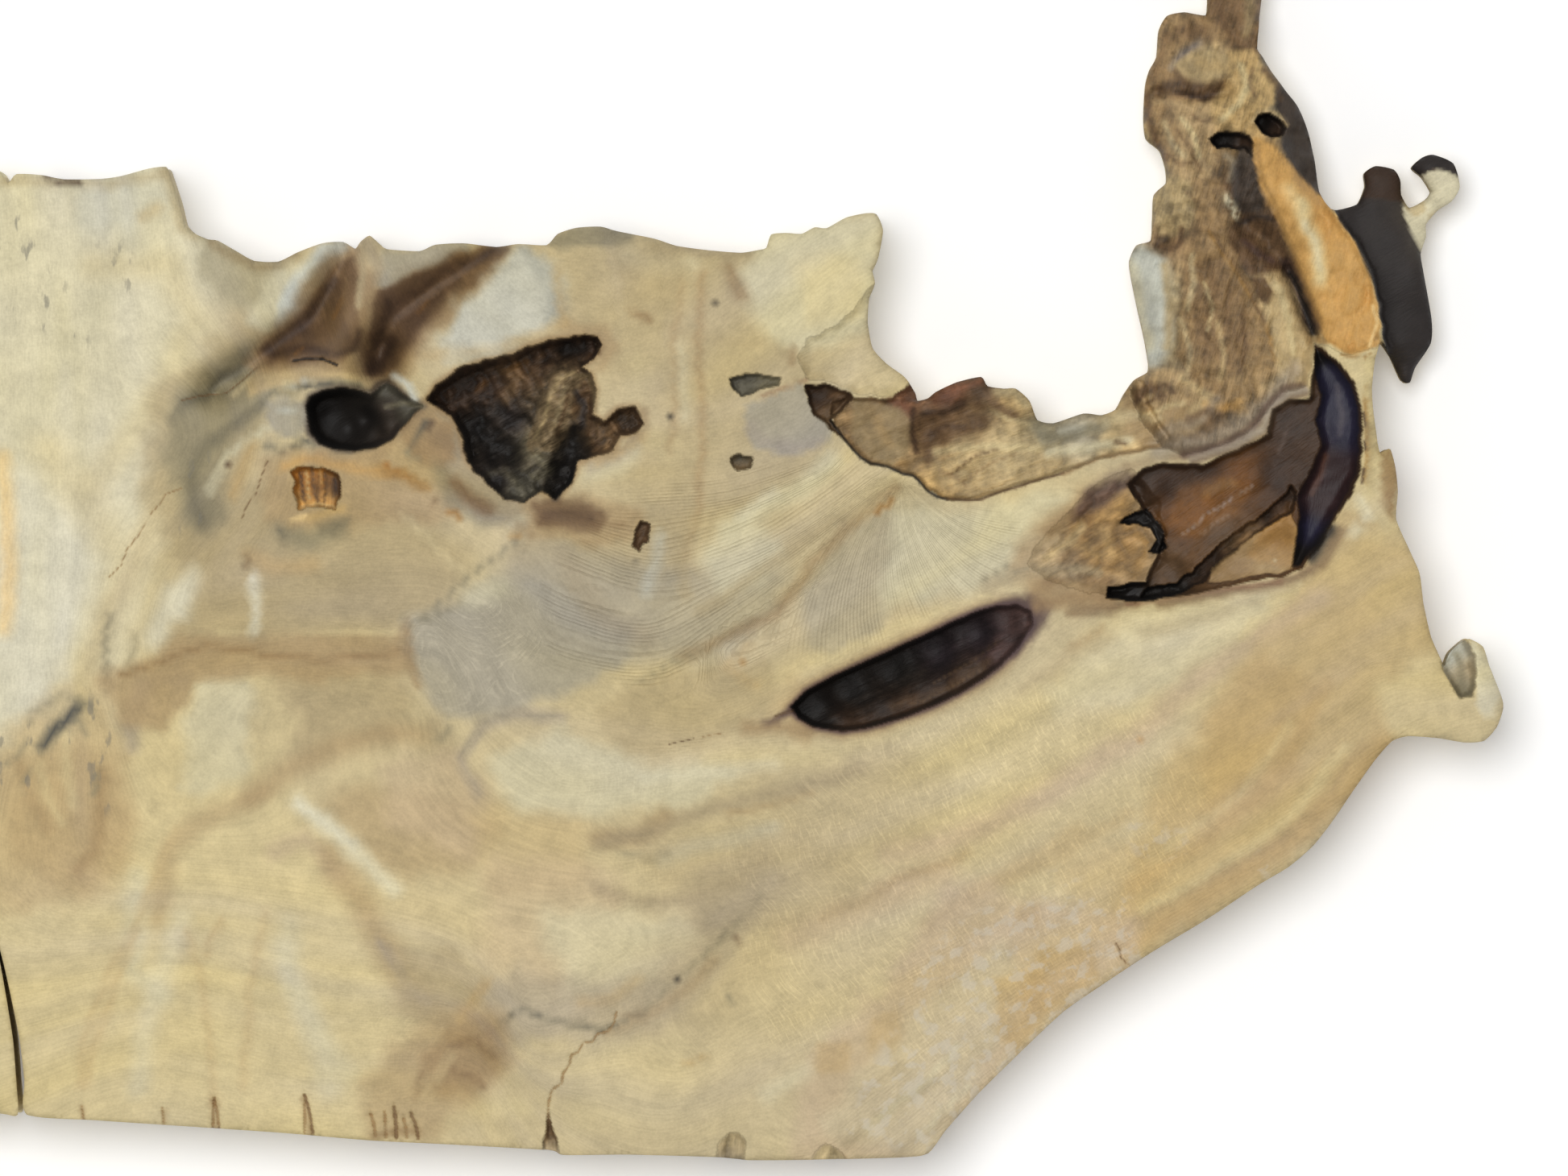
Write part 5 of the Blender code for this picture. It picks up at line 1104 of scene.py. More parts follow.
CREASE_DETAILS = (
    patch(Tone.UMBER, 0.85, 7, (1502, -95), (1572, -95), (1572, 30), (1562, 62), (1530, 48), (1505, 30),
        (1498, 0)),
    stroke(Tone.BROWN, 0.6, 8, (1508, -60), (1512, 0), (1522, 36)),
    stroke(Tone.DUSK, 0.8, 12, (1550, -60), (1552, 0), (1548, 40)),
    patch(Tone.LIGHT_BROWN, 0.8, 10, (1444, 20), (1475, 12), (1500, 20), (1520, 45), (1490, 50),
        (1460, 55), (1442, 60)),
    stroke(Tone.BROWN, 0.5, 9, (1462, 35), (1480, 42), (1495, 35)),
    patch(Tone.LIGHT_BROWN, 0.8, 9, (1428, 84), (1444, 62), (1466, 66), (1462, 110), (1426, 116)),
    stroke(Tone.VIOLET_GREY, 0.75, 10, (1490, 52), (1475, 60), (1464, 70), (1458, 80)),
    stroke(Tone.INDIGO, 0.3, 5, (1484, 54), (1472, 62), (1464, 72)),
    patch(Tone.SAND, 0.85, 8, (1464, 78), (1482, 68), (1510, 66), (1526, 76), (1522, 92), (1500, 102),
        (1475, 100)),
    stroke(Tone.AMBER, 0.5, 14, (1488, 78), (1514, 82)),
    stroke(Tone.BROWN, 0.6, 5, (1460, 84), (1472, 104), (1498, 108)),
    stroke(Tone.BROWN, 0.9, 16, (1440, 110), (1466, 105), (1495, 116), (1520, 104)),
    stroke(Tone.DARK_BROWN, 0.6, 7, (1480, 118), (1500, 122), (1520, 110)),
    stroke(Tone.UMBER, 0.5, 14, (1452, 44), (1480, 34), (1496, 46)),
    stroke(Tone.AMBER, 0.7, 10, (1408, 470), (1424, 486), (1434, 510)),
    stroke(Tone.DARK_BROWN, 0.8, 6, (1462, 114), (1495, 122), (1520, 112)),
    stroke(Tone.UMBER, 0.7, 9, (1430, 95), (1440, 70), (1446, 40)),
    patch(Tone.AMBER, 0.9, 8, (1528, 66), (1556, 62), (1578, 92), (1580, 125), (1558, 140), (1550, 158),
        (1520, 156), (1505, 138), (1524, 104)),
    stroke(Tone.STRAW, 0.8, 8, (1540, 80), (1548, 105), (1538, 130), (1520, 145)),
    stroke(Tone.BROWN, 0.5, 5, (1556, 84), (1550, 100), (1558, 118)),
    patch(Tone.CLAY, 0.9, 9, (1430, 128), (1500, 132), (1504, 158), (1494, 176), (1506, 196), (1498, 222),
        (1462, 216), (1448, 190)),
    patch(Tone.LIGHT_BROWN, 0.7, 9, (1426, 130), (1452, 134), (1462, 170), (1450, 196), (1436, 180)),
    stroke(Tone.BROWN, 0.8, 8, (1424, 118), (1427, 145), (1436, 172), (1446, 196)),
    stroke(Tone.UMBER, 0.6, 5, (1462, 160), (1478, 182), (1490, 212)),
    stroke(Tone.BROWN, 0.5, 4, (1450, 190), (1466, 204), (1480, 200)),
    stroke(Tone.BROWN, 0.5, 4, (1480, 140), (1492, 150), (1508, 146)),
    stroke(Tone.STRAW, 0.75, 6, (1468, 146), (1484, 166), (1488, 192)),
    stroke(Tone.HONEY, 0.7, 6, (1446, 150), (1456, 178), (1470, 192)),
    patch(Tone.SOOT, 0.95, 6, (1590, 104), (1612, 126), (1630, 162), (1640, 215), (1646, 245),
        (1632, 238), (1612, 212), (1594, 180), (1598, 150), (1588, 130)),
    stroke(Tone.BROWN, 0.7, 8, (1572, 84), (1586, 100), (1590, 120)),
    stroke(Tone.TAN, 0.8, 4, (1556, 150), (1562, 140), (1576, 136), (1590, 142), (1598, 154)),
    patch(Tone.SOOT, 0.92, 6, (1540, 182), (1556, 186), (1562, 215), (1566, 258), (1552, 268),
        (1534, 250), (1530, 215)),
    stroke(Tone.GREY, 0.5, 7, (1522, 192), (1530, 200), (1526, 225)),
    stroke(Tone.CREAM, 0.85, 9, (1520, 244), (1532, 256), (1538, 276)),
    stroke(Tone.BROWN, 0.8, 1.6, (1516, 262), (1530, 262), (1544, 268)),
    stroke(Tone.BROWN, 0.8, 1.6, (1530, 240), (1528, 262), (1536, 282)),
    patch(Tone.SAND, 0.9, 8, (1436, 232), (1462, 222), (1482, 236), (1480, 270), (1466, 290),
        (1440, 286)),
    stroke(Tone.UMBER, 0.6, 5, (1474, 238), (1486, 252), (1490, 276), (1482, 296)),
    stroke(Tone.BROWN, 0.9, 7, (1438, 302), (1452, 308), (1464, 300), (1468, 284)),
    patch(Tone.LIGHT_BROWN, 0.8, 9, (1484, 224), (1512, 228), (1516, 260), (1530, 290), (1508, 296),
        (1486, 276)),
    patch(Tone.BROWN, 0.9, 8, (1528, 284), (1546, 270), (1574, 264), (1590, 284), (1592, 318),
        (1578, 340), (1552, 332), (1534, 310)),
    stroke(Tone.JET, 0.7, 7, (1540, 276), (1560, 268), (1578, 272)),
    patch(Tone.CREAM, 0.95, 3, (1742, 252), (1758, 270), (1776, 262), (1822, 236), (1822, 200),
        (1796, 208), (1770, 214), (1782, 340), (1764, 312)),
    patch(Tone.JET, 0.8, 4, (1696, 200), (1741, 205), (1742, 262), (1752, 286), (1766, 316), (1779, 357),
        (1781, 425), (1752, 478), (1724, 430), (1706, 350), (1668, 266), (1690, 254)),
    patch(Tone.GLOSS_DARK, 0.8, 7, (1696, 200), (1741, 205), (1742, 246), (1694, 240)),
    Stain(Tone.JET, 0.95, 4, ((1752, 204), (1770, 186), (1792, 184), (1812, 196), (1818, 218),
        (1800, 209), (1780, 206), (1766, 214)), closed=True, ragged=1.5),
    stroke(Tone.UMBER, 0.7, 6, (1560, 290), (1572, 312), (1566, 328)),
    stroke(Tone.PURPLE_BROWN, 0.7, 8, (1545, 300), (1560, 312), (1580, 322)),
    patch(Tone.ORANGE, 0.97, 6, (1558, 172), (1580, 184), (1612, 218), (1640, 246), (1654, 268),
        (1682, 304), (1699, 345), (1706, 385), (1711, 404), (1698, 432), (1680, 438), (1660, 432),
        (1646, 414), (1634, 385), (1614, 335), (1598, 292), (1584, 262), (1568, 230), (1560, 200)),
    stroke(Tone.OCHRE, 0.7, 6, (1562, 180), (1566, 215), (1582, 255), (1600, 300), (1620, 350),
        (1640, 395)),
    stroke(Tone.PEACH, 0.75, 18, (1600, 236), (1618, 270), (1634, 310), (1642, 348)),
    stroke(Tone.STRAW, 0.75, 13, (1612, 252), (1624, 280), (1636, 314), (1641, 344)),
    stroke(Tone.CREAM, 0.45, 9, (1620, 276), (1632, 306), (1638, 330)),
    patch(Tone.ORANGE, 0.8, 10, (1655, 345), (1690, 352), (1702, 392), (1690, 422), (1664, 420),
        (1650, 390)),
    stroke(Tone.STRAW, 0.85, 7, (1650, 428), (1668, 442), (1684, 462), (1696, 490)),
    stroke(Tone.PEACH, 0.8, 4, (1704, 380), (1710, 402), (1700, 430)),
    stroke(Tone.OCHRE, 0.8, 3, (1664, 440), (1690, 446), (1700, 440)),
    patch(Tone.TAN, 0.9, 9, (1566, 344), (1590, 338), (1606, 356), (1622, 400), (1628, 440), (1626, 486),
        (1600, 490), (1584, 430)),
    stroke(Tone.STRAW, 0.6, 8, (1584, 352), (1600, 395), (1606, 440)),
    patch(Tone.BROWN, 0.85, 5, (1558, 346), (1570, 344), (1578, 362), (1572, 374), (1562, 366)),
    stroke(Tone.BROWN, 0.85, 15, (1590, 308), (1604, 336), (1620, 370), (1632, 404)),
    stroke(Tone.PURPLE_BROWN, 0.8, 11, (1596, 322), (1608, 346), (1622, 376), (1632, 404)),
    stroke(Tone.BLACK, 0.95, 8, (1602, 336), (1616, 362), (1626, 388), (1632, 412)),
    patch(Tone.BLUE_WHITE, 0.95, 16, (1403, 318), (1420, 310), (1438, 324), (1446, 352), (1448, 400),
        (1442, 434), (1430, 456), (1420, 420), (1410, 370)),
    stroke(Tone.IVORY, 0.75, 14, (1404, 322), (1414, 370), (1426, 430)),
    stroke(Tone.SAND, 0.8, 10, (1446, 330), (1454, 380), (1448, 430)),
    patch(Tone.LIGHT_BROWN, 0.85, 12, (1478, 300), (1510, 296), (1540, 340), (1566, 400), (1578, 460),
        (1540, 496), (1490, 480), (1466, 440), (1474, 370)),
    patch(Tone.UMBER, 0.5, 12, (1486, 330), (1512, 326), (1536, 366), (1548, 420), (1530, 456),
        (1496, 440), (1484, 390)),
    stroke(Tone.UMBER, 0.75, 7, (1502, 330), (1512, 362), (1500, 392)),
    stroke(Tone.UMBER, 0.75, 6, (1528, 362), (1522, 396), (1540, 420)),
    stroke(Tone.UMBER, 0.7, 6, (1484, 396), (1500, 420), (1494, 452)),
    stroke(Tone.BROWN, 0.6, 5, (1540, 392), (1548, 430), (1540, 460)),
    stroke(Tone.HONEY, 0.75, 7, (1480, 316), (1484, 350), (1474, 384)),
    stroke(Tone.TAN, 0.75, 6, (1512, 400), (1520, 440), (1514, 470)),
    stroke(Tone.STRAW, 0.6, 4, (1496, 350), (1506, 380), (1500, 410)),
    stroke(Tone.HONEY, 0.6, 6, (1466, 396), (1478, 430), (1474, 466)),
    stroke(Tone.OCHRE, 0.95, 3.5, (1500, 288), (1516, 312), (1540, 346), (1560, 384), (1574, 412),
        (1582, 448)),
    stroke(Tone.UMBER, 0.8, 4, (1508, 294), (1532, 328), (1552, 362), (1568, 398)),
    patch(Tone.CLAY, 0.85, 12, (1400, 492), (1430, 462), (1470, 470), (1500, 500), (1480, 530),
        (1430, 548), (1396, 540)),
    stroke(Tone.BROWN, 0.8, 6, (1410, 500), (1424, 486), (1446, 478), (1458, 488)),
    stroke(Tone.BROWN, 0.6, 4, (1424, 500), (1440, 492)),
    stroke(Tone.STRAW, 0.6, 6, (1420, 516), (1446, 506), (1470, 500)),
    stroke(Tone.TAN, 0.85, 9, (1466, 470), (1500, 490), (1480, 510)),
    stroke(Tone.ORANGE, 0.6, 9, (1522, 506), (1546, 512)),
    stroke(Tone.VIOLET_GREY, 0.7, 22, (1440, 556), (1500, 548), (1545, 528), (1580, 494), (1606, 460)),
    stroke(Tone.PURPLE_BROWN, 0.6, 10, (1470, 566), (1510, 556), (1552, 538), (1572, 506), (1598, 484),
        (1618, 480)),
    stroke(Tone.ORANGE, 0.5, 9, (1496, 500), (1522, 506), (1540, 500)),
    stroke(Tone.VIOLET_GREY, 0.85, 11, (1482, 572), (1530, 556), (1570, 534), (1580, 508), (1602, 490),
        (1622, 486)),
    stroke(Tone.BROWN, 0.5, 7, (1482, 574), (1530, 560), (1572, 540), (1582, 510), (1604, 494),
        (1622, 490)),
)

LEDGE_DETAILS = (
    Stain(Tone.BLACK, 0.9, 3.2, ((1031, 522), (1048, 545), (1060, 560), (1068, 568), (1080, 575),
        (1100, 578), (1110, 583), (1120, 588), (1133, 590), (1140, 596), (1152, 610), (1162, 617),
        (1175, 620)), ragged=1.5),
    Stain(Tone.BROWN, 0.9, 3.2, ((1175, 620), (1200, 621), (1218, 620), (1245, 609), (1280, 599),
        (1320, 587)), ragged=1.5),
    Stain(Tone.LIGHT_BROWN, 0.8, 5, ((1320, 587), (1360, 571), (1400, 563), (1440, 552))),
    stroke(Tone.RED_BROWN, 0.85, 9, (1105, 498), (1120, 505), (1132, 512)),
    stroke(Tone.BROWN, 0.85, 6, (1096, 497), (1106, 504)),
    stroke(Tone.ORANGE, 0.3, 10, (1105, 570), (1125, 575)),
    patch(Tone.DUSK, 0.7, 8, (1062, 500), (1100, 506), (1128, 520), (1126, 560), (1106, 574), (1080, 564),
        (1064, 546)),
    stroke(Tone.ORANGE, 0.2, 12, (1090, 520), (1108, 550)),
    patch(Tone.BROWN, 0.7, 10, (1142, 515), (1188, 505), (1222, 520), (1212, 546), (1180, 556),
        (1152, 572)),
    stroke(Tone.DARK_BROWN, 0.5, 6, (1152, 540), (1174, 528), (1196, 532)),
    stroke(Tone.STRAW, 0.6, 6, (1222, 500), (1250, 520), (1280, 528)),
    patch(Tone.TAN, 0.6, 12, (1160, 560), (1230, 536), (1280, 530), (1290, 580), (1220, 606),
        (1170, 602)),
    stroke(Tone.BROWN, 0.6, 3, (1180, 590), (1210, 566), (1240, 556)),
    stroke(Tone.LIGHT_BROWN, 0.6, 3, (1200, 596), (1226, 576), (1262, 562)),
    stroke(Tone.LIGHT_BROWN, 0.6, 3, (1166, 572), (1190, 556), (1216, 550)),
    stroke(Tone.DARK_BROWN, 0.85, 6, (1134, 508), (1132, 535), (1138, 560)),
    stroke(Tone.DARK_BROWN, 0.85, 8, (1146, 512), (1170, 510), (1195, 500)),
    stroke(Tone.RED_BROWN, 0.75, 8, (1160, 495), (1190, 482), (1220, 474)),
    stroke(Tone.BROWN, 0.75, 11, (1215, 500), (1240, 505), (1262, 515)),
    stroke(Tone.HONEY, 0.7, 11, (1240, 488), (1262, 486), (1275, 500)),
    stroke(Tone.SMOKE, 0.8, 13, (1285, 530), (1310, 545), (1350, 535), (1370, 525)),
    stroke(Tone.BLUE_GREY, 0.5, 9, (1320, 535), (1345, 530)),
    stroke(Tone.IVORY, 0.75, 11, (1300, 562), (1350, 556), (1400, 548)),
    stroke(Tone.STRAW, 0.6, 8, (1160, 560), (1230, 552), (1290, 555)),
    stroke(Tone.UMBER, 0.45, 4, (1165, 585), (1185, 592), (1200, 603)),
    stroke(Tone.BROWN, 0.8, 5, (1384, 549), (1397, 551)),
    stroke(Tone.HONEY, 0.7, 13, (1370, 522), (1410, 515), (1440, 520)),
    stroke(Tone.BROWN, 0.75, 10, (1412, 492), (1430, 478), (1445, 492)),
    stroke(Tone.VIOLET_GREY, 0.55, 11, (1440, 540), (1490, 520), (1510, 495)),
    stroke(Tone.BROWN, 0.6, 8, (1475, 520), (1500, 508)),
)

HOLLOW_DETAILS = (
    patch(Tone.RUST, 0.3, 14, (1466, 612), (1496, 600), (1545, 596), (1530, 634), (1480, 662),
        (1456, 650)),
    patch(Tone.RUST, 0.25, 12, (1556, 690), (1590, 640), (1604, 630), (1600, 700)),
    stroke(Tone.BLUE_WHITE, 0.85, 9, (490, 468), (505, 480), (515, 496)),
    stroke(Tone.SMOKE, 0.7, 6, (478, 505), (500, 500), (524, 504)),
    patch(Tone.CRUMB, 0.9, 4, (693, 464), (715, 464), (720, 476), (706, 498), (704, 529), (687, 556),
        (659, 562), (652, 552), (662, 529), (672, 498)),
    stroke(Tone.SAND, 0.9, 4, (712, 462), (694, 470), (682, 492), (674, 520), (662, 546)),
    stroke(Tone.TAUPE, 0.7, 5, (700, 480), (694, 505), (686, 530)),
    stroke(Tone.BROWN, 0.7, 4, (704, 488), (698, 515), (690, 540)),
    stroke(Tone.DUSK, 0.8, 6, (716, 466), (732, 466), (738, 484), (738, 510)),
    stroke(Tone.JET, 0.85, 8, (714, 486), (724, 504), (720, 530)),
    stroke(Tone.BROWN, 0.8, 5, (728, 486), (732, 512), (728, 540)),
    stroke(Tone.RUST, 0.35, 7, (622, 460), (652, 448)),
    stroke(Tone.RUST, 0.3, 7, (600, 474), (588, 486)),
    stroke(Tone.BROWN, 0.7, 6, (672, 440), (664, 460), (672, 476)),
    # Painted shade down the cavern's deepest side.
    stroke(Tone.BLACK, 0.85, 9, (712, 530), (705, 560), (698, 600), (690, 615)),
    stroke(Tone.SMOKE, 0.65, 13, (665, 562), (680, 580), (665, 590)),
    stroke(Tone.SMOKE, 0.4, 10, (605, 590), (625, 585), (640, 600)),
    stroke(Tone.UMBER, 0.6, 13, (620, 460), (640, 470), (625, 495)),
    stroke(Tone.BLACK, 0.7, 13, (695, 432), (725, 430)),
    stroke(Tone.UMBER, 0.6, 5, (742, 425), (745, 440)),
    stroke(Tone.BROWN, 0.7, 9, (735, 530), (740, 560)),
    stroke(Tone.BLACK, 0.5, 12, (775, 520), (785, 528)),
    stroke(Tone.DARK_BROWN, 0.85, 4, (371, 588), (374, 604), (376, 620)),
    stroke(Tone.BROWN, 0.85, 3.5, (386, 582), (388, 600), (394, 622)),
    stroke(Tone.BROWN, 0.75, 3, (402, 588), (404, 606), (402, 622)),
    stroke(Tone.DARK_BROWN, 0.8, 4, (414, 596), (418, 612)),
    stroke(Tone.GOLD, 0.8, 3, (379, 586), (381, 604), (384, 620)),
    stroke(Tone.ORANGE, 0.8, 3, (396, 584), (398, 602)),
    stroke(Tone.PEACH, 0.8, 3.5, (374, 629), (396, 626), (414, 629)),
    # Painted highlights along the glossy hollow's ridge.
    stroke(Tone.SHEEN, 0.5, 3.2, (1468, 664), (1484, 652), (1496, 640)),
    stroke(Tone.SHEEN, 0.6, 3.2, (1502, 636), (1516, 630), (1530, 618)),
    stroke(Tone.SHEEN, 0.5, 3, (1540, 612), (1556, 602)),
    stroke(Tone.SHEEN, 0.35, 3, (1586, 560), (1594, 546), (1600, 530)),
    stroke(Tone.SHEEN, 0.3, 3, (1490, 664), (1508, 650), (1524, 640)),
    stroke(Tone.BROWN, 0.55, 10, (1110, 878), (1170, 856), (1225, 822)),
    stroke(Tone.UMBER, 0.4, 3, (1130, 876), (1180, 854), (1222, 830)),
    stroke(Tone.UMBER, 0.35, 3, (1160, 848), (1205, 822), (1240, 796)),
    stroke(Tone.SOOT, 0.5, 4, (1050, 876), (1100, 856), (1150, 832)),
    # Painted highlight on the crescent's wall.
    stroke(Tone.VIOLET_GREY, 0.3, 8, (1660, 480), (1668, 510), (1666, 540)),
    stroke(Tone.DUSK, 0.5, 8, (1698, 525), (1703, 560), (1699, 600)),
    # Painted shade down the hook's recess.
    stroke(Tone.SMOKE, 0.7, 9, (1810, 812), (1817, 832), (1814, 856)),
    stroke(Tone.AMBER, 0.35, 16, (1335, 672), (1365, 690)),
    stroke(Tone.BROWN, 0.5, 9, (392, 598), (396, 614)),
    stroke(Tone.RED_BROWN, 0.5, 7, (1648, 566), (1640, 590), (1630, 612)),
    stroke(Tone.DARK_BROWN, 0.7, 8, (1404, 596), (1425, 584), (1460, 580), (1494, 582)),
    stroke(Tone.DARK_BROWN, 0.8, 12, (1590, 512), (1610, 520), (1600, 550)),
    stroke(Tone.OCHRE, 0.35, 12, (1500, 612), (1530, 598)),
    # Painted highlight: a glint on the lit ledge.
    stroke(Tone.CREAM, 0.9, 2.4, (1580, 695), (1583, 698)),
    stroke(Tone.OCHRE, 0.85, 8, (1412, 664), (1426, 672), (1420, 690)),
    stroke(Tone.AMBER, 0.5, 14, (1370, 660), (1380, 690)),
    stroke(Tone.TAN, 0.7, 9, (1300, 690), (1330, 668), (1345, 655)),
    stroke(Tone.LIGHT_BROWN, 0.7, 14, (1300, 660), (1330, 640)),
    stroke(Tone.GREY_TAUPE, 0.7, 11, (1330, 705), (1365, 712)),
    stroke(Tone.BLACK, 0.85, 13, (1652, 660), (1630, 690)),
)

# Areas are (strength, feather in pixels, points of the rim): here the rough colour is calmed
SMOOTHED = (
    area(0.85, 8, (1558, 172), (1612, 218), (1654, 268), (1699, 345), (1711, 404), (1680, 440),
        (1646, 414), (1598, 292), (1568, 230)),
    area(0.85, 10, (1403, 318), (1420, 306), (1444, 316), (1458, 350), (1462, 400), (1452, 440),
        (1430, 456), (1420, 420), (1410, 370)),
    area(0.6, 10, (1570, 344), (1606, 356), (1628, 440), (1610, 490), (1584, 430)),
    area(0.6, 8, (1590, 104), (1630, 162), (1644, 245), (1612, 212), (1594, 160)),
    area(0.5, 12, (1464, 78), (1510, 66), (1526, 76), (1500, 102), (1475, 100)),
    area(0.7, 14, (1285, 515), (1380, 505), (1440, 520), (1500, 500), (1500, 560), (1400, 570),
        (1300, 590)),
    area(0.5, 8, (1050, 500), (1130, 505), (1130, 585), (1080, 570)),
)

SPECKS = (
    stroke(Tone.BLACK, 0.8, 3, (886, 374), (891, 376)),
    stroke(Tone.LIGHT_BROWN, 0.6, 7, (798, 390), (806, 396)),
    stroke(Tone.BLACK, 0.7, 2.6, (831, 517), (832, 518)),
    stroke(Tone.BLACK, 0.6, 2.6, (789, 694), (790, 694)),
    stroke(Tone.RUST, 0.7, 6, (1086, 636), (1098, 628), (1108, 622)),
    stroke(Tone.RUST, 0.8, 6, (560, 637), (568, 642)),
    stroke(Tone.RUST, 0.5, 5, (636, 665), (642, 668)),
    stroke(Tone.BROWN, 0.6, 5, (536, 625), (544, 622)),
    stroke(Tone.BLACK, 0.7, 4, (840, 1216), (845, 1220)),
    stroke(Tone.BROWN, 0.6, 5, (912, 1165), (916, 1170)),
    stroke(Tone.BROWN, 0.6, 3.5, (905, 1018), (908, 1020)),
    stroke(Tone.RUST, 0.8, 4.5, (1410, 919), (1415, 921)),
    stroke(Tone.RUST, 0.5, 4, (919, 819), (922, 821)),
    stroke(Tone.CLAY, 0.7, 8, (270, 1404), (266, 1380), (264, 1366)),
    stroke(Tone.CLAY, 0.7, 8, (386, 1410), (382, 1385), (378, 1365)),
    stroke(Tone.CLAY, 0.5, 6, (203, 1398), (202, 1380)),
    stroke(Tone.CLAY, 0.5, 6, (104, 1390), (102, 1374)),
    stroke(Tone.LIGHT_BROWN, 0.6, 10, (466, 1412), (492, 1404), (516, 1406)),
    stroke(Tone.BROWN, 0.8, 4, (308, 686), (304, 700)),
)

STAINS = LEFT_STAINS + CENTRE_STAINS + LOWER_RIGHT_STAINS + SLOT_STAINS
DETAILS = CREASE_DETAILS + LEDGE_DETAILS + HOLLOW_DETAILS + SPECKS

# Where the growth lines show
LINED = (
    area(1.0, 40, (690, 720), (780, 650), (900, 600), (1080, 590), (1000, 720), (940, 810), (800, 840),
        (700, 800)),
    area(0.3, 40, (760, 880), (950, 830), (960, 920), (800, 940)),
    area(0.35, 40, (1000, 1450), (1150, 1180), (1600, 1000), (1700, 800), (1760, 900), (1500, 1150),
        (1150, 1430)),
)

# Where the growth lines that spread from one place show
FANNED = (
    area(0.75, 40, (1095, 610), (1020, 690), (960, 790), (1020, 805), (1090, 785), (1150, 745),
        (1215, 715), (1250, 660), (1170, 640)),
)

# Where the saw has left hairs
FUZZED = (
    area(1.0, 60, (930, 1060), (1080, 940), (1250, 880), (1400, 900), (1480, 1000), (1400, 1150),
        (1200, 1180), (980, 1280)),
    area(0.35, 60, (500, 960), (800, 960), (900, 1300), (500, 1300)),
    area(0.8, 30, (520, 780), (620, 730), (680, 780), (640, 860), (560, 880)),
    area(0.7, 40, (1100, 1200), (1380, 1100), (1400, 1200), (1180, 1380)),
)

# Where pale chalky spots lie
CHALKED = (
    area(1.0, 20, (1190, 1150), (1290, 1120), (1390, 1130), (1410, 1190), (1320, 1250), (1220, 1350),
        (1160, 1420), (1060, 1400), (1110, 1290)),
    area(0.8, 14, (1340, 1150), (1400, 1155), (1405, 1190), (1360, 1210)),
    area(0.7, 10, (1405, 1020), (1430, 1030), (1480, 1040), (1470, 1060), (1410, 1060)),
    area(0.7, 8, (1560, 1062), (1575, 1075), (1570, 1090), (1558, 1080)),
    area(0.5, 14, (1310, 1085), (1335, 1090), (1330, 1115), (1310, 1110)),
)

# Where dark flecks lie
FLECKED = (
    area(1.0, 30, (-60, 250), (30, 250), (60, 330), (100, 420), (40, 430), (-60, 400)),
    area(0.8, 24, (140, 310), (165, 310), (160, 370), (140, 360)),
    area(0.9, 24, (-30, 900), (90, 860), (130, 880), (130, 1000), (20, 1000)),
    area(0.6, 24, (200, 560), (260, 560), (270, 660), (220, 660)),
)


class Outline:
    """The slab's outline as a smooth closed loop."""

    def __init__(self, spacing_px: float) -> None:
        """Builds the loop.

        Args:
            spacing_px: the widest gap between its points.
        """
        corners = np.array([p for _, _, stretch in OUTLINE_STRETCHES for p in stretch], dtype=float)
        self.corners = corners
        before, after = np.roll(corners, 1, axis=0), np.roll(corners, -1, axis=0)
        beyond = np.roll(corners, -2, axis=0)
        low, high = corners.min(axis=0), corners.max(axis=0)
        pieces = []
        for p0, p1, p2, p3 in zip(before, corners, after, beyond):
            count = max(1, math.ceil(float(np.hypot(*(p2 - p1))) / spacing_px))
            t = (np.arange(count) / count)[:, None]
            bend = 0.5 * (2 * p1 + (p2 - p0) * t + (2 * p0 - 5 * p1 + 4 * p2 - p3) * t ** 2
                          + (3 * p1 - p0 - 3 * p2 + p3) * t ** 3)
            straight = p1 + (p2 - p1) * t
            pieces.append(np.clip(0.6 * bend + 0.4 * straight, low, high))
        self.loop = np.vstack(pieces)
        self.middle = 0.5 * (low + high)

    def inward(self, reach_px: float | np.ndarray) -> Points:
        """The loop's points moved to its inside by a reach in pixels."""
        tangent = np.roll(self.loop, -1, axis=0) - np.roll(self.loop, 1, axis=0)
        normal = np.column_stack([-tangent[:, 1], tangent[:, 0]])
        normal /= np.maximum(np.hypot(*normal.T), 1e-9)[:, None]
        return self.loop + normal * reach_px

    def metres(self, points: Points, heights: np.ndarray) -> np.ndarray:
        """Plan points and heights as positions in the frame, in metres."""
        across = (points - self.middle) / PIXELS_PER_MM * (1.0, -1.0)
        return np.column_stack([across, heights]) * METRES_PER_MM


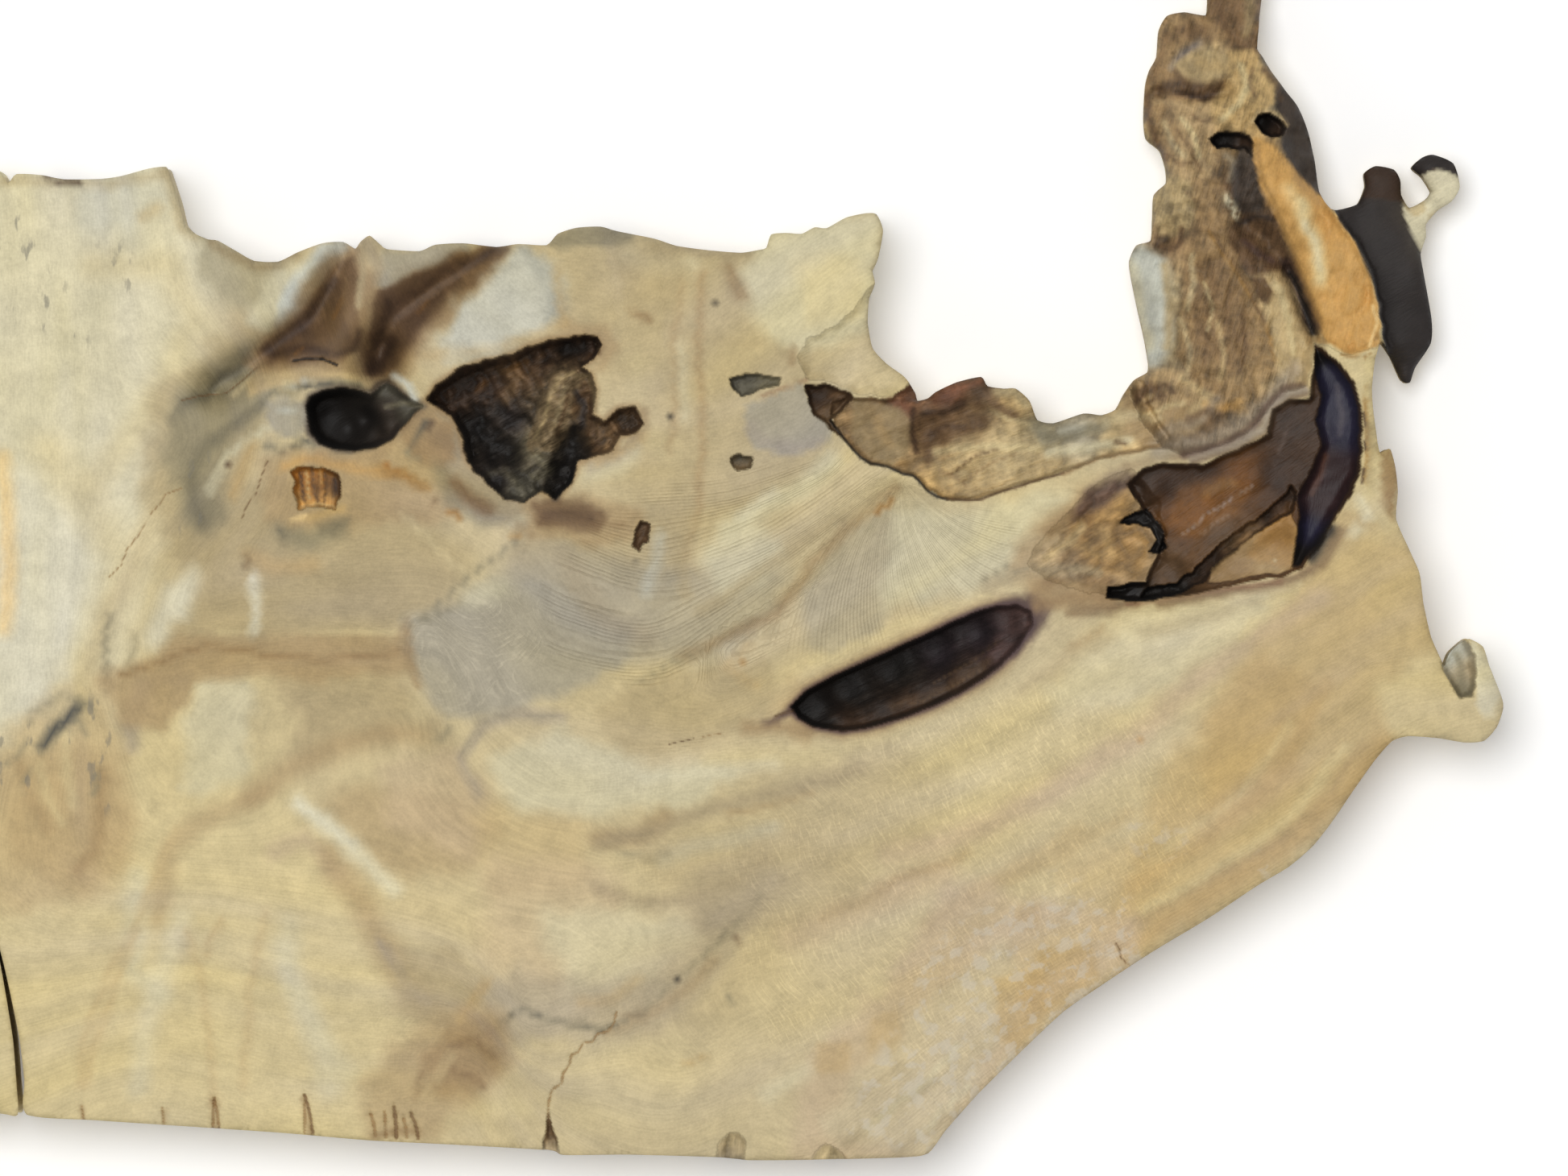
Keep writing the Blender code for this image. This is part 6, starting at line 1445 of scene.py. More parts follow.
class Relief:
    """The heights of the slab's two faces at a set of plan points.

    Attributes:
        rim_noise_px: the size of the noise that pushes the hollows' rims, in pixels.
        crease_height: how high creased bumps stand above their creases.
        crease_power: how sharp the creases are; less is sharper.
        groove_strands: how much a groove's depth changes from strand to strand.
        groove_heading: the direction of those strands, in degrees.
    """

    rim_noise_px = 13.0
    crease_height = 2.6
    crease_power = 0.7
    groove_strands = 0.05
    groove_heading = 35.0

    def __init__(self, points: Points) -> None:
        """Works out how far down each hollow's wall the points are.

        Args:
            points: plan points in pixels.
        """
        self.points = points
        wander = np.column_stack([layered_noise(*(points / self.rim_noise_px).T, 31, 2),
                                  layered_noise(*(points / self.rim_noise_px).T, 47, 2)])
        self.shares = [hollow.share(points + hollow.ragged * wander) for hollow in HOLLOWS]

    def worn(self, face: int) -> np.ndarray:
        """Wear along the edges: a quarter ellipse, twice as wide as deep, for face 0 or 1."""
        worn = np.zeros(len(self.points))
        for stretch in OUTLINE_STRETCHES:
            wear, path = stretch[face], stretch[2]
            chosen = near(self.points, path, 2.0 * wear * PIXELS_PER_MM)
            reach = path_distance(self.points[chosen], path) / PIXELS_PER_MM
            share = np.clip(reach / (2.0 * wear), 0.0, 1.0)
            depth = wear * (1.0 - np.sqrt(1.0 - (1.0 - share) ** 2))
            worn[chosen] = np.maximum(worn[chosen], depth)
        return worn

    def bumps(self, hollow: Hollow, within: np.ndarray) -> np.ndarray:
        """The hollow's fine relief from -1 high to 1 deep, at the points within it."""
        _, size, stretch, _, _ = hollow.surface.value
        along, across = hollow.course(self.points[within])
        rough = layered_noise(along / (size * stretch), across / size, 11, 4)
        if hollow.surface in (Surface.CRUMBLY, Surface.SPLINTERED, Surface.GNARLED):
            rough = 1.0 - self.crease_height * np.abs(rough) ** self.crease_power
        return rough

    def texture(self, hollow: Hollow, down: np.ndarray) -> np.ndarray:
        """The depth of a hollow's fine relief, none at its rim."""
        within = down > 0.0
        depth = np.zeros(len(down))
        share = 0.5 + 0.5 * self.bumps(hollow, within)
        depth[within] = hollow.surface.value[0] * down[within] * share
        return depth

    def top(self) -> np.ndarray:
        """Height of the top in millimetres: the slab's thickness less every depth."""
        depth = self.worn(0)
        for hollow, down in zip(HOLLOWS, self.shares):
            depth = depth + hollow.depth(self.points, down) + self.texture(hollow, down)
        for groove in GROOVES:
            below = groove.below(self.points)
            uneven = self.groove_strands * strands(self.points, self.groove_heading)
            depth = depth + below * (1.0 + uneven)
        for crack in CRACKS:
            depth = depth + crack.depth * crack.strength(self.points)
        depth = np.where(depth < LEAST_RELIEF_MM, 0.0, depth)
        return np.clip(THICKNESS_MM - depth, LEAST_FLOOR_MM, THICKNESS_MM)

    def underside(self) -> np.ndarray:
        """Height of the underside: flat, and worn up along the edges, below the top."""
        worn = np.minimum(self.worn(1), self.top() - LEAST_EDGE_MM)
        return np.where(worn < LEAST_RELIEF_MM, 0.0, worn)


def strands(points: Points, heading: float) -> np.ndarray:
    """Noise in long thin strands along a heading in degrees."""
    turn = math.radians(heading)
    x, y = (points / PIXELS_PER_MM * (1.0, -1.0)).T
    along = (x * math.cos(turn) + y * math.sin(turn)) / STRAND_LENGTH_MM
    across = (y * math.cos(turn) - x * math.sin(turn)) / STRAND_WIDTH_MM
    return layered_noise(along, across, 23, 3)


@dataclass(frozen=True)
class Growth:
    """The growth rings' course: guide lines in ring order, and the lines between them.

    Attributes:
        guides: lines in pixels that rings follow, each read with outer wood on its left.
        reach_mm: how close a guide has to be before its course outweighs the others'.
    """

    guides: tuple[Path, ...]
    reach_mm: float = 2.0

    def courses(self, points: Points) -> tuple[np.ndarray, np.ndarray]:
        """Where the points are by every guide's own measure, and how much each guide counts.

        Args:
            points: plan points in pixels.

        Returns:
            The distance across and the length along each guide, whose end pieces go on straight,
            in millimetres, and the guides' weights, which add up to 1 at every point.
        """
        places = np.empty((2, len(points), len(self.guides)))
        reaches = np.empty((len(points), len(self.guides)))
        for column, guide in enumerate(self.guides):
            corners = rounded(guide, 4)
            pieces = corners[1:] - corners[:-1]
            lengths = np.hypot(*pieces.T)
            nearest = np.full(len(points), np.inf)
            travelled = 0.0
            for start, piece, length in zip(corners, pieces, lengths):
                reach = piece_distance(points, start, start + piece)
                along = (points - start) @ piece / length
                cross = (piece[1] * (points[:, 0] - start[0])
                         - piece[0] * (points[:, 1] - start[1])) / length
                closer = reach < nearest
                places[0, closer, column] = cross[closer]
                places[1, closer, column] = travelled + along[closer]
                nearest = np.minimum(nearest, reach)
                travelled += length
            reaches[:, column] = nearest
        weights = ((reaches / PIXELS_PER_MM) ** 2 + self.reach_mm ** 2) ** -1.5
        return places / PIXELS_PER_MM, weights / weights.sum(axis=1, keepdims=True)

    def shifts(self) -> np.ndarray:
        """What to add to each guide's two measures, settled so that neighbours agree."""
        middles = np.array([np.mean(guide, axis=0) for guide in self.guides])
        pairs = [(i, j) for i in range(len(middles)) for j in range(i)]
        halfway = np.array([(middles[i] + middles[j]) / 2 for i, j in pairs])
        places, _ = self.courses(halfway)
        rows = np.zeros((len(pairs) + 1, len(middles)))
        gaps = np.zeros((len(pairs) + 1, 2))
        for row, (i, j) in enumerate(pairs):
            weight = 1.0 / (1.0 + float(np.hypot(*(middles[i] - middles[j]))) / 60.0) ** 3
            rows[row, i], rows[row, j] = weight, -weight
            gaps[row] = weight * (places[:, row, j] - places[:, row, i])
        rows[-1, 0] = 1.0
        return np.linalg.lstsq(rows, gaps, rcond=None)[0]

    def grain(self, points: Points) -> np.ndarray:
        """How far out in ring order and how far along the rings every point is, in millimetres."""
        places, weights = self.courses(points)
        return np.column_stack([((measure + shift) * weights).sum(axis=1)
                                for measure, shift in zip(places, self.shifts().T)])


@dataclass(frozen=True)
class Fan:
    """Growth lines that spread from one place.

    Attributes:
        focus: where they meet, in pixels.
        reach_mm: the distance from it at which they are as wide apart as the growth rings.
        bend: how far they turn on the way out, in radians a millimetre.
    """

    focus: tuple[float, float]
    reach_mm: float
    bend: float

    def course(self, points: Points) -> np.ndarray:
        """How far round and how far out every point is, in millimetres, and a 1."""
        x, y = ((points - self.focus) / PIXELS_PER_MM * (1.0, -1.0)).T
        out = np.hypot(x, y)
        turned = np.arctan2(-x, -y) + self.bend * out
        return np.column_stack([turned * self.reach_mm, out, np.ones(len(points))])


FAN = Fan(focus=(1118, 596), reach_mm=24.0, bend=0.012)
GROWTH = Growth(guides=(
    ((680, 670), (800, 715), (900, 695), (1000, 650), (1090, 590)),
    ((615, 720), (700, 765), (800, 790), (875, 760), (975, 700), (1090, 610)),
    ((615, 750), (670, 805), (750, 830), (825, 830), (900, 775), (1000, 700), (1100, 620)),
    ((750, 600), (900, 590), (1000, 560)),
    ((1110, 640), (1000, 740), (900, 800)),
    ((700, 880), (830, 900), (900, 890), (980, 850), (1100, 780), (1250, 720)),
    ((750, 960), (950, 930), (1100, 915), (1250, 840), (1380, 760), (1600, 720)),
    ((800, 1080), (1000, 1040), (1200, 960), (1400, 850), (1650, 740)),
    ((700, 1260), (900, 1180), (1100, 1120), (1300, 1010), (1500, 900), (1720, 780)),
    ((900, 1330), (1100, 1230), (1300, 1120), (1500, 1010), (1700, 860)),
    ((1060, 1400), (1250, 1250), (1450, 1130), (1620, 1030)),
    ((250, 1300), (400, 1330), (550, 1330)),
    ((240, 800), (330, 790), (500, 800)),
    ((60, 300), (70, 600), (60, 900)),
    ((230, 600), (160, 700), (130, 830))))


class Paint:
    """The colour of the wood at a set of plan points, built up stain by stain, painted shade and painted
    highlights among them.

    Attributes:
        warp_px: the size of the noise that pushes the stains' edges, in pixels.
        wall_share: how far down a hollow's wall its own tones cover fully.
        pit_shade: how much painted shade darkens the pits between a hollow's bumps.
        crack_cover: how much a crack's tone covers.
        hue_grain_mm: the size of the changes of hue across and along the rings.
        light_grain_mm: the size of the changes of light across and along the rings.
        hue_shift: how far a change of hue moves red, green and blue.
        light_shift: how far a change of light goes.
        warmth: what the whole colour is multiplied by in the end.
    """

    warp_px = 28.0
    wall_share = 0.35
    pit_shade = 0.4
    crack_cover = 0.9
    hue_grain_mm = (6.0, 24.0)
    light_grain_mm = (4.5, 30.0)
    hue_shift = (0.014, 0.006, -0.03)
    light_shift = 0.035
    warmth = (0.99, 0.985, 0.965)

    def __init__(self, points: Points) -> None:
        """Starts with the plain wood.

        Args:
            points: plan points in pixels.
        """
        self.points = points
        self.tone = np.tile(Tone.HONEY.display, (len(points), 1))
        self.warp = np.column_stack([layered_noise(*(points / self.warp_px).T, 71, 4),
                                     layered_noise(*(points / self.warp_px).T, 89, 4)])

    def blend(self, cover: np.ndarray, tones: np.ndarray) -> None:
        """Covers the wood's colour with other tones."""
        self.tone += (tones - self.tone) * cover[:, None]

    def stains(self, stains: tuple[Stain, ...]) -> None:
        """Lays stains one over another."""
        for stain in stains:
            self.blend(stain.cover(self.points, self.warp), stain.tone.display)

    def covered(self, areas: tuple[Stain, ...]) -> np.ndarray:
        """How strongly a set of areas covers each point: the most of any."""
        most = np.zeros(len(self.points))
        for area in areas:
            most = np.maximum(most, area.cover(self.points, self.warp))
        return most

    def hollows(self, relief: Relief) -> None:
        """Colours the hollows' floors and walls by their tones, painted shade in the deep ones among
        them, and paints shade into the pits between their bumps.
        """
        for hollow, down in zip(HOLLOWS, relief.shares):
            if hollow.tones:
                within = down > 0.0
                cover = np.zeros(len(down))
                cover[within] = smoothstep(down[within] / self.wall_share)
                tones = np.zeros((len(down), 3))
                tones[within] = hollow.colour(self.points[within])
                self.blend(cover, tones)
            within = down > 0.0
            # painted shade in the pits between the bumps, darker further down the wall
            dark = self.pit_shade * hollow.surface.value[4] * relief.bumps(hollow, within)
            self.tone[within] *= (1.0 - dark * down[within])[:, None]

    def cracks(self) -> None:
        """Darkens the cracks."""
        for crack in CRACKS:
            self.blend(self.crack_cover * crack.strength(self.points), crack.tone.display)

    def tint(self, grain: np.ndarray) -> None:
        """Turns the wood a little yellower or bluer, and lighter or darker, along the grain."""
        hue = layered_noise(*(grain / self.hue_grain_mm).T, 131, 2)
        light = layered_noise(*(grain / self.light_grain_mm).T, 157, 2)
        self.tone += hue[:, None] * self.hue_shift
        self.tone *= 1.0 + self.light_shift * light[:, None]

    def linear(self) -> np.ndarray:
        """The painted tones, a little warmer, as scene-linear colours with an alpha of 1."""
        display = np.clip(self.tone * self.warmth, 0.0, 1.0)
        linear = np.where(display <= 0.04045, display / 12.92, ((display + 0.055) / 1.055) ** 2.4)
        return np.column_stack([linear, np.ones(len(linear))])


@dataclass(frozen=True)
class Mesher:
    """Chooses plan points: a lattice that is coarse on the sawn face and fine at rims.

    Attributes:
        outline: the slab's outline.
        fine_mm: the finest spacing; the other two are twice and four times as wide.
        rim_band_mm: how far to each side of a rim the finest points reach.
        ragged_px: how much further the middle points reach, as a rim is pushed by noise.
        top_gap_px: how close to the outline the top's points come.
        low_spacing_mm: the finest spacing of the underside's lattice.
        low_rows_mm: how far inside the outline its rows of points run.
        low_gap_px: how close to the outline the underside's points come.
    """

    outline: Outline
    fine_mm: float = 0.33
    rim_band_mm: float = 0.6
    ragged_px: float = 6.0
    top_gap_px: float = 1.4
    low_spacing_mm: float = 2.0
    low_rows_mm: tuple[float, ...] = (1.0, 3.0, 6.5)
    low_gap_px: float = 3.0

    def lattice(self) -> tuple[Points, np.ndarray]:
        """Lattice points over the slab, and the level of each: 2 coarse, 1 middle, 0 fine."""
        low, high = self.outline.corners.min(axis=0), self.outline.corners.max(axis=0)
        step = self.fine_mm * PIXELS_PER_MM
        row_step = step * math.sin(math.radians(60.0))
        i, j = np.meshgrid(np.arange(int((high[0] - low[0]) / step)),
                           np.arange(int((high[1] - low[1]) / row_step)))
        level = np.where((j % 2 == 0) & (i % 2 == (j // 2) % 2), 1, 0)
        level = np.where((j % 4 == 0) & (i % 4 == 2 * ((j // 4) % 2)), 2, level)
        x = low[0] + (i + 0.5 * (j % 2)) * step
        points = np.column_stack([x.ravel(), (low[1] + j * row_step).ravel()])
        within = inside(points, self.outline.corners)
        return points[within], level.ravel()[within]

    def wanted(self, points: Points) -> np.ndarray:
        """The level that every point's place asks for: 2 plain, 1 in detail, 0 at a rim."""
        asked = np.full(len(points), 2)
        band = self.rim_band_mm * PIXELS_PER_MM
        wide = band + self.ragged_px
        for hollow in HOLLOWS:
            chosen = np.flatnonzero(near(points, hollow.rim, wide))
            gap = path_distance(points[chosen], hollow.rim, True)
            within = inside(points[chosen], hollow.rim)
            asked[chosen] = np.minimum(asked[chosen], np.where(within | (gap < wide), 1, 2))
            foot = band + np.where(within, 0.6 * hollow.wall * PIXELS_PER_MM, 0.0)
            asked[chosen[gap < foot]] = 0
        for groove in GROOVES:
            reach = 2.2 * groove.half_width * PIXELS_PER_MM
            chosen = np.flatnonzero(near(points, groove.path, reach))
            chosen = chosen[path_distance(points[chosen], groove.path) < reach]
            asked[chosen] = np.minimum(asked[chosen], 1)
        for crack in CRACKS:
            chosen = np.flatnonzero(near(points, crack.path, band))
            asked[chosen[path_distance(points[chosen], crack.path) < band]] = 0
        return asked

    def clear_of_outline(self, points: Points, gap_px: float) -> Points:
        """The points that lie inside the outline and at least a gap in pixels from it."""
        reach = path_distance(points, tuple(map(tuple, self.outline.corners)), True)
        keep = reach > 4.0 * gap_px
        close = np.flatnonzero(~keep)
        loop = tuple(map(tuple, self.outline.loop))
        far = path_distance(points[close], loop, True) > gap_px
        keep[close] = far & inside(points[close], self.outline.loop)
        return points[keep]

    def top_points(self) -> Points:
        """The plan points of the top, the outline's own first."""
        points, level = self.lattice()
        points = points[level >= self.wanted(points)]
        return np.vstack([self.outline.loop, self.clear_of_outline(points, self.top_gap_px)])

    def underside_points(self) -> Points:
        """The plan points of the underside: the outline, rows inside it and a wide lattice."""
        rows = [self.outline.inward(gap * PIXELS_PER_MM)[::2] for gap in self.low_rows_mm]
        wide = Mesher(self.outline, fine_mm=self.low_spacing_mm)
        points, level = wide.lattice()
        filled = np.vstack([*rows, points[level == 2]])
        return np.vstack([self.outline.loop, self.clear_of_outline(filled, self.low_gap_px)])

    def fill(self, points: Points) -> tuple[Points, np.ndarray]:
        """Triangles that fill the outline through points, the first of which are its own.

        Args:
            points: plan points in pixels, the outline's loop first.

        Returns:
            The plan points, in the same order, and the triangles between them.
        """
        count = len(self.outline.loop)
        border = [(i, (i + 1) % count) for i in range(count)]
        plan, _, faces, origins, _, _ = delaunay_2d_cdt(
            [Vector(point) for point in points.tolist()], border, [], 1, 1e-5, True)
        origin = np.array([own[0] for own in origins])
        faces = origin[np.array(faces)]
        return points, faces[inside(points[faces].mean(axis=1), self.outline.loop)]


@dataclass(frozen=True)
class WoodSlice:
    """The whole slab as one closed mesh.

    Attributes:
        outline: its outline.
        wall_rows: how many rows of faces its wall has from top to underside.
        wall_hollow_mm: how far its wall is worn in at most between its edges.
        wall_noise_px: the size of the noise that changes this along the outline, in pixels.
        groove_roughness: how rough the colour is in a groove's middle.
    """

    outline: Outline
    wall_rows: int = 6
    wall_hollow_mm: float = 0.9
    wall_noise_px: float = 22.0
    groove_roughness: float = 0.35

    def wall(self, top: np.ndarray, foot: np.ndarray) -> tuple[np.ndarray, np.ndarray]:
        """The wall's rows between the two edges.

        A row at share t of the way down lies at (1 - t) top + t foot, and is worn in by
        wall_hollow_mm times sin(pi t) times a noise from 0 to 1 that changes along the outline.

        Args:
            top: the upper edge's heights in millimetres, one a loop point.
            foot: the lower edge's heights in millimetres.

        Returns:
            Plan points in pixels and heights in millimetres, row after row.
        """
        shares = np.arange(1, self.wall_rows) / self.wall_rows
        loop = self.outline.loop
        plans, heights = [], []
        for share in shares:
            height = (1.0 - share) * top + share * foot
            x, y = (loop / self.wall_noise_px).T
            noise = 0.5 + 0.5 * layered_noise(x + share, y, 61, 3)
            reach = self.wall_hollow_mm * PIXELS_PER_MM * math.sin(math.pi * share) * noise
            plans.append(self.outline.inward(reach[:, None]))
            heights.append(height)
        return np.vstack(plans), np.concatenate(heights)

    def build(self) -> bpy.types.Object:
        """Builds the mesh with its colour, grain and finish, and links it.

        Returns:
            The slab's object, at the origin, with its place in its mesh.
        """
        mesher = Mesher(self.outline)
        plan, top_faces = mesher.fill(mesher.top_points())
        below, low_faces = mesher.fill(mesher.underside_points())
        top = Relief(plan).top()
        low = Relief(below).underside()
        count = len(self.outline.loop)
        middle, middle_heights = self.wall(top[:count], low[:count])
        plans = np.vstack([plan, below, middle])
        heights = np.concatenate([top, low, middle_heights])
        rows = [np.arange(count)]
        first = len(plan) + len(below)
        rows += [first + step * count + np.arange(count) for step in range(self.wall_rows - 1)]
        rows.append(len(plan) + np.arange(count))
        wall_faces = np.vstack([self.strip(high, deep) for high, deep in zip(rows, rows[1:])])
        faces = np.vstack([top_faces[:, ::-1], low_faces + len(plan), wall_faces])
        obj = self.mesh_object("wood_slice_body", self.outline.metres(plans, heights), faces)
        self.colour(obj, plans, slice(len(plan), first))
        LOG.info("%s: %d points, %d triangles", obj.name, len(plans), len(faces))
        return obj

    @staticmethod
    def strip(high: np.ndarray, deep: np.ndarray) -> np.ndarray:
        """Triangles between two closed rows of as many points."""
        high_next, deep_next = np.roll(high, -1), np.roll(deep, -1)
        return np.vstack([np.column_stack([high, high_next, deep]),
                          np.column_stack([high_next, deep_next, deep])])

    @staticmethod
    def mesh_object(name: str, corners: np.ndarray, faces: np.ndarray) -> bpy.types.Object:
        """Makes a mesh object of corners in metres and triangles, and links it."""
        mesh = bpy.data.meshes.new(name)
        mesh.vertices.add(len(corners))
        mesh.vertices.foreach_set("co", corners.ravel())
        mesh.loops.add(faces.size)
        mesh.loops.foreach_set("vertex_index", faces.ravel().astype(np.int32))
        mesh.polygons.add(len(faces))
        mesh.polygons.foreach_set("loop_start", np.arange(0, faces.size, 3, dtype=np.int32))
        mesh.update(calc_edges=True)
        mesh.validate()
        mesh.shade_smooth()
        obj = bpy.data.objects.new(name, mesh)
        bpy.context.scene.collection.objects.link(obj)
        return obj

    def colour(self, obj: bpy.types.Object, plans: Points, underside: slice) -> None:
        """Stores the colour, the grain and the finish of every point as attributes.

        Args:
            obj: the slab.
            plans: its points' places in the plan, in pixels.
            underside: which of them are on the underside, where no hollow shows.
        """
        paint = Paint(plans)
        grain = GROWTH.grain(plans)
        paint.stains(STAINS)
        paint.tint(grain)
        sawn = paint.tone[underside].copy()
        relief = Relief(plans)
        for down in relief.shares:
            down[underside] = 0.0
        paint.hollows(relief)
        paint.stains(DETAILS)
        paint.cracks()
        paint.tone[underside] = sawn
        self.store(obj, "tone", "FLOAT_COLOR", "color", paint.linear())
        lined, fuzzed, chalked, flecked = (
            paint.covered(areas) for areas in (LINED, FUZZED, CHALKED, FLECKED))
        plain = np.ones(len(plans))
        gloss, wild = np.zeros(len(plans)), np.zeros(len(plans))
        for hollow, down in zip(HOLLOWS, relief.shares):
            _, _, _, shine, rough = hollow.surface.value
            gloss = gloss * (1.0 - down) + shine * down
            wild = wild * (1.0 - down) + rough * down
            plain = np.minimum(plain, 1.0 - down)
            within = down > 0.0
            along, across = hollow.course(plans[within])
            grain[within] = np.column_stack([across, along])
        wild *= 1.0 - paint.covered(SMOOTHED)
        for groove in GROOVES:
            middle = smoothstep(groove.below(plans) / groove.depth)
            wild = np.maximum(wild, self.groove_roughness * middle)
        self.store(obj, "grain", "FLOAT_VECTOR", "vector", np.column_stack([grain, lined * plain]))
        fan = FAN.course(plans)
        fan[:, 2] *= plain * paint.covered(FANNED)
        self.store(obj, "fan", "FLOAT_VECTOR", "vector", fan)
        finish = np.column_stack([gloss, chalked * plain, fuzzed * plain])
        self.store(obj, "finish", "FLOAT_VECTOR", "vector", finish)
        self.store(obj, "fleck", "FLOAT", "value", flecked * plain)
        self.store(obj, "wild", "FLOAT", "value", wild)

    @staticmethod
    def store(obj: bpy.types.Object, name: str, kind: str, key: str, values: np.ndarray) -> None:
        """Stores one attribute of the mesh's points."""
        attribute = obj.data.attributes.new(name, kind, "POINT")
        attribute.data.foreach_set(key, values.astype(np.float32).ravel())


class NodeBench:
    """A small helper that adds and joins shader nodes."""

    def __init__(self, name: str) -> None:
        """Makes an empty material of this name."""
        self.material = bpy.data.materials.new(name)
        self.material.use_nodes = True
        self.tree = self.material.node_tree
        self.tree.nodes.clear()

    def add(self, kind: str, **settings: object) -> bpy.types.Node:
        """Adds a node of a kind, with its properties set."""
        node = self.tree.nodes.new(kind)
        for name, value in settings.items():
            setattr(node, name, value)
        return node

    def put(self, socket: bpy.types.NodeSocket, value: object) -> None:
        """Joins a socket to another one, or gives it a constant."""
        if isinstance(value, bpy.types.NodeSocket):
            self.tree.links.new(value, socket)
        else:
            socket.default_value = value

    def maths(self, operation: str, *values: object, clamp: bool = False) -> bpy.types.NodeSocket:
        """A maths node's result."""
        node = self.add("ShaderNodeMath", operation=operation, use_clamp=clamp)
        for socket, value in zip(node.inputs, values):
            self.put(socket, value)
        return node.outputs[0]

    def mix(self, kind: str, share: object, low: object, high: object) -> bpy.types.NodeSocket:
        """A colour mix's result, by blend kind."""
        node = self.add("ShaderNodeMix", data_type="RGBA", blend_type=kind)
        self.put(node.inputs["Factor"], share)
        self.put(node.inputs[6], low)
        self.put(node.inputs[7], high)
        return node.outputs[2]

    def ramp(self, value: object, low: float, high: float, floor: float = 0.0,
             ceiling: float = 1.0) -> bpy.types.NodeSocket:
        """A value mapped from low..high to floor..ceiling, held inside it."""
        node = self.add("ShaderNodeMapRange", interpolation_type="SMOOTHSTEP")
        for name, number in (("Value", value), ("From Min", low), ("From Max", high),
                             ("To Min", floor), ("To Max", ceiling)):
            self.put(node.inputs[name], number)
        return node.outputs[0]

    def noise(self, vector: object, scale: float, detail: float = 3.0) -> bpy.types.NodeSocket:
        """A noise texture's value at a vector."""
        node = self.add("ShaderNodeTexNoise")
        self.put(node.inputs["Vector"], vector)
        node.inputs["Scale"].default_value = scale
        node.inputs["Detail"].default_value = detail
        return node.outputs["Fac"]

    def parts(self, name: str) -> tuple[bpy.types.NodeSocket, ...]:
        """The three numbers of a vector attribute."""
        node = self.add("ShaderNodeAttribute", attribute_name=name)
        split = self.add("ShaderNodeSeparateXYZ")
        self.put(split.inputs[0], node.outputs["Vector"])
        return tuple(split.outputs)

    def joined(self, x: object, y: object) -> bpy.types.NodeSocket:
        """A vector of two numbers and a zero."""
        node = self.add("ShaderNodeCombineXYZ")
        self.put(node.inputs[0], x)
        self.put(node.inputs[1], y)
        return node.outputs[0]

    def stretched(self, vector: object, x: float, y: float, z: float) -> bpy.types.NodeSocket:
        """A vector scaled along its axes."""
        node = self.add("ShaderNodeVectorMath", operation="MULTIPLY")
        self.put(node.inputs[0], vector)
        self.put(node.inputs[1], (x, y, z))
        return node.outputs[0]


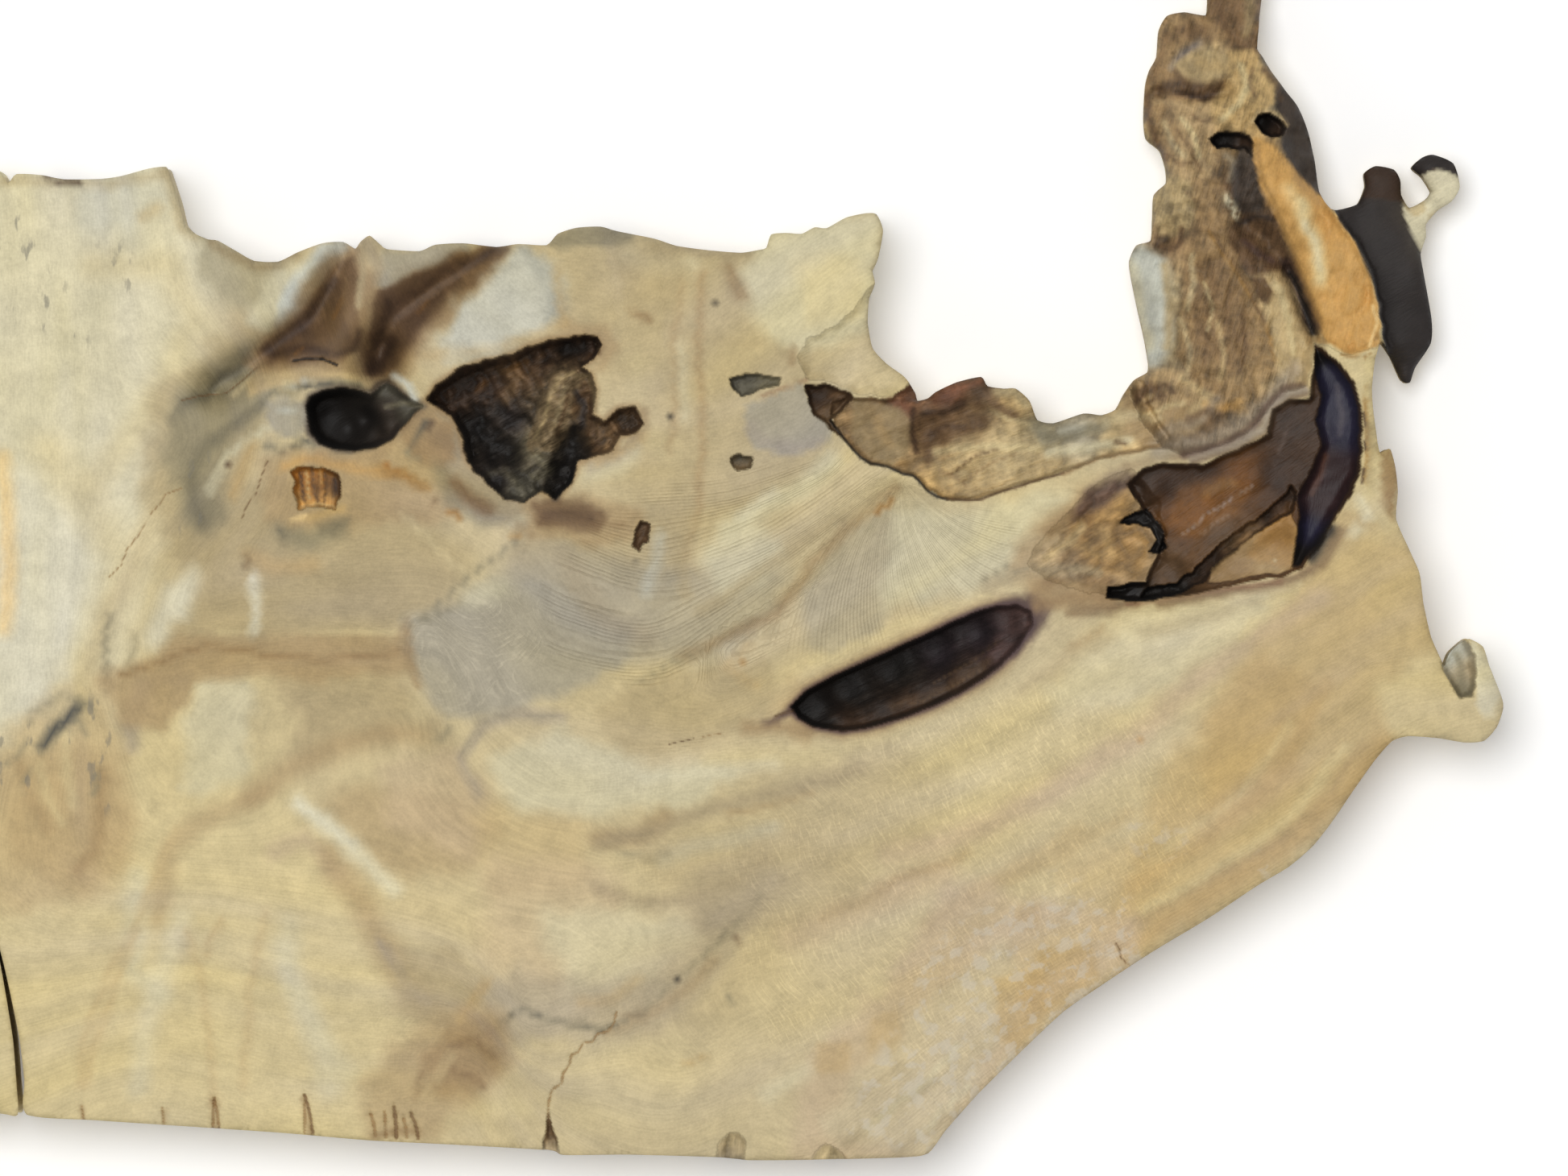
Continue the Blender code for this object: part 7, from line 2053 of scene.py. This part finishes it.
@dataclass(frozen=True)
class ElderWood:
    """The finish of dry elder: growth lines, saw fuzz, pores, chalk and gloss.

    Attributes:
        ring_mm: the width of a growth ring.
        line: how much a growth line darkens the wood.
        line_tint: what a growth line multiplies the wood's colour by.
        hair: how much a ray or a saw hair lightens the wood.
        chalk: how much a chalky spot covers.
        chalk_tint: its colour.
        fleck: how much a fleck covers.
        fleck_tint: its colour.
        rough: the roughness of dry wood.
        wet: the roughness of a glossy hollow.
        specular: how strongly the wood reflects.
        bump: how strong the fine relief of the shading is.
        bump_m: how deep it is.
        bands: how wide bands along the grain change the light, as a ramp (low, high, dark, light).
        threads: the same for thin threads along the grain.
        pores: the same for pores.
        mottle: the same for mottled patches.
        crumbs: the same for each of the two coarse grains of rough wood.
    """

    ring_mm: float = 0.62
    line: float = 0.26
    line_tint: tuple[float, float, float, float] = (0.5, 0.44, 0.36, 1.0)
    hair: float = 0.2
    chalk: float = 0.45
    chalk_tint: tuple[float, float, float, float] = (0.62, 0.56, 0.45, 1.0)
    fleck: float = 0.6
    fleck_tint: tuple[float, float, float, float] = (0.17, 0.16, 0.13, 1.0)
    rough: float = 0.68
    wet: float = 0.3
    specular: float = 0.4
    bump: float = 0.7
    bump_m: float = 0.00025
    bands: tuple[float, ...] = (0.35, 0.65, -0.03, 0.03)
    threads: tuple[float, ...] = (0.3, 0.7, -0.05, 0.05)
    pores: tuple[float, ...] = (0.3, 0.7, -0.045, 0.045)
    mottle: tuple[float, ...] = (0.3, 0.7, -0.075, 0.07)
    crumbs: tuple[float, ...] = (0.32, 0.68, -0.24, 0.2)

    @staticmethod
    def woven(bench: NodeBench, across: object, along: object, fine: float, long: float,
              detail: float) -> bpy.types.NodeSocket:
        """A noise along the grain, with its repeats a millimetre across and along it."""
        course = bench.joined(bench.maths("MULTIPLY", across, fine),
                              bench.maths("MULTIPLY", along, long))
        return bench.noise(course, 1.0, detail)

    def lines(self, bench: NodeBench, across: object, along: object, strength: object,
              place: object) -> bpy.types.NodeSocket:
        """Thin growth lines, one a ring, that waver and fade along their way.

        Args:
            bench: the material's nodes.
            across: the distance across the rings, in millimetres.
            along: the distance along them, in millimetres.
            strength: how strong the lines are, from 0 to 1.
            place: the position that the wavering follows.

        Returns:
            1 on a line, 0 between lines.
        """
        wander = bench.maths("ADD", bench.noise(place, 90.0, 2.0),
                             bench.maths("MULTIPLY", bench.noise(place, 900.0, 1.0), 0.16))
        turns = bench.maths("MULTIPLY_ADD", across, 1.0 / self.ring_mm, wander)
        wave = bench.maths("SINE", bench.maths("MULTIPLY", turns, 2.0 * math.pi))
        fading = bench.ramp(self.woven(bench, across, along, 0.7, 0.06, 4.0), 0.34, 0.62, 0.12, 1.0)
        return bench.maths("MULTIPLY", bench.ramp(wave, 0.1, 1.0),
                           bench.maths("MULTIPLY", fading, bench.ramp(strength, 0.0, 1.0)))

    def material(self) -> bpy.types.Material:
        """Builds the wood's material.

        Returns:
            A material that reads the attributes tone, grain, fan, finish, fleck and wild.
        """
        bench = NodeBench("elder_wood_finish")
        tone = bench.add("ShaderNodeAttribute", attribute_name="tone").outputs["Color"]
        across, along, lined = bench.parts("grain")
        round_, out, fanned = bench.parts("fan")
        gloss, chalk, fuzz = bench.parts("finish")
        fleck = bench.add("ShaderNodeAttribute", attribute_name="fleck").outputs["Fac"]
        wild = bench.add("ShaderNodeAttribute", attribute_name="wild").outputs["Fac"]
        place = bench.add("ShaderNodeTexCoord").outputs["Object"]
        fibre = bench.stretched(place, 1.0, 1.0, 0.06)

        lines = bench.maths("MAXIMUM", self.lines(bench, across, along, lined, fibre),
                            self.lines(bench, round_, out, fanned, fibre))
        course = bench.joined(bench.maths("MULTIPLY", across, 0.45),
                              bench.maths("MULTIPLY", along, 2.2))
        rays = bench.ramp(bench.noise(course, 1.0, 2.0), 0.45, 0.7)
        hairs = bench.maths("MULTIPLY", rays, bench.ramp(fuzz, 0.0, 1.0, 0.1, 1.0))

        banded = self.woven(bench, across, along, 0.42, 0.02, 3.0)
        bands = bench.ramp(banded, *self.bands)
        thread = self.woven(bench, across, along, 2.8, 0.5, 3.0)
        threads = bench.ramp(thread, *self.threads)
        pores = bench.noise(fibre, 2200.0, 2.0)
        specks = bench.ramp(pores, *self.pores)
        mottle = bench.ramp(bench.noise(fibre, 260.0, 8.0), *self.mottle)
        crumbs = bench.noise(fibre, 520.0, 6.0)
        strand = self.woven(bench, across, along, 1.2, 0.22, 6.0)
        rough = bench.maths("ADD", bench.ramp(crumbs, *self.crumbs),
                            bench.ramp(strand, *self.crumbs))
        value = bench.maths("ADD", bench.maths("ADD", specks, mottle),
                            bench.maths("ADD", bands, threads))
        value = bench.maths("MULTIPLY_ADD", rough, wild, value)
        value = bench.maths("MULTIPLY_ADD", hairs, self.hair, value)
        dark = bench.mix("MULTIPLY", bench.maths("MULTIPLY", lines, self.line), tone, self.line_tint)
        shaded = bench.add("ShaderNodeVectorMath", operation="SCALE")
        bench.put(shaded.inputs[0], dark)
        bench.put(shaded.inputs["Scale"], bench.maths("ADD", value, 1.0))

        blocks = self.woven(bench, across, along, 0.42, 0.3, 8.0)
        chalk_spots = bench.ramp(blocks, 0.5, 0.62)
        powdered = bench.mix("MIX", bench.maths("MULTIPLY", chalk_spots,
                             bench.maths("MULTIPLY", chalk, self.chalk)),
                             shaded.outputs[0], self.chalk_tint)
        fleck_place = bench.stretched(place, 1.0, 0.35, 0.1)
        fleck_spots = bench.ramp(bench.noise(fleck_place, 420.0, 4.0), 0.6, 0.68)
        flecked = bench.mix("MIX", bench.maths("MULTIPLY", fleck_spots,
                            bench.maths("MULTIPLY", fleck, self.fleck)),
                            powdered, self.fleck_tint)

        shader = bench.add("ShaderNodeBsdfPrincipled")
        bench.put(shader.inputs["Base Color"], flecked)
        bench.put(shader.inputs["Roughness"], bench.ramp(gloss, 0.0, 1.0, self.rough, self.wet))
        shader.inputs["Specular IOR Level"].default_value = self.specular
        bump = bench.add("ShaderNodeBump")
        bump.inputs["Strength"].default_value = self.bump
        bump.inputs["Distance"].default_value = self.bump_m
        raised = bench.maths("SUBTRACT", bench.maths("MULTIPLY", thread, 0.6),
                             bench.maths("MULTIPLY", lines, 0.5))
        raised = bench.maths("MULTIPLY_ADD", hairs, 0.3, raised)
        raised = bench.maths("MULTIPLY_ADD", bench.maths("ADD", crumbs, strand),
                             bench.maths("MULTIPLY", wild, 3.0), raised)
        bench.put(bump.inputs["Height"], raised)
        bench.put(shader.inputs["Normal"], bump.outputs[0])
        output = bench.add("ShaderNodeOutputMaterial")
        bench.put(output.inputs["Surface"], shader.outputs[0])
        return bench.material


@dataclass(frozen=True)
class Studio:
    """The pale floor, the soft lights and the camera straight above.

    Attributes:
        height_m: how far the camera is above the sawn top.
        view_middle_px: the pixel under the camera.
        key_power_w: the power of the main light.
        key_place_m: where the main light is, from the frame's origin, at which it points.
        key_size_m: its diameter.
        sky: the strength of the even light from all round.
        floor_m: the floor's width.
        floor_tone: its colour, scene-linear with an alpha.
        floor_roughness: its roughness.
        floor_glow: how much light it gives off, so that it stays pale as in the view.
    """

    height_m: float = 4.0
    view_middle_px: tuple[float, float] = (973.0, 730.0)
    key_power_w: float = 225.0
    key_place_m: tuple[float, float, float] = (-0.7, 0.7, 5.7)
    key_size_m: float = 2.8
    sky: float = 0.32
    floor_m: float = 6.0
    floor_tone: tuple[float, float, float, float] = (0.97, 0.97, 0.97, 1.0)
    floor_roughness: float = 0.9
    floor_glow: float = 0.12

    def floor(self) -> None:
        """A plain pale floor under the slab."""
        bpy.ops.mesh.primitive_plane_add(size=self.floor_m, location=(0.0, 0.0, 0.0))
        floor = bpy.context.object
        floor.name = "floor"
        bench = NodeBench("floor_paper")
        shader = bench.add("ShaderNodeBsdfPrincipled")
        shader.inputs["Base Color"].default_value = self.floor_tone
        shader.inputs["Roughness"].default_value = self.floor_roughness
        shader.inputs["Emission Color"].default_value = (1.0, 1.0, 1.0, 1.0)
        shader.inputs["Emission Strength"].default_value = self.floor_glow
        output = bench.add("ShaderNodeOutputMaterial")
        bench.put(output.inputs["Surface"], shader.outputs[0])
        floor.data.materials.append(bench.material)

    def lights(self) -> None:
        """A large soft light from the upper left, and an even sky."""
        world = bpy.data.worlds.new("sky")
        world.use_nodes = True
        background = world.node_tree.nodes["Background"]
        background.inputs["Color"].default_value = (1.0, 1.0, 1.0, 1.0)
        background.inputs["Strength"].default_value = self.sky
        bpy.context.scene.world = world
        lamp = bpy.data.lights.new("key", "AREA")
        lamp.shape = "DISK"
        lamp.size = self.key_size_m
        lamp.energy = self.key_power_w
        key = bpy.data.objects.new("key", lamp)
        key.location = self.key_place_m
        key.rotation_euler = Vector(self.key_place_m).to_track_quat("Z", "Y").to_euler()
        bpy.context.scene.collection.objects.link(key)

    def camera(self, outline: Outline) -> None:
        """The camera, which looks straight down and sees the whole view."""
        width_m = VIEW_SIZE_PX[0] / PIXELS_PER_MM * METRES_PER_MM
        lens = bpy.data.cameras.new("camera")
        lens.sensor_fit = "HORIZONTAL"
        lens.sensor_width = SENSOR_WIDTH_MM
        lens.lens = SENSOR_WIDTH_MM * self.height_m / width_m
        camera = bpy.data.objects.new("camera", lens)
        under = outline.metres(np.array([self.view_middle_px]), np.zeros(1))[0]
        camera.location = (under[0], under[1], self.height_m + THICKNESS_MM * METRES_PER_MM)
        bpy.context.scene.collection.objects.link(camera)
        bpy.context.scene.camera = camera

    def set_up(self, outline: Outline) -> None:
        """Sets up floor, lights, camera and a neutral view of the colours."""
        self.floor()
        self.lights()
        self.camera(outline)
        bpy.context.scene.view_settings.view_transform = "Standard"


def main() -> None:
    """Builds the slice and the studio."""
    logging.basicConfig(level=logging.INFO, format="%(name)s: %(message)s")
    outline = Outline(OUTLINE_SPACING_PX)
    body = WoodSlice(outline).build()
    body.data.materials.append(ElderWood().material())
    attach(body, "root")
    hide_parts("wood_slice")
    Studio().set_up(outline)


if __name__ == "__main__":
    main()
